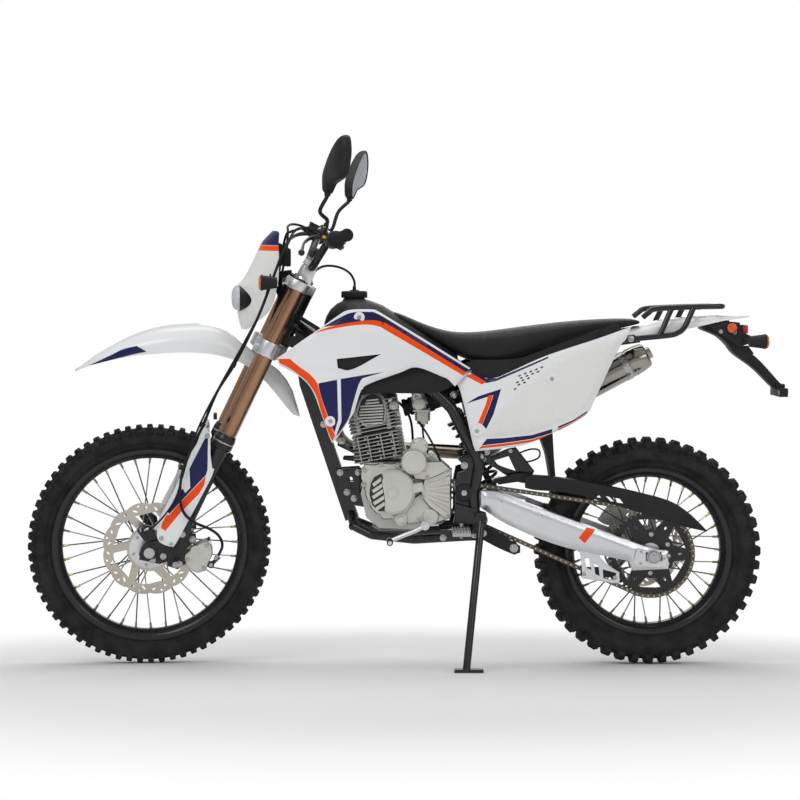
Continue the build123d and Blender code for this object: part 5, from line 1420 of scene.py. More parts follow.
fins = Form()
for number in range(8):
    fins.join(fin(590 + number * 0.8, 742, 83, 596.5 + number * 10.0))
# The core and the side block between the fins take the dark casting colour: painted shade between the fins.
core = slab([(618, -44), (632, -52), (708, -52), (722, -44), (722, 44), (708, 52), (632, 52), (618, 44)], 590,
    676, 1)
core.join(slab([(632, -62), (702, -62), (702, -50), (632, -50)], 590, 676, 1))
core.join(slab([(604, -60), (736, -60), (736, 60), (604, 60)], 589, 594))
for x in (612, 641, 678, 712):
    for y in (-81.5, 70):
        fins.join(slab([(x - 1.6, y), (x + 1.6, y), (x + 1.6, y + 11.5), (x - 1.6, y + 11.5)], 596, 668))
for x in (634, 668, 706):
    for z in (601, 621, 641, 661):
        fins.join(rod((x, -82.2, z), (x, -72, z), 3.0, 12))
fins.join(core).moved(TILT)
piece("finned_barrel", "chassis", fins, [CAST, PAINTED_SHADE], ["cylinder"], bevel=0.7, sharp=30)

head = Form()
for number in range(5):
    head.join(fin(594, 744, 80, 680 + number * 10.0))
for z in (730, 740, 750, 760):
    head.join(slab([(672, -76), (738, -76), (746, -66), (746, 66), (738, 76), (672, 76)], z, z + 2.4))
# The core between the head's fins and the block above them take the dark casting colour: painted shade.
head.join(slab([(612, -56), (728, -56), (728, 56), (612, 56)], 676.3, 770, 2))
head.join(prism([(618, 740), (624, 776), (650, 796), (690, 796), (718, 776), (724, 740)], -66, 62, 2))
for x in (620, 708):
    for y in (-66, 64):
        head.join(rod((x, y, 676), (x, y, 746), 8, 18)).join(bolt((x, y, 746), (0, 0, 1), 6.5, 6, True, 1))
head.join(rod((608, 24, 742), (598, 24, 742), 27, 24))
head.join(rod((722, 0, 752), (743, 0, 752), 25, 24))
head.moved(TILT)
piece("finned_head", "chassis", head, [CAST, STEEL, PAINTED_SHADE], ["cylinder_head"], bevel=0.7,
    sharp=30)

CAM_COVER = rounded([
    (595, 726), (601, 749), (609, 767), (629, 783), (648, 787), (667, 776), (677, 760), (681, 729),
    (677, 699),
    (650, 692), (625, 687), (609, 702), (596, 715),
], 60, 8)


def shrunk(outline, share):
    x, z = middle_of(outline)
    return [(x + (a - x) * share, z + (b - z) * share) for a, b in outline]


def shouldered(outline, levels):
    """A cover whose outline shrinks step by step: (share of the outline, y) rows."""
    return loft([[(x, y, z) for x, z in shrunk(outline, share)] for share, y in levels])


cover = shouldered(CAM_COVER, [(1.0, -60), (1.0, -80), (0.985, -85), (0.94, -88.5), (0.88, -90)])
# A dark sheet under the ribs: painted shade between them.
cover.join(prism(shrunk(CAM_COVER, 0.9), -90.4, -89, 1))
for number in range(9):
    z = 697 + number * 8.3
    low = min(x for x, h in CAM_COVER if abs(h - z) < 12) + 6
    high = max(x for x, h in CAM_COVER if abs(h - z) < 12) - 6
    start = low + 4 if number < 7 else low + 14
    end = high - 2 if number < 7 else high - 12
    cover.join(prism([(start, z - 2.8), (end, z + 0.8), (end, z + 5.4), (start, z + 1.8)], -93.4, -86))
cover.join(shouldered(CAM_COVER, [(1.04, -60), (1.04, -72)]))
piece("cam_cover", "chassis", cover, [COVER, PAINTED_SHADE], bevel=0.8, sharp=28)
trim = screws([(606, 716), (672, 705), (676, 752), (616, 772)], -72, 5, 1)
trim.join(lathe((702, 0, 748), (0, -1, 0), [(0, 88), (11, 88), (13, 86), (13, 70)], 24, 0))
trim.join(bolt((702, -88, 748), (0, -1, 0), 7, 4, False, 1))
trim.join(rod((716, -72, 724), (716, -88, 724), 5, 14, 1))
trim.join(rod((692, -72, 764), (692, -82, 764), 6, 14, 1))
trim.join(rod((650, 50, 770), (650, 96, 800), 8, 16, 2)).join(rod((650, 30, 758), (650, 52, 772), 6, 16, 1))
trim.join(pipe([(650, 92, 797), (654, 108, 812), (690, 100, 850), (720, 60, 862)], 3.2, 10, 2))
for x, z in ((598, 730), (596, 752)):
    trim.join(bolt((x - 6, 4, z), (-1, 0, 0), 6, 6, True, 1))
    trim.join(bolt((x - 6, 44, z), (-1, 0, 0), 6, 6, True, 1))
piece("head_fittings", "chassis", trim, [CAST, STEEL, SOFT_RUBBER], bevel=0.4)

# ---- Carburettor ----
def octagon(x0, x1, cut, half, flat, z_low, z_high):
    """A block over x0 to x1 with its corners cut, half wide and with straight ends of half width flat."""
    front, rear = [(x0, -half), (x1, -half), (x1 + cut, -flat)], [(x1 + cut, flat), (x1, half), (x0, half)]
    return slab(front + rear + [(x0 - cut, flat), (x0 - cut, -flat)], z_low, z_high)


carb = octagon(770, 800, 6, 24, 12, 700, 728).join(octagon(773, 797, 4, 17, 8, 690, 702))
for z in (704, 710, 716, 722):
    carb.join(slab([
        (768, -25.5), (801, -25.5), (808, -12), (808, 12), (801, 25.5), (768, 25.5), (762, 12), (762, -12),
    ], z, z + 2.2))
carb.join(octagon(758, 806, 6, 28, 14, 727, 732))
carb.join(rod((752, 0, 744), (806, 0, 753), 24, 28)).join(rod((775, -33, 750), (775, 33, 750), 17, 26))
carb.join(rod((775, 0, 750), (773, 0, 786), 20, 28)).join(rod((773, 0, 784), (773, 0, 792), 23, 28, 0, 20))
carb.join(lathe((768, 0, 768), (0, -1, 0),
    [(0, 33), (6, 33), (7, 31.5), (10, 31.5), (13, 33), (15, 31), (15, 14)], 26))
carb.join(screws([(768, 735), (802, 738)], -27, 3, 1)).join(bolt((785, 0, 690), (0, 0, -1), 8, 8, True, 2))
carb.join(bolt((768, -33, 768), (0, -1, 0), 4, 2.6, False, 1, True))
carb.join(rod((800, -26, 742), (800, -44, 742), 6, 14, 3))
piece("carburettor_body", "chassis", carb, [COVER, STEEL, BRASS, SOFT_RUBBER], ["carburettor"],
    bevel=0.6)


def boot(place, axis, profile):
    """A rubber sleeve about a slanting axis."""
    turn = Vector(axis).normalized().to_track_quat("Z", "Y").to_matrix().to_4x4()
    return lathe((0, 0, 0), (0, 0, 1), profile, 28).moved(Matrix.Translation(place) @ turn)


boots = boot((728, 0, 736), (72, 0, 17), [
    (21, 0), (25, 2), (25, 10), (22, 12), (22, 18), (26, 20), (26, 28), (22, 30),
])
boots.join(boot((800, 0, 752), (108, 0, 42), [
    (26, 0), (29, 2), (29, 12), (26, 14), (27, 40), (31, 46), (34, 60), (36, 92), (36, 108),
]))
boots.join(pipe([(785, 12, 684), (790, 20, 640), (812, 40, 560), (830, 46, 470), (832, 46, 408)], 3, 10))
boots.join(pipe([(772, -14, 700), (800, -34, 660), (826, -40, 610), (846, -44, 560)], 3, 10))
boots.join(pipe([(768, 14, 776), (742, 22, 826), (700, 26, 852)], 3.6, 10))
piece("intake_boots", "chassis", boots, [SOFT_RUBBER], bevel=0.3)

# ---- Gear lever and brake pedal ----
pedals = rod((790, -105.5, 418), (790, -150, 418), 8, 20,
    0).join(rod((790, -148, 418), (790, -164, 418), 12.5, 26, 0))
pedals.join(bolt((790, -164, 418), (0, -1, 0), 6.5, 4.5, True, 0))
pedals.join(pipe([(788, -157, 417), (764, -159, 404), (730, -160, 391), (694, -160, 376)], 6.2, 14, 0))
pedals.join(rod((692, -152, 375), (692, -160, 375), 9.5, 22, 0))
pedals.join(rod((692, -160, 375), (692, -194, 375), 7.4, 22, 1))
for y in range(-192, -160, 5):
    pedals.join(rod((692, y - 1.3, 375), (692, y + 1.3, 375), 8.8, 22, 1))
pedals.join(rod((692, -194, 375), (692, -196, 375), 6, 22, 0))
pedals.join(rod((845, 103.5, 384), (845, 150, 384), 11.5, 26, 0))
pedals.join(bolt((845, 150, 384), (0, 1, 0), 7, 4, True, 0))
pedals.join(pipe([(845, 142, 384), (812, 152, 380), (776, 164, 382), (744, 170, 388)], 7, 14, 0))
pedals.join(box((708, 160, 385), (748, 194, 391), 0))
for k in range(5):
    pedals.join(box((709 + k * 8.4, 160, 390), (712.5 + k * 8.4, 194, 396), 0))
piece("foot_levers", "chassis", pedals, [ALLOY, SOFT_RUBBER], ["foot_controls"], bevel=0.6, sharp=35)

# ---- Fork, drawn in the fork's own frame: rearwards, across, up ----
FORK_Y = 100
LEG_V = 56  # the legs, behind the axle
UP = (0, 0, 1)


def leg(profile, sides=40, finish=0):
    """A round part of the left leg: (radius, height) rows."""
    return lathe((LEG_V, -FORK_Y, 0), UP, profile, sides, finish)


GUARD_SIDE = rounded([
    (-5, 383), (-3, 356), (-1, 333), (-4, 305), (-4, 283), (-3, 228), (-3, 178), (-5, 130), (-6, 94),
    (-7, 68),
    (5, 45), (21, 38), (42, 40), (54, 44), (58, 84), (66, 270), (57, 290), (37, 321), (18, 360), (8, 378),
], 40, 8)
GUARD_NAVY = [
    (3, 374), (2, 340), (1, 300), (0, 262), (25, 214), (18, 195), (7, 204), (-1, 170), (-2, 127), (3, 122),
    (13, 153),
    (49, 265), (47, 280), (37, 303), (26, 326), (12, 358), (6, 374),
]
GUARD_ORANGE = [
    (50, 263), (57, 238), (54, 208), (29, 135), (14, 75), (-1, 78), (-4, 94), (-2, 118), (4, 120), (14, 153),
]


def fork_guard():
    def face(v, u):
        edge = smooth_step(0, 9, edge_distance(v, u, GUARD_SIDE))
        fold = 1.6 * smooth_step(26, 34, v + (u - 200) * 0.05)
        return (v, -FORK_Y - 27 - 2.6 * edge - fold, u)

    form = sheet(GUARD_SIDE, face, 8, [(GUARD_NAVY, 1), (GUARD_ORANGE, 2)])
    edge = [(-383, -5), (-356, -3), (-333, -1), (-305, -4), (-228, -3), (-178, -3), (-130, -5), (-66, -7)]
    rows = []
    for k in range(34):
        u = 383 - (383 - 66) * k / 33
        v = table(edge, -u)
        deep = 12 + 8 * smooth_step(383, 330, u)
        section = ((10, deep), (-2, deep - 3), (-9, -2), (-10, -14), (-6, -24), (0, -27.2))
        rows.append([Vector((v + a, -FORK_Y + b, u)) for a, b in section])
    return form.join(loft(rows, 0, closed=False)).mirrored().moved(FORK)


piece("fork_guard_shells", "steering", fork_guard(), [WHITE, NAVY, ORANGE], ["fork_guards"],
    wall=2.6, sharp=45)

FOOT = [(-24, -18), (-25, 16), (-6, 30), (14, 46), (30, 84), (33, 120), (79, 120), (80, 60), (76, 34),
    (60, 8), (42, -10), (6, -26), (-14, -26)]
feet = prism(FOOT, -FORK_Y - 19, -FORK_Y + 22).join(prism([(-26, 22), (-58, 40), (-52, 60), (-34, 66),
    (-10, 58), (2, 40)], -FORK_Y - 14, -FORK_Y + 6))
feet.join(lathe((0, -FORK_Y, 0), (0, -1, 0),
    [(13, 24), (20, 24), (24, 22), (26, 16), (26, -20), (20, -24), (13, -24)], 40, 0, closed=True))
feet.join(prism([(-18, -30), (40, -18), (58, -2), (52, 6), (20, -10), (-16, -20)], -FORK_Y - 22,
    -FORK_Y + 20))
for v in (36, 50, 64):
    feet.join(prism([(v, 20), (v + 3.5, 20), (v + 3.5, 74), (v, 74)], -FORK_Y - 22, -FORK_Y - 18))
feet.join(prism([(52, 30), (96, -8), (102, 4), (84, 30), (108, 78), (98, 96), (76, 88), (60, 60)],
    -FORK_Y + 6, -FORK_Y + 18))
feet.join(leg([
    (23, 110), (23, 340), (24, 344), (29.5, 350), (31, 352), (31, 363.5), (30.2, 364), (30.2, 370),
    (31, 370.5), (31, 378),
    (29.5, 381), (29, 386), (27.5, 390), (26.3, 391),
]))
feet.join(leg([(30.6, 364.8), (31.8, 365.4), (31.8, 368.8), (30.6, 369.4)], finish=1)).mirrored()
piece("fork_sliders_black", "steering", feet.moved(FORK), [BLACK_ALLOY, STEEL],
    ["fork_sliders"], bevel=1.6, segments=3, sharp=30)
trim = Form()
for v, u, y in ((18, -16, -22), (40, 6, -22), (-44, 50, -15), (82, -2, -22), (62, 84, -22)):
    trim.join(bolt((v, -FORK_Y + y, u), (0, -1, 0), 6, 5, True, 0, True))
for v, u in ((13, 52), (44, 50), (6, 366)):
    trim.join(bolt((v, -FORK_Y - 29, u), (0, -1, 0), 4.6, 2.6, True, 0, True))
for v, u in ((96, 78), (92, -2)):
    trim.join(bolt((v, -FORK_Y + 6, u), (0, -1, 0), 6.5, 5, True, 0))
trim.mirrored()
trim.join(lathe((0, -FORK_Y, 0), (0, -1, 0),
    [(0, 29.5), (4, 29.5), (5.5, 31), (9, 31), (13, 30.5), (15, 28), (15, 23)], 28))
trim.join(bolt((0, FORK_Y + 23, 0), (0, 1, 0), 13, 8, True, 0))
piece("fork_bolts", "steering", trim.moved(FORK), [STEEL], bevel=0.4)

tubes = leg([
    (0, 386.5), (26, 386.5), (26, 392), (25.2, 393), (25.2, 396), (26, 397), (26, 632), (26, 840), (26, 868),
    (0, 868),
], 56)
tubes.join(leg([(24.5, 866), (24.5, 871), (22.5, 874), (14, 874.5), (13, 876), (0, 876)], 40, 1))
tubes.join(leg([(9, 874), (9, 882), (7.5, 884), (0, 884)], 6, 2))
piece("fork_tubes_bronze", "steering", tubes.mirrored().moved(FORK), [BRONZE, BLACK_ALLOY, ALLOY],
    ["fork_tubes"], sharp=35)


def fork_clamp(foot, height):
    """A clamp with a round boss at each leg, a bridge between them and the slit at the front."""
    top = foot + height
    form = slab([
        (30, -72), (86, -72), (92, -60), (104, -34), (112, -14), (112, 14), (104, 34), (92, 60), (86, 72),
        (30, 72),
        (26, 50), (34, 0), (26, -50),
    ], foot + 3, top - 3)
    for side in (-1, 1):
        y = side * FORK_Y
        ring = [(27.5, foot), (32.5, foot), (34, foot + 2), (34, top - 2), (32.5, top), (27.5, top)]
        form.join(lathe((LEG_V, y, 0), UP, ring, 48))
        for low in (y - 17, y + 3):
            form.join(slab([(16, low), (32, low), (32, low + 14), (16, low + 14)], foot + 3, top - 3))
    ring = [(20, foot - 1), (28, foot - 1), (30, foot + 1), (30, top - 1), (28, top + 1), (20, top + 1)]
    return form.join(lathe((STEM_V, 0, 0), UP, ring, 40))


clamps = fork_clamp(636, 44).join(fork_clamp(842, 28))
for side in (-1, 1):
    y = side * 45
    clamps.join(slab([(50, y - 17), (90, y - 17), (90, y + 17), (50, y + 17)], 869, 877))
    clamps.join(prism([(50, 876), (90, 876), (88, 917), (52, 917)], y - 14, y + 14))
    clamps.join(prism([(51, 919), (89, 919), (87, 932), (80, 937), (60, 937), (53, 932)], y - 14, y + 14))
clamps.join(rod((STEM_V, 0, 870), (STEM_V, 0, 880), 17, 6, 1))
for low in (-70, 20):
    clamps.join(prism([(20, 858), (32, 858), (32, 866), (20, 866)], low, low + 50, 2))
piece("fork_clamps", "steering", clamps.moved(FORK), [ALLOY, STEEL, RED], ["triple_clamps"],
    bevel=1.6, segments=3, sharp=30)
trim = Form()
for side in (-1, 1):
    for level in (646, 670, 856):
        trim.join(bolt((24, side * (FORK_Y + 17), level), (0, side, 0), 5.5, 5, True, 0, True))
    for v in (57, 83):
        for y in (36, 54):
            trim.join(bolt((v, side * y, 937), (0, 0, 1), 4.2, 4.5, True, 0, True))
trim.join(lathe((STEM_V, 0, 0), UP, [(7, 878), (12, 878), (12, 884), (7, 884)], 24))
piece("clamp_bolts", "steering", trim.moved(FORK), [STEEL], bevel=0.3)

# ---- Bars and controls ----
BAR_LINE = [(80, 290, 1016), (71, 215, 1001), (70, 188, 985), (70, 112, 927), (70, 84, 918), (70, 40, 918)]
BAR_END, BAR_KNEE = Vector((92, 400, 1038)), Vector((70, 205, 1000))
INWARDS = (BAR_KNEE - BAR_END).normalized()
INWARDS_ON = {side: Vector((INWARDS.x, side * INWARDS.y, INWARDS.z)) for side in (-1, 1)}
BRACE_U = 960.5


def on_bar(from_end, v=0.0, u=0.0, side=1):
    point = BAR_END + INWARDS * from_end + Vector((v, 0, u))
    return Vector((point.x, side * point.y, point.z))


bar = [BAR_END + INWARDS * 2] + BAR_LINE + [(v, -y, u) for v, y,
    u in reversed(BAR_LINE)] + [on_bar(2, side=-1)]
bar = pipe(bar, 11.1, 24, 0, 5).join(rod((70, -158, BRACE_U), (70, 158, BRACE_U), 6, 18))
for side in (-1, 1):
    bar.join(box((61, side * 158 - 8, 951), (79, side * 158 + 8, 971)))
for y in (-30, 30):
    bar.join(rod((70, y - 4, 918), (70, y + 4, 918), 11.5, 28, 1))
pad = []
for y, size in ((-100, 0.7), (-94, 1.0), (94, 1.0), (100, 0.7)):
    pad.append([Vector((70 + size * 15 * cos(a), y, BRACE_U + size * 15 * sin(a))) for a in turns(20)])
bar.join(loft(pad, 2))
piece("bars", "steering", bar.moved(FORK), [BLACK_ALLOY, STEEL, SOFT_RUBBER], ["handlebar"],
    bevel=0.5, sharp=35)


def grip(side):
    """A ribbed rubber grip with its end and inner flanges."""
    profile = [(7.3, 0), (13, 0), (16, 1.5), (17.5, 5), (16.5, 8)]
    for number in range(17):
        along = 10 + number * 5.6
        profile += [(16.4, along), (15.6, along + 1.2), (15.6, along + 3.0), (16.4, along + 4.2)]
    profile += [(16.5, 107), (17.5, 109), (22, 111), (23.3, 113), (23.3, 115.5), (21, 117), (12, 117)]
    return lathe(on_bar(-5, side=side), INWARDS_ON[side], profile, 36)


piece("grip_rubbers", "steering", grip(1).join(grip(-1)).moved(FORK), [SOFT_RUBBER],
    ["left_grip", "right_grip"], sharp=40)


MIRROR_STEM_V = {-1: -32.0, 1: 24.0}  # behind the bar's line


def barrel(side, start, length, radius):
    """A housing round the bar."""
    profile = [(11.3, 0), (radius - 3, 0), (radius - 0.8, 0.8), (radius, 3), (radius, length - 3)]
    profile += [(radius - 0.8, length - 0.8), (radius - 3, length), (11.3, length)]
    return lathe(on_bar(start, side=side), INWARDS_ON[side], profile)


def lever(points):
    """A blade that thins towards its ball end."""
    blade = smooth_path(points, 6)
    rings = []
    for k, p in enumerate(blade):
        share = k / (len(blade) - 1)
        ahead = (blade[min(k + 1, len(blade) - 1)] - blade[max(k - 1, 0)]).normalized()
        across = ahead.cross(Vector(UP)).normalized()
        over = across.cross(ahead)
        wide = table([(0, 8), (0.15, 6.5), (0.5, 5.2), (0.85, 4.6), (1, 4.4)], share)
        flat = table([(0, 6), (0.15, 5), (0.5, 4.2), (1, 4.2)], share)
        rings.append([p + across * flat * cos(a) + over * wide * sin(a) for a in turns(12)])
    ball = [(9 * cos(pi * n / 8 - pi / 2), 9 * sin(pi * n / 8 - pi / 2)) for n in range(1, 8)]
    return loft(rings, 1).join(lathe(points[-1], (0, 1, 0), [(0.01, -9)] + ball + [(0.01, 9)], 18, 1))


controls = Form()
for side in (-1, 1):
    controls.join(barrel(side, 115, 33, 24))
    controls.join(barrel(side, 150, 15, 15.5))
    foot = on_bar(157, -23.7, 2.8, side)
    controls.join(box(foot - Vector((11, 10, 12)), foot + Vector((9, 10, 12))))
    controls.join(rod(foot + Vector((-6, 0, -12.5)), foot + Vector((-6, 0, 13.5)), 8.5, 20, 0))
    line = ((157, -26.7, 1.8), (141, -58, -21), (103, -74, -46.5), (58, -81, -69), (15, -86, -91))
    controls.join(lever([on_bar(*place, side) for place in line]))
    stem = MIRROR_STEM_V[side]
    controls.join(rod(on_bar(154, stem, 4, side), on_bar(154, stem, 24, side), 9, 20, 0))
    controls.join(rod(on_bar(154, stem, 24, side), on_bar(154, stem, 31, side), 7.5, 6, 2))
# switches on the left barrel, brake reservoir and kill switch on the right
left, right, tank = on_bar(131, side=-1), on_bar(131), on_bar(176, -26, 16)
for place, low, high, finish in (
    (left, (12, -14, -18), (29, 14, 16), 0), (left, (8, -12, 18), (20, 2, 26), 0),
    (left, (-32, -3, -8), (-22, 5, 0), 3),
    (right, (-6, -12, 14), (16, 12, 29), 0), (tank, (-14, -22, -4), (14, 22, 16), 0),
    (tank, (-16, -24, 16), (16, 24, 20), 0),
):
    controls.join(box(place + Vector(low), place + Vector(high), finish))
for place, foot, top, radius, sides, finish in (
    (left, (29, 6, 6), (33, 6, 6), 5, 16, 3), (left, (29, -6, -8), (33, -6, -8), 5, 16, 4),
    (right, (6, 0, 29), (6, 0, 34), 6.5, 18, 4),
):
    controls.join(rod(place + Vector(foot), place + Vector(top), radius, sides, finish))
for side in (-1, 1):
    controls.join(bolt(tank + Vector((side * 8, side * 16, 20)), UP, 2.6, 1.6, False, 2))
finishes = [BLACK_ALLOY, BLACK_ALLOY, STEEL, YELLOW, RED]
piece("bar_controls", "steering", controls.moved(FORK), finishes, ["hand_controls"], bevel=1.0,
    sharp=35)

# ---- Mirrors ----
MIRROR_SHELL = [
    (-9, -2), (-2, -8), (8, -7), (24, 4), (46, 18), (84, 27), (116, 35), (139, 52), (154, 80), (160, 108),
    (153, 136),
    (136, 146), (114, 139), (86, 122), (54, 98), (26, 72), (4, 50), (-8, 28),
]
# share of the outline and how far back, from the rim round the shell
MIRROR_DEPTHS = [
    (0.90, -10.5), (0.955, -11.5), (0.985, -10.5), (1.0, -7), (1.0, 2), (0.965, 9), (0.88, 15.5),
    (0.72, 20.5),
    (0.5, 23.5), (0.25, 25), (0.02, 25.5),
]
# side, neck, bend in the stem, degrees the glass turns towards the rider
MIRRORS = [(-1, (486, 1360), (468, 1306), 15), (1, (602, 1348), (566, 1302), 24)]


def mirror(side, neck, bend, turn):
    foot = FORK @ on_bar(154, MIRROR_STEM_V[side], 28, side)
    above = FORK @ on_bar(154, MIRROR_STEM_V[side] + side * 4, 46, side)
    place = Vector((neck[0], side * (on_bar(154).y + 50), neck[1]))
    up = Vector(UP)
    stem = [foot, above, (bend[0], side * (abs(place.y) - 28), bend[1]), place - up * 12, place + up * 8]
    form = pipe(stem, 5.5, 16, 0, 4)
    turn = radians(turn)
    out = Vector((sin(turn), side * cos(turn), 0))
    back = Vector((-cos(turn), side * sin(turn), 0))
    outline = rounded(MIRROR_SHELL, 75, 6)
    middle = (70, 66)

    def ring(share, depth):
        points = [(middle[0] + (p - middle[0]) * share, middle[1] + (q - middle[1]) * share) for p,
            q in outline]
        return [place + out * a + up * b + back * depth for a, b in points]

    rings = [ring(*row) for row in MIRROR_DEPTHS]
    form.join(loft(rings, capped=False))
    form.add(ring(0.9, -9.5), [tuple(range(len(outline)))], 1)
    form.join(rod(place - up * 14, place + up * 10, 8.5, 18))
    return form.join(rod(foot - up * 4, foot + (above - foot) * 0.5, 8, 6))


piece("mirror_heads", "steering", mirror(*MIRRORS[0]).join(mirror(*MIRRORS[1])),
    [BLACK_PLASTIC, MIRROR_GLASS], ["mirrors"], sharp=50)

# ---- Swingarm ----
ARM = rounded([
    (948, 510), (1002, 504), (1115, 461), (1397, 358), (1476, 340), (1476, 290), (1376, 286), (1366, 312),
    (1172, 355), (1030, 412), (948, 462),
], 34, 9)
ARM_PATCH = [(1245, 408), (1270, 402), (1240, 364), (1222, 379)]


def arm_side(side):
    """One arm: rounded along its edges, with the cast axle block at its end."""
    def face(x, z):
        edge = edge_distance(x, z, ARM)
        swell = 9 * smooth_step(-2, 16, edge)
        flat = smooth_step(1372, 1384, x) * 2.4
        middle = table([(1000, 474), (1172, 395), (1366, 336)], x) - 8
        crease = 2.2 * smooth_step(2, -2, z - middle) * (1 - smooth_step(1360, 1372, x))
        return (x, side * (118 + swell - flat - crease), z)

    slot = [(1412, 315.5), (1412, 337.5), (1456, 337.5), (1456, 315.5)]
    form = sheet(ARM, face, 9, [(ARM_PATCH, 1)] if side < 0 else [], [slot])
    form.join(sheet(ARM, lambda x, z: (x, side * 82, z), 30, holes=[slot]))
    for loop in (ARM, slot):
        loop = dense(loop, 9)
        low = [(x, side * 82, z) for x, z in loop]
        high = [face(x, z) for x, z in loop]
        form.join(loft([low, high], 0, capped=False))
    return form


swing = arm_side(-1).join(arm_side(1))
swing.join(prism([(966, 482), (1084, 464), (1084, 404), (1030, 420), (966, 452)], -84, 84))
swing.join(prism([(892, 522), (972, 496), (972, 446), (890, 484)], -54, 54))
swing.join(rod((901, -54, 503), (901, 80, 503), 24, 36)).join(rod((901, -80, 503), (901, -54, 503), 15, 30))
piece("swingarm_beams", "chassis", swing, [ALLOY, ORANGE], ["swingarm"], sharp=38)

trim = Form()
for side in (-1, 1):
    y = side * 127.5
    edge = rounded([(1386, 352), (1468, 331), (1466, 296), (1382, 300), (1378, 318)], 40, 5)
    trim.join(plate(edge, y, y + side * 2, 8, [[(1410, 314), (1410, 339), (1458, 339), (1458, 314)]]))
    for x, z in ((1398, 341), (1396, 308), (1468, 322)):
        trim.join(bolt((min(x, 1462), side * 129, z), (0, side, 0), 4.2, 3, False, 1, True))
    trim.join(rod((1462, side * 112, 326.5), (1482, side * 112, 326.5), 6, 6, 1))
    trim.join(rod((1474, side * 112, 326.5), (1476, side * 112, 326.5), 9, 18, 1))
    for x, z in ((1006, 492), (1120, 452)):
        trim.join(rod((x, side * 118, z - 10), (x, side * 128.5, z - 10), 3.2, 10, 1))
piece("axle_blocks", "chassis", trim, [ALLOY, STEEL], bevel=1.2, sharp=35)

def on_axle(y):
    return REAR_AXLE + Vector((0, y, 0))


axle = rod(on_axle(-140), on_axle(140), 10, 32)
spacer = [(10.2, 60.3), (15.6, 60.3), (16, 61), (16, 81), (15.6, 81.7), (10.2, 81.7)]
washer = [(10.5, 0), (20, 0), (20, 2.2), (10.5, 2.2)]
for side in (-1, 1):
    axle.join(lathe(REAR_AXLE, (0, side, 0), spacer, 32, closed=True))
    axle.join(lathe(on_axle(side * 129.7), (0, side, 0), washer, 32, closed=True))
axle.join(bolt(on_axle(131.9), (0, 1, 0), 16.5, 8, False))
axle.join(lathe(on_axle(-131.9), (0, -1, 0), [(16, 0), (16, 5), (14, 8), (8, 8), (7.5, 3), (0, 3)], 32))
piece("rear_axle_bolt", "chassis", axle, [STEEL], ["rear_axle"], bevel=0.5, sharp=35)

# ---- Pivot bolt and its caps ----
caps = rod((901, -112, 503), (901, 112, 503), 9, 28, 0)
for side in (-1, 1):
    rows = [(9.2, 0), (25, 0), (26, 1.5), (26, 5), (24, 8), (15, 9), (0, 9)]
    caps.join(lathe((901, side * 103.4, 503), (0, side, 0), rows, 36, 1))
    caps.join(bolt((901, side * 112.3, 503), (0, side, 0), 9, 3, False, 0))
piece("pivot_caps", "chassis", caps, [STEEL, BLACK_PLASTIC], ["pivot_bolt"], bevel=0.5, sharp=35)

# ---- Chain guard, guide and roller ----
GUARD = rounded([
    (1072, 547), (1098, 550), (1175, 543), (1296, 522), (1403, 499), (1489, 474), (1537, 444), (1573, 410),
    (1590, 392),
    (1519, 408), (1455, 430), (1395, 447), (1347, 462), (1291, 478), (1218, 498), (1160, 506), (1102, 510),
    (1074, 516),
], 30, 9)
GUARD_SLOTS = [
    [(1268, 499), (1284, 495), (1293, 487), (1277, 489)],
    [(1302, 493), (1312, 491), (1326, 477), (1316, 478)],
    [(1322, 489), (1341, 486), (1352, 472), (1334, 474)],
]


def guard_face(x, z):
    return (x, -97 - 3 * smooth_step(0, 12, edge_distance(x, z, GUARD)), z)


guard = sheet(GUARD, guard_face, 9, holes=GUARD_SLOTS)
GUARD_TOP = [
    (1072, 549), (1098, 552), (1175, 545), (1296, 524), (1403, 501), (1489, 476), (1537, 446), (1573, 412),
    (1590, 394),
]
rows = []
for k in range(45):
    x = 1074 + (1588 - 1074) * k / 44
    z = table(GUARD_TOP, x)
    section = ((-97, 4), (-96, 1.2), (-92, 0), (-74, 0), (-67, 1.6), (-65.5, 8))
    rows.append([Vector((x, y, z - drop)) for y, drop in section])
guard.join(loft(rows, 0, closed=False))
piece("chain_guard_shell", "chassis", guard, [BLACK_PLASTIC], ["chain_guard"], wall=2.6,
    sharp=50)

GUIDE = rounded([
    (1222, 357), (1236, 360), (1288, 342), (1286, 320), (1306, 300), (1341, 277), (1341, 248), (1330, 246),
    (1236, 260), (1233, 314),
], 36, 5)
GUIDE_HOLES = [
    rounded(hole, 30, 3) for hole in (
        [(1242, 320), (1255, 316), (1262, 284), (1248, 290)],
        [(1269, 301), (1282, 296), (1285, 267), (1273, 272)],
        [(1294, 285), (1332, 275), (1332, 255), (1296, 260)],
    )
]
guide = plate(GUIDE, -95, -91.5, 6, GUIDE_HOLES)
guide.join(plate([(1226, 353), (1240, 356), (1284, 341), (1280, 326), (1240, 336)], -97, -95, 6))
for low, high in (
    ((1236, -90, 262), (1330, -80, 290)), ((1236, -90, 262), (1246, -46, 290)),
    ((1320, -90, 256), (1330, -46, 280)),
    ((1226, -91.5, 334), (1282, -84, 352)),
):
    guide.join(box(low, high, 1))
for x, z in ((1240, 345), (1273, 335), (1241, 272), (1329, 262)):
    guide.join(bolt((x, -97, z) if z > 330 else (x, -95, z), (0, -1, 0), 4.2, 3, True, 2, True))
arm = [(946.5, 400), (975, 402), (1060, 352), (1060, 334), (1042, 328), (1000, 346), (946.5, 374)]
guide.join(prism(rounded(arm, 36, 5), -103, -92, 3))
roller = [(5, 0), (13, 0), (14, 1), (14, 12), (12, 13.5), (12, 26), (14, 27.5), (14, 38), (13, 39), (5, 39)]
guide.join(lathe((1042, -91.5, 346.2), (0, 1, 0), roller, 32, 3))
guide.join(bolt((1042, -103.2, 346.2), (0, -1, 0), 8, 3.4, True, 2))
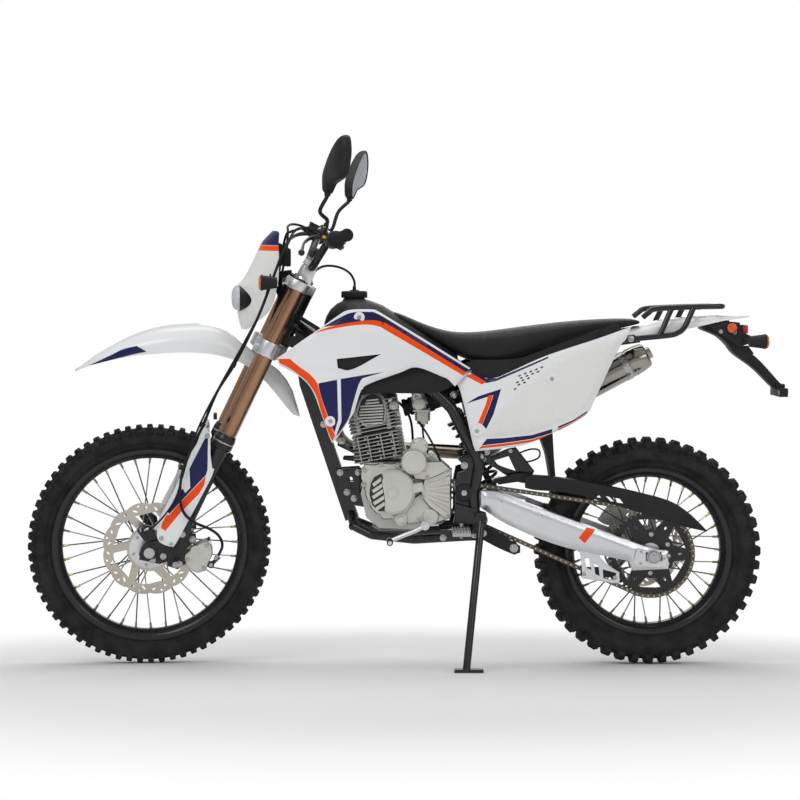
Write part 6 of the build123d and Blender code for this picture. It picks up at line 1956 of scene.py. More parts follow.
guide.join(bolt((956, -103.2, 388), (0, -1, 0), 6, 3.4, True, 2))
finishes = [ALLOY, BLACK_PLASTIC, STEEL, BLACK_PLASTIC]
piece("chain_guide_plates", "chassis", guide, finishes, ["chain_guides"], bevel=0.8, sharp=35)

# ---- Shock absorber: damper, spring and collars ----
SHOCK_TOP, SHOCK_FOOT = Vector((884, 0, 724)), Vector((992, 0, 492))
SHOCK_RUN = (SHOCK_FOOT - SHOCK_TOP).normalized()
damper = lathe(SHOCK_TOP, SHOCK_RUN, [
    (0, -6), (14, -6), (17, -3), (17, 14), (24, 17), (38, 18.5), (39.5, 20), (39.5, 27), (38, 29.5), (24, 30),
    (24, 120), (22, 122), (9, 123), (9, 218), (22, 219), (36, 221), (37.5, 223), (37.5, 229), (36, 231), (18, 233),
    (15, 246), (0, 247),
], 44, 0)
damper.join(rod((884, -20, 724), (884, 20, 724), 15, 30, 0))
damper.join(rod((992, -18, 492), (992, 18, 492), 14, 30, 0))
for side in (-1, 1):
    damper.join(bolt((884, side * 20.2, 724), (0, side, 0), 9, 4, True, 1))
_, coil_u, coil_v = frame_on(SHOCK_RUN)
for angle in turns(8):
    out = coil_u * cos(angle) + coil_v * sin(angle)
    place = SHOCK_TOP + SHOCK_RUN * 23.5 + out * 38.6
    damper.join(rod(place - SHOCK_RUN * 3, place + SHOCK_RUN * 3, 1.6, 8, 0))
coil = []
TURNS, STEPS, COIL_START, COIL_END = 7.25, 26, 33, 217
for step in range(int(TURNS * STEPS) + 1):
    along = COIL_START + (COIL_END - COIL_START) * (step / (TURNS * STEPS))
    angle = 2 * pi * step / STEPS
    coil.append(SHOCK_TOP + SHOCK_RUN * along + (coil_u * cos(angle) + coil_v * sin(angle)) * 30)
damper.join(pipe(coil, 5, 10, 2, smooth=False))
piece("shock_damper", "chassis", damper, [BLACK_ALLOY, STEEL, FRAME_PAINT],
    ["shock_absorber"], sharp=38)

# ---- Airbox, with ribs, and the flap that keeps dirt off the damper ----
outline = rounded([
    (914, 806), (1000, 826), (1140, 860), (1122, 726), (1040, 650), (1000, 652), (1004, 700), (960, 760),
], 36, 7)
form = shouldered(outline, [(0.93, -47), (0.985, -44), (1.0, -38), (1.0, 38), (0.985, 44), (0.93, 47)])
flap = rounded([(1128, 716), (1134, 734), (1152, 730), (1160, 600), (1166, 530), (1153, 530), (1141, 600),
    (1121, 664)], 40, 6)
form.join(prism(flap, -51, 51))
for y in (-30, -10, 10, 30):
    form.join(prism([(1150, 724), (1155, 724), (1162, 600), (1167, 534), (1160, 534), (1154, 600)], y - 1.4,
        y + 1.4))
for side in (-1, 1):
    for x, z in ((1122, 840), (1030, 668), (950, 790)):
        form.join(bolt((x, side * 46.6, z), (0, side, 0), 4.5, 3, True, 1, True))
piece("airbox_shell", "chassis", form, [BLACK_PLASTIC, STEEL], ["airbox"], bevel=1.2,
    sharp=38)

# ---- Exhaust ----
HEADER = [
    (598, 24, 752), (552, 40, 742), (536, 84, 660), (590, 134, 608), (700, 160, 606), (860, 156, 592),
    (984, 140, 596),
    (1059, 118, 677.5), (1111.7, 118, 705.9),
]
header = pipe(HEADER, 17, 28, 0, 6)
header.join(lathe((598, 24, 752), (-46, 16, -10),
    [(18, 2), (27, 3), (28, 4.5), (28, 10), (27, 11.5), (18, 12)], 30, 1))
for y in (-21, 21):
    header.join(rod((587, 27 + y, 750), (574, 33 + y, 747), 3.4, 10, 2))
    header.join(rod((582, 30 + y, 748), (577, 31.5 + y, 747.2), 5.6, 6, 2))


def along_shield(share, out=0.0):
    """A point on the heat shield's middle line."""
    return Vector((620 + 300 * share, 159 - 6 * share * share + out, 606 - 14 * share))


shield = []
for k in range(15):
    middle = along_shield(k / 14, 4 * sin(pi * k / 14) - 2)
    shield.append([middle + Vector((0, 21.5 * cos(radians(d)), 21.5 * sin(radians(d))))
        for d in range(-75, 76, 15)])
header.join(loft(shield, 1, closed=False))
for share in (0.12, 0.88):
    header.join(bolt(along_shield(share, 21.8), (0, 1, 0), 4.6, 3, True, 2, True))
piece("exhaust_pipe", "chassis", header, [HEAT, HEAT, STEEL], ["exhaust_header"], sharp=40)

SILENCER_START, SILENCER_END = Vector((1112, 118, 706)), Vector((1450, 118, 888))
CAN_RUN = (SILENCER_END - SILENCER_START).normalized()
CAN_LENGTH = (SILENCER_END - SILENCER_START).length
rows = [(17.2, 0), (20, 0), (20, 6), (41.5, 60), (43, 63), (43, 66), (42.2, 67), (42.2, 70), (43, 71)]
rows += [(radius, CAN_LENGTH + along) for radius, along in (
    (43, -62), (42.2, -61), (42.2, -58), (43, -57), (42.6, -30), (38, -6), (34, 0), (18, 0), (18, 13),
    (17, 14),
    (14.5, 14), (14.5, -4), (0, -4),
)]
can = lathe(SILENCER_START, CAN_RUN, rows, 56)
for along in (96, CAN_LENGTH - 84):
    band = [(43, along), (44.6, along), (44.6, along + 18), (43, along + 18)]
    can.join(lathe(SILENCER_START, CAN_RUN, band, 56, 1, closed=True))
_, can_u, can_v = frame_on(CAN_RUN)
for angle in turns(10):
    out = can_u * cos(angle) + can_v * sin(angle)
    for along in (78, CAN_LENGTH - 50):
        can.join(bolt(SILENCER_START + CAN_RUN * along + out * 42.8, out, 2.6, 1.6, False, 1, True))
strap = [(1228, 800), (1228, 876), (1234, 888), (1246, 888), (1252, 876), (1252, 800)]
can.join(prism(rounded(strap, 30, 5), 75, 79, 1))
can.join(bolt((1240, 79, 868), (0, 1, 0), 6, 4, True, 1))
piece("silencer_can", "chassis", can, [CHROME, STEEL], ["silencer"], bevel=0.5, sharp=38)

# ---- Linkage plate, chain cover and wires behind the side panel ----
outline = rounded([
    (945, 596), (958, 610), (982, 603), (1023, 622), (1051, 628), (1104, 560), (1085, 524), (1051, 531),
    (996, 565),
    (969, 582),
], 30, 5)
inner = plate(outline, -58, -52, 8, [rounded([(990, 590), (1030, 602), (1050, 560), (1004, 576)], 26, 4)])
for x, z in ((960, 594), (1035, 617), (1080, 546)):
    inner.join(bolt((x, -58, z), (0, -1, 0), 6.5, 4.4, False, 1, socket=True))
inner.join(rod((1078, -55, 546), (1078, 10, 546), 9, 18)).join(rod((960, -55, 594), (940, 0, 590), 8, 18))
inner.join(pipe([
    (1050, -50, 606), (1090, -62, 622), (1116, -66, 620), (1116, -66, 600), (1092, -60, 588),
    (1064, -52, 584),
], 2.6, 10))
cover = [(985, 540), (1060, 556), (1112, 548), (1112, 528), (1060, 532), (1000, 524)]
inner.join(prism(rounded(cover, 30, 6), -86, -80, 2))
piece("linkage_plate", "chassis", inner, [FRAME_PAINT, STEEL, BLACK_PLASTIC], bevel=0.5,
    sharp=35)

# ---- Frame details: gussets, bolts and mounts added to the frame's tubes ----
GUSSET = rounded([
    (536, 562), (602, 566), (610, 533), (604, 502), (646, 462), (660, 446), (574, 462), (556, 476),
], 36, 6)
GUSSET_HOLE = rounded([(572, 540), (582, 540), (594, 505), (580, 506)], 30, 4)
MOUNT = rounded([(886, 604), (950, 622), (962, 606), (946, 572), (902, 566)], 36, 6)
# how far out, radius, height and places of the frame's bolts
FRAME_BOLTS = [
    (31, 6.5, 4.6, ((548, 552), (568, 496), (600, 553), (626, 468), (588, 478))),
    (19.2, 6.5, 4.6, ((552, 640), (500, 690))),
    (103.2, 6.5, 4.4, ((842, 376), (930, 384))),
    (103.2, 7, 4.4, ((946, 604), (902, 580))),
]
trim = Form()
for side in (-1, 1):
    trim.join(plate(GUSSET, side * 27, side * 31, 8, [GUSSET_HOLE]))
    trim.join(plate(MOUNT, side * 99, side * 103, 8))
    for y, radius, height, places in FRAME_BOLTS:
        for x, z in places:
            trim.join(bolt((x, side * y, z), (0, side, 0), radius, height, True, 1))
    # weld beads round the joints of the tubes
    for place, axis, radius in (
        ((928, side * 97, 508), (0.05, 0, 1), 16.5), ((862, side * 97, 748), (0.6, 0, -0.8), 16.5),
        ((588, side * 60, 404), (0.3, side, -0.3), 13),
    ):
        bead = []
        _, u, v = frame_on(axis)
        for k in range(37):
            angle = 2 * pi * k / 36
            wobble = 1 + 0.02 * sin(k * 2.7)
            bead.append(Vector(place) + (u * cos(angle) + v * sin(angle)) * radius * wobble)
        trim.join(pipe(bead, 2.1, 8, smooth=False))
    trim.join(rod((542, side * 12, 633), (596, side * 40, 610), 5.5))
    trim.join(rod((558, side * 12, 592), (609, side * 40, 589), 5.5))
for u in (682.5, 840):
    ring = [(29.2, u - 3), (31, u - 2), (31, u + 1), (29.2, u + 1.5)]
    trim.join(lathe(STEER_POINT, STEER_AXIS, ring, 40, closed=True))
piece("frame_fittings", "chassis", trim, [FRAME_PAINT, STEEL], bevel=0.8, sharp=35)

# ---- Rear rack ----
# one side's tubes
RACK_TUBES = [
    [
        (1408, 96, 999), (1424, 93, 1012), (1446, 89, 1023), (1540, 84, 1028), (1622, 79, 1030),
        (1636, 72, 1030),
        (1640, 58, 1030),
    ],
    [(1352, 98, 936), (1400, 98, 940), (1480, 98, 948), (1506, 97, 955), (1526, 95, 972), (1552, 86, 1024)],
    [(1452, 98, 945), (1462, 96, 962), (1482, 88, 1006), (1490, 86, 1022)],
]
rack = Form()
for side in (-1, 1):
    for points in RACK_TUBES:
        rack.join(pipe([(x, side * y, z) for x, y, z in points], 8, 18, 0, 6))
    rack.join(rod((1352, side * 98, 936), (1352, side * 80, 936), 7, 18))
    rack.join(rod((1352, side * 98, 936), (1360, side * 98, 937), 8.4, 18))
    rack.join(bolt((1372, side * 106, 938), (0, side, 0), 6, 4, True, 1))
    rack.join(plate([(1362, 926), (1384, 928), (1384, 950), (1362, 948)], side * 98, side * 105, 10))
    rack.join(pipe([(1500, side * 26, 1028), (1570, side * 26, 1031), (1636, side * 26, 1031)], 5, 14))
rack.join(rod((1640, -60, 1030), (1640, 60, 1030), 8, 20))
for x in (1500, 1570):
    rack.join(rod((x, -82, 1026), (x, 82, 1026), 6, 16))
piece("rack_tubes", "chassis", rack, [FRAME_PAINT, STEEL], ["rear_rack"], sharp=40)

# ---- Subframe ----
UPPER_TUBE = [
    (886, 74, 792), (940, 76, 803), (1000, 78, 820), (1150, 80, 870), (1290, 82, 918), (1340, 81.5, 929),
    (1400, 80, 938),
]
LOWER_TUBE = [(962, 60, 612), (1020, 60, 664), (1080, 61, 722), (1180, 63.5, 818), (1258, 66, 898)]
sub = Form()
for side in (-1, 1):
    for points, radius, sides in ((UPPER_TUBE, 11, 20), (LOWER_TUBE, 9, 18)):
        sub.join(pipe([(x, side * y, z) for x, y, z in points], radius, sides, 0, 8))
    sub.join(rod((862, side * 74, 770), (892, side * 74, 796), 9, 18))
    sub.join(bolt((872, side * 83, 779), (0, side, 0), 7, 5, True, 1))
    sub.join(bolt((966, side * 69, 616), (0, side, 0), 7, 5, True, 1))
for x, z, half in ((1000, 820, 78), (1392, 936, 80), (1258, 904, 80)):
    sub.join(rod((x, -half, z), (x, half, z), 9, 18))
piece("subframe_tubes", "chassis", sub, [FRAME_PAINT, STEEL], ["subframe"], sharp=40)

# ---- Plate holder ----
HOLDER = rounded([
    (1590, 984), (1610, 978), (1650, 986), (1664, 990), (1690, 932), (1756, 872), (1806, 818), (1825, 797),
    (1812, 784),
    (1790, 800), (1740, 850), (1684, 892), (1662, 920), (1632, 946), (1586, 966),
], 36, 7)


def holder_half(z):
    return table([(784, 17), (830, 20), (880, 27), (930, 33), (990, 33)], z)


inner = shrunk(HOLDER, 0.94)
arm = loft([
    [Vector((x, side * (holder_half(z) + out), z)) for x, z in outline]
    for side, out, outline in ((-1, 1, inner), (-1, 0, HOLDER), (1, 0, HOLDER), (1, 1, inner))
])
for start, end in (((1680, 922), (1722, 884)), ((1722, 878), (1766, 838)), ((1640, 966), (1672, 928))):
    for side in (-1, 1):
        arm.join(rod((start[0], side * 31, start[1]), (end[0], side * 25, end[1]), 2.4, 10))
arm.join(prism(rounded([(1700, 914), (1724, 916), (1740, 894), (1726, 884), (1708, 898)], 30, 4), -14, 14))
flange = rounded([
    (1600, 974), (1650, 986), (1690, 984), (1692, 958), (1726, 944), (1730, 930), (1718, 924), (1690, 914),
    (1648, 944),
], 36, 6)
for side in (-1, 1):
    arm.join(plate(flange, side * 55, side * 59, 8))
arm.join(box((1650, -57, 978), (1690, 57, 984)))
arm.join(prism([(1650, 950), (1662, 936), (1668, 938), (1656, 954)], -57, 57))
foot = rounded([(1804, 771), (1827, 771), (1828, 795), (1804, 796)], 30, 3)
arm.join(prism(foot, -60, 60))
front_ring = [(3.3, 0), (6, 0), (6.6, 0.6), (6.6, 1.6), (3.3, 1.6)]
rear_ring = [(3.3, 0), (6, 0), (6, 1.2), (5, 1.6), (3.3, 1.6)]
for y in (-50, 50):
    arm.join(lathe((1802.6, y, 783), (1, 0, 0), front_ring, 20, 1, closed=True))
    arm.join(lathe((1827.6, y, 783), (1, 0, 0), rear_ring, 20, 1, closed=True))
arm.join(box((1800, -26, 795), (1826, 26, 806)))
arm.join(prism([(1822, 796), (1828, 796), (1828, 805), (1822, 805)], -22, 22, 2))
for x, z in ((1636, 962), (1676, 960)):
    for side in (-1, 1):
        arm.join(bolt((x, side * 59, z - 4), (0, side, 0), 4, 3, True, 1, True))
finishes = [BLACK_PLASTIC, STEEL, RED]
piece("plate_holder_arm", "chassis", arm, finishes, ["plate_holder"], bevel=0.9, sharp=38)

# ---- Tail lamp, indicators, reflectors ----
lens = rounded([(-51, -13), (51, -13), (51, 13), (-51, 13)], 60, 6)
lamps = box((1690.5, -50, 951), (1702, 50, 977), 1).join(loft([
    [Vector((x, y * wide, 964 + z * tall)) for y, z in lens]
    for x, wide, tall in ((1702, 1, 1), (1708, 1, 1), (1712.5, 0.985, 0.94), (1715, 0.96, 0.84),
        (1716, 0.92, 0.7))
]))
lamps.join(box((1698, -38, 926), (1710, 38, 951), 1))
body = [(12, -28), (15, -27), (19.8, 12), (21, 14), (21, 18), (20, 20), (19.5, 20.5)]
glass = [(19.4, 20.4), (18.6, 23.5), (15.5, 26), (9, 27.6), (0, 28)]
reflector = [(14.2, 4.8), (13.4, 6), (9, 6.6), (0, 6.8)]
for side in (-1, 1):
    lamps.join(pipe([(1704, side * 34, 932), (1704, side * 90, 932), (1706, side * 150, 932)], 6.4, 18, 1))
    for y in range(60, 132, 9):
        lamps.join(rod((1704.4, side * (y - 1.6), 932), (1704.4, side * (y + 1.6), 932), 7.2, 18, 1))
    lamps.join(lathe((1722, side * 158, 932), (1, 0, 0), body, 32, 1))
    lamps.join(lathe((1722, side * 158, 932), (1, 0, 0), glass, 32, 2))
    lamps.join(rod((1700, side * 146, 932), (1712, side * 158, 932), 9, 18, 1))
    lamps.join(lathe((1667, side * 59.4, 968), (0, side, 0), [(16, 0), (16, 4), (15, 5)], 36, 1))
    lamps.join(lathe((1667, side * 59.4, 968), (0, side, 0), reflector, 36, 3))
finishes = [RED, BLACK_PLASTIC, AMBER, REFLECTOR]
piece("tail_lamp_set", "chassis", lamps, finishes, ["tail_lamps"], bevel=0.5, sharp=38)

# ---- Indicators at the front, on rubber stalks ----
body = [(12, -26), (15, -25.4), (20.6, 12), (22, 14), (22, 18), (21, 20), (20.4, 20.4)]
glass = [(20.3, 20.2), (19, 23), (15.5, 25), (9, 25.8), (0, 26)]
lamps = Form()
for side in (-1, 1):
    start, end = Vector((350, side * 116, 1110)), Vector((334, side * 168, 1108))
    run = (end - start).normalized()
    lamps.join(pipe([start, (343, side * 140, 1109), end], 6, 18))
    for k in range(5):
        middle = start.lerp(end, 0.2 + k * 0.14)
        lamps.join(rod(middle - run * 1.5, middle + run * 1.5, 7, 18))
    lamps.join(lathe((330, side * 178, 1107), (-1, 0, 0), body, 32))
    lamps.join(lathe((330, side * 178, 1107), (-1, 0, 0), glass, 32, 1))
    lamps.join(rod((336, side * 160, 1108), (330, side * 172, 1107), 9, 18))
    lamps.join(rod((350, side * 104, 1110), (350, side * 118, 1110), 9, 6, 2))
finishes = [BLACK_PLASTIC, AMBER, STEEL]
piece("front_indicator_lamps", "steering", lamps, finishes, ["front_indicators"], bevel=0.4,
    sharp=38)

# ---- Instrument and its bracket ----
back = [(322.6, 1030), (322.6, 1080), (336, 1200), (352, 1226), (366, 1221), (366, 1110), (352, 1040)]
dash = prism(rounded(back, 36, 8), -30, 30)
dash.join(prism([(352, 1094), (352, 1128), (406, 1135), (406, 1126), (398, 1122), (378, 1112)], -25, 25))
dash.join(box((346.4, -103, 1097), (355.6, 103, 1123)))
case = rounded([(364, 1152), (364, 1210), (372, 1213), (402, 1196), (402, 1148), (392, 1146)], 36, 5)
dash.join(loft([
    [Vector((384 + (x - 384) * size, y, 1180 + (z - 1180) * size)) for x, z in case]
    for y, size in ((-48, 0.84), (-47, 0.95), (-43, 1.0), (43, 1.0), (47, 0.95), (48, 0.84))
]))
dial = rounded([(-42, -19), (42, -19), (42, 19), (-42, 19)], 60, 5)
dash.join(loft([
    [Vector((402.2 + out, y * size, 1172 + z * size)) for y, z in dial] for out,
    size in ((-1, 1.0), (0.4, 0.99))
], 1))
dash.join(box((402.4, -30, 1164), (402.9, 6, 1182), 2))
for number in range(3):
    y = 16 + number * 9
    dash.join(rod((402.2, y, 1180), (403.2, y, 1180), 2.2, 14, 3 + number % 2))
for side in (-1, 1):
    dash.join(bolt((352, side * 88, 1123.4), (0, 0, 1), 5, 4, True, 5))
    dash.join(pipe([(360, side * 20, 1090), (372, side * 30, 1060), (384, side * 34, 1020),
        (384, side * 30, 990)], 5, 12, 0))
dash.join(box((330, -24, 1060), (352, -2, 1086), 0)).join(box((330, 4, 1060), (350, 24, 1082), 0))
finishes = [BLACK_PLASTIC, MIRROR_GLASS, DARK_STEEL, AMBER, RED, STEEL]
piece("instrument_case", "steering", dash, finishes, ["instrument"], bevel=0.8, sharp=35)
bracket = box((29.5, -24, 870.4), (59, 24, 875.6))
for y in (-16, 16):
    bracket.join(bolt((38, y, 875.8), (0, 0, 1), 4.4, 3.4, True, 1, True))
piece("instrument_foot", "steering", bracket.moved(FORK), [BLACK_PLASTIC, STEEL], bevel=0.6)

# ---- Footpegs ----
hanger = rounded([(878, 381), (908, 381), (910, 404), (902, 411), (882, 411), (876, 402)], 36, 4)
pegs = Form()
for side in (-1, 1):
    pegs.join(prism(hanger, *sorted((side * 103.4, side * 130)), 1))
    pegs.join(rod((893, side * 124, 378), (893, side * 124, 416), 5.5, 16))
    pegs.join(bolt((893, side * 124, 416), (0, 0, 1), 6, 3))
    for x in (865, 912):
        pegs.join(box((x, side * 132, 396), (x + 3.4, side * 213, 407)))
        for k in range(9):
            y = side * (138 + k * 8.6)
            pegs.join(prism([(x, 406), (x + 3.4, 406), (x + 2.4, 412), (x + 1, 412)], y - 2.6, y + 2.6))
    for y in (132, 158, 184, 210):
        pegs.join(box((866, side * y, 395), (914, side * (y + 3.4), 407)))
        for k in range(5):
            pegs.join(box((872 + k * 8.6, side * (y + 0.6), 406), (876 + k * 8.6, side * (y + 2.8), 411.6)))
    pegs.join(rod((888, side * 128, 398), (888, side * 134, 398), 9, 18, 1))
piece("serrated_pegs", "chassis", pegs, [STEEL, FRAME_PAINT], ["footpegs"], bevel=0.5,
    sharp=35)

# ---- Calipers ----
outline = rounded([
    (96, 316), (97, 332), (118, 348), (139, 363), (161, 370), (174, 358), (177, 331), (165, 304), (157, 284),
    (140, 278), (124, 280), (106, 296),
], 36, 6)
caliper = shouldered(outline, [(0.80, -94), (0.92, -93), (0.985, -89), (1.0, -84), (1.0, -74.6)])
caliper.join(shouldered(outline, [(1.0, -57.4), (1.0, -50), (0.985, -46), (0.9, -44)]))
bridge = rounded([
    (138, 283), (157, 284), (165, 304), (177, 331), (174, 357), (161, 369), (146, 366), (152, 345),
    (150, 322),
    (142, 300),
], 36, 6)
caliper.join(prism(bridge, -76, -56))
cap = [(15, -3), (15, 0.5), (14, 2), (9, 2), (8.5, 0.8), (0, 0.8)]
for x, z in ((128, 342), (146, 314)):
    caliper.join(lathe((x, -93, z), (0, -1, 0), cap, 30))
for x, z in ((108, 318), (160, 356), (152, 292)):
    caliper.join(bolt((x, -92, z), (0, -1, 0), 6, 5, True, 1))
for k in range(4):
    x, low, high = 112 + k * 9, 300 + k * 3, 338 + k * 2
    caliper.join(prism([(x, low), (x + 4, low), (x + 18, high), (x + 14, high)], -94.6, -90))
carrier = [(50, 300), (78, 290), (102, 306), (104, 356), (92, 372), (70, 366), (44, 350)]
caliper.join(prism(rounded(carrier, 36, 6), -93, -82, 2))
for x, z in ((64, 352), (86, 360), (84, 304)):
    caliper.join(bolt((x, -93, z), (0, -1, 0), 6, 4.4, True, 1))
caliper.join(rod((172, -90, 300), (172, -80, 300), 10, 20, 2))
caliper.join(rod((172, -85, 300), (196, -88, 322), 6, 16, 2, 5))
caliper.join(bolt((172, -90, 300), (0, -1, 0), 6.5, 4, False, 1))
caliper.join(rod((160, -85, 362), (167, -85, 376), 3, 12, 1))
caliper.join(rod((164, -85, 370), (168, -85, 379), 4.4, 12, 2))
piece(
    "front_caliper_body", "steering", caliper, [COVER, STEEL, BLACK_ALLOY], ["front_caliper"],
    bevel=1.4, segments=3, sharp=32,
)

outline = rounded([
    (1301, 402), (1316, 424), (1332, 446), (1360, 446), (1384, 436), (1380, 414), (1364, 392), (1340, 388),
    (1318, 392),
], 36, 6)
caliper = shouldered(outline, [(0.84, 54), (0.95, 55.5), (1.0, 58), (1.0, 62)])
caliper.join(shouldered(outline, [(1.0, 78), (1.0, 82), (0.95, 85), (0.84, 86)]))
bridge = [(1310, 420), (1332, 448), (1362, 448), (1386, 438), (1384, 426), (1360, 434), (1336, 432)]
caliper.join(prism(rounded(bridge, 36, 5), 60, 80))
for x, z in ((1330, 420), (1360, 414)):
    caliper.join(lathe((x, 85, z), (0, 1, 0), [(12, -2), (12, 0.8), (11, 2), (0, 2)], 26))
for x, z in ((1318, 404), (1376, 428), (1342, 440)):
    caliper.join(bolt((x, 85, z), (0, 1, 0), 5, 4, True, 1))
carrier = [(1372, 396), (1398, 372), (1420, 350), (1436, 346), (1440, 356), (1410, 390), (1388, 414)]
caliper.join(prism(rounded(carrier, 36, 5), 62, 67))
piece(
    "rear_caliper_body", "chassis", caliper, [CAST, STEEL], ["rear_caliper"],
    bevel=1.2, segments=3, sharp=32,
)

# ---- Cables and hoses ----
def ended(points, radius, sides=14):
    """A hose with a crimped sleeve, of the second finish, at each end."""
    form = pipe(points, radius, sides, 0, 6)
    sleeve = [(radius, 0), (radius + 1.6, 0.6), (radius + 1.6, 14), (radius + 0.2, 16)]
    for end, inner in ((Vector(points[0]), Vector(points[1])), (Vector(points[-1]), Vector(points[-2]))):
        form.join(lathe(end, (inner - end).normalized(), sleeve, sides, 1))
    return form


HOSE = [
    (184, -98, 318), (197, -106, 338), (204, -114, 362), (194, -123, 390), (168, -132, 412), (128, -139, 432),
    (98, -144, 460), (87, -147, 500), (92, -148, 570), (122, -148, 650), (150, -148, 705), (190, -148, 800),
    (240, -148, 880), (300, -149, 1000), (336, -148, 1090), (366, -140, 1170), (392, -104, 1218),
    (408, -30, 1240),
    (424, 60, 1250), (446, 150, 1252), (472, 208, 1234), (478.9, 235, 1235.4),
]
lines = ended(HOSE, 4)
WIRE = [
    (352, -60, 1160), (340, -100, 1120), (318, -136, 1040), (266, -152, 940), (204, -157, 830),
    (146, -156, 720),
    (116, -153, 640), (92, -150, 560), (76, -149, 508), (50, -144, 464), (15, -134, 424), (-14, -122, 410),
]
lines.join(ended(WIRE, 2.6, 12))
run = Vector((0.46, 0, 0.88))
for place in ((92, -148, 590), (150, -149, 708), (236, -149, 876)):
    lines.join(lathe(Vector(place) - run * 7, run, [(4.2, 0), (7, 0.5), (7, 13.5), (4.2, 14)], 16, 2))
lines.join(box((180, -152, 724), (190, -122, 740), 2)).join(box((-22, -126, 402), (-6, -112, 418), 2))
piece("brake_line", "steering", lines, [SOFT_RUBBER, STEEL, BLACK_PLASTIC], ["brake_hose"],
    sharp=45)

VENT = [(588, 0, 1079.5), (588, 0, 1102), (574, 0, 1126), (546, 0, 1142), (512, 0, 1147), (486, 0, 1140)]
hose = pipe(VENT + [up_fork(86, 0, 897), up_fork(86, 0, 867)], 3.5, 14, 0, 5)
hose.join(lathe((588, 0, 1079.4), (0, 0, 1), [(3.6, 0), (5, 0.4), (5, 8), (3.6, 8.4)], 18))
piece("breather_hose", "chassis", hose, [SOFT_RUBBER], ["vent_hose"], sharp=45)

# each cable's points on the bars, then its points on the frame
CABLES = [
    ("clutch_cable", [
        (473.5, -243, 1247), (452, -243, 1257), (428, -226, 1260), (406, -168, 1252), (397, -90, 1246),
        (392, 14, 1236),
        (384, 62, 1190), (374, 70, 1110), (384, 62, 1040),
    ], [
        (428, 54, 1000), (484, 52, 964), (540, 46, 925), (576, 46, 876), (610, 70, 830), (660, 94, 788),
        (722, 99, 740),
        (752, 98, 690), (760, 97, 590.5),
    ]),
    ("throttle_cable", [
        (473.5, 243, 1247), (450, 243, 1259), (422, 218, 1264), (403, 130, 1258), (396, 0, 1246),
        (389, -58, 1196),
        (374, -70, 1110), (384, -62, 1040),
    ], [
        (428, -54, 1000), (484, -52, 964), (540, -46, 925), (640, -38, 880), (735, -18, 838), (775, 0, 804),
        (775, 0, 772.5),
    ]),
]
for name, on_bars, on_frame in CABLES:
    leaves, joins = AT["steering"] @ Vector(on_bars[-1]), AT["chassis"] @ Vector(on_frame[1])
    path = [AT["chassis"].inverted() @ AT["steering"] @ Vector(p) for p in on_bars] + [Vector(p)
        for p in on_frame]
    piece(
        name, "chassis", ended(path, 3.6), [SOFT_RUBBER, BLACK_ALLOY],
        ["control_cables"] if name == "clutch_cable" else [], sharp=45,
        between=("steering", "chassis", leaves * METRES, joins * METRES),
    )

# ---- Camera, floor and light ----
CAMERA_PLACE = (720, -4600, 1048)
LENS, SENSOR, SHIFT = 71.6, 36, -0.125
camera_data = bpy.data.cameras.new("camera")
camera_data.lens = LENS
camera_data.sensor_width = SENSOR
camera_data.shift_y = SHIFT
camera_data.clip_end = 100
camera = bpy.data.objects.new("camera", camera_data)
bpy.context.scene.collection.objects.link(camera)
camera.matrix_world = metres(PLACE @ Matrix.Translation(CAMERA_PLACE)) @ Matrix.Rotation(pi / 2, 4, "X")
bpy.context.scene.camera = camera

floor_mesh = bpy.data.meshes.new("floor")
floor_mesh.from_pydata([(-40, -40, 0), (40, -40, 0), (40, 40, 0), (-40, 40, 0)], [], [(0, 1, 2, 3)])
floor = bpy.data.objects.new("floor", floor_mesh)
bpy.context.scene.collection.objects.link(floor)
FLOOR_COLOUR = (0.90, 0.90, 0.90, 1)
WHITE_STARTS, WHITE_ENDS = 1.1, 2.1  # metres from the middle of the floor


def seen_directly(tree, links):
    """1 for rays from the camera and through glass."""
    path = tree.new("ShaderNodeLightPath")
    either = tree.new("ShaderNodeMath")
    either.operation = "MAXIMUM"
    links.new(path.outputs["Is Camera Ray"], either.inputs[0])
    links.new(path.outputs["Is Transmission Ray"], either.inputs[1])
    return either.outputs[0]


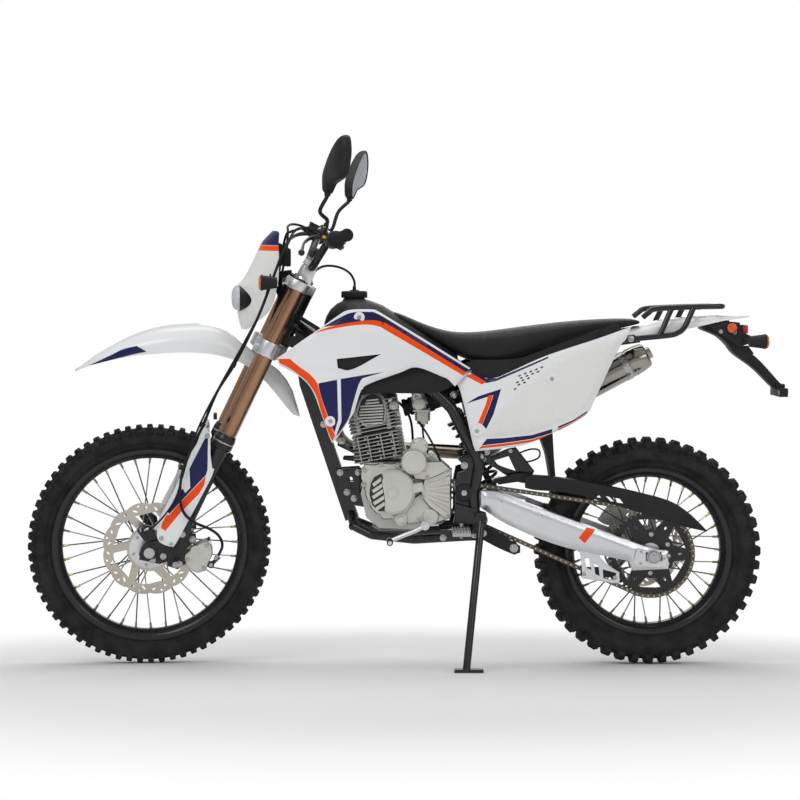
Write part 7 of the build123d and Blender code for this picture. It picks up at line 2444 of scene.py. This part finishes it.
# Pale round the machine, where it takes the shadow, and plain white further out.
floor_mat, tree, links = new_material("floor_pale")
shader = tree["Principled BSDF"]
shader.inputs["Base Color"].default_value = FLOOR_COLOUR
shader.inputs["Roughness"].default_value = 0.9
shader.inputs["Specular IOR Level"].default_value = 0.1
coords = tree.new("ShaderNodeTexCoord").outputs["Object"]
reach = tree.new("ShaderNodeVectorMath")
reach.operation = "LENGTH"
links.new(coords, reach.inputs[0])
fade = tree.new("ShaderNodeMapRange")
fade.interpolation_type = "SMOOTHSTEP"
fade.inputs["From Min"].default_value = WHITE_STARTS
fade.inputs["From Max"].default_value = WHITE_ENDS
links.new(reach.outputs["Value"], fade.inputs["Value"])
both = tree.new("ShaderNodeMath")
both.operation = "MULTIPLY"
links.new(fade.outputs["Result"], both.inputs[0])
links.new(seen_directly(tree, links), both.inputs[1])
glow = tree.new("ShaderNodeEmission")
glow.inputs["Strength"].default_value = 1
mix = tree.new("ShaderNodeMixShader")
links.new(both.outputs[0], mix.inputs[0])
links.new(shader.outputs[0], mix.inputs[1])
links.new(glow.outputs[0], mix.inputs[2])
links.new(mix.outputs[0], tree["Material Output"].inputs["Surface"])
floor_mesh.materials.append(floor_mat)

world = bpy.data.worlds.new("studio")
bpy.context.scene.world = world
world.use_nodes = True
tree, links = world.node_tree.nodes, world.node_tree.links
background = tree["Background"]
background.inputs["Color"].default_value = (1, 1, 1, 1)
background.inputs["Strength"].default_value = 0.45
seen = tree.new("ShaderNodeBackground")
seen.inputs["Color"].default_value = (1, 1, 1, 1)
seen.inputs["Strength"].default_value = 1
mix = tree.new("ShaderNodeMixShader")
links.new(seen_directly(tree, links), mix.inputs[0])
links.new(background.outputs[0], mix.inputs[1])
links.new(seen.outputs[0], mix.inputs[2])
links.new(mix.outputs[0], tree["World Output"].inputs["Surface"])


# name, place and target in metres, width and depth, watts
LIGHTS = [
    ("key", (-2.2, -3.4, 3.2), (0, 0, 0.6), (2.6, 2.0), 52),
    ("fill", (3.0, -3.2, 2.2), (0, 0, 0.6), (2.4, 2.0), 24),
    ("top", (0, 0.4, 3.6), (0, 0, 0.5), (3.0, 2.2), 34),
    ("rear", (0.5, 3.6, 2.4), (0, 0, 0.7), (3.0, 2.0), 30),
]
for name, location, target, size, power in LIGHTS:
    data = bpy.data.lights.new(name, "AREA")
    data.shape = "RECTANGLE"
    data.size, data.size_y = size
    data.energy = power
    light = bpy.data.objects.new(name, data)
    light.location = location
    light.rotation_euler = (Vector(target) - Vector(location)).to_track_quat("-Z", "Y").to_euler()
    bpy.context.scene.collection.objects.link(light)

bpy.context.scene.view_settings.view_transform = "Standard"
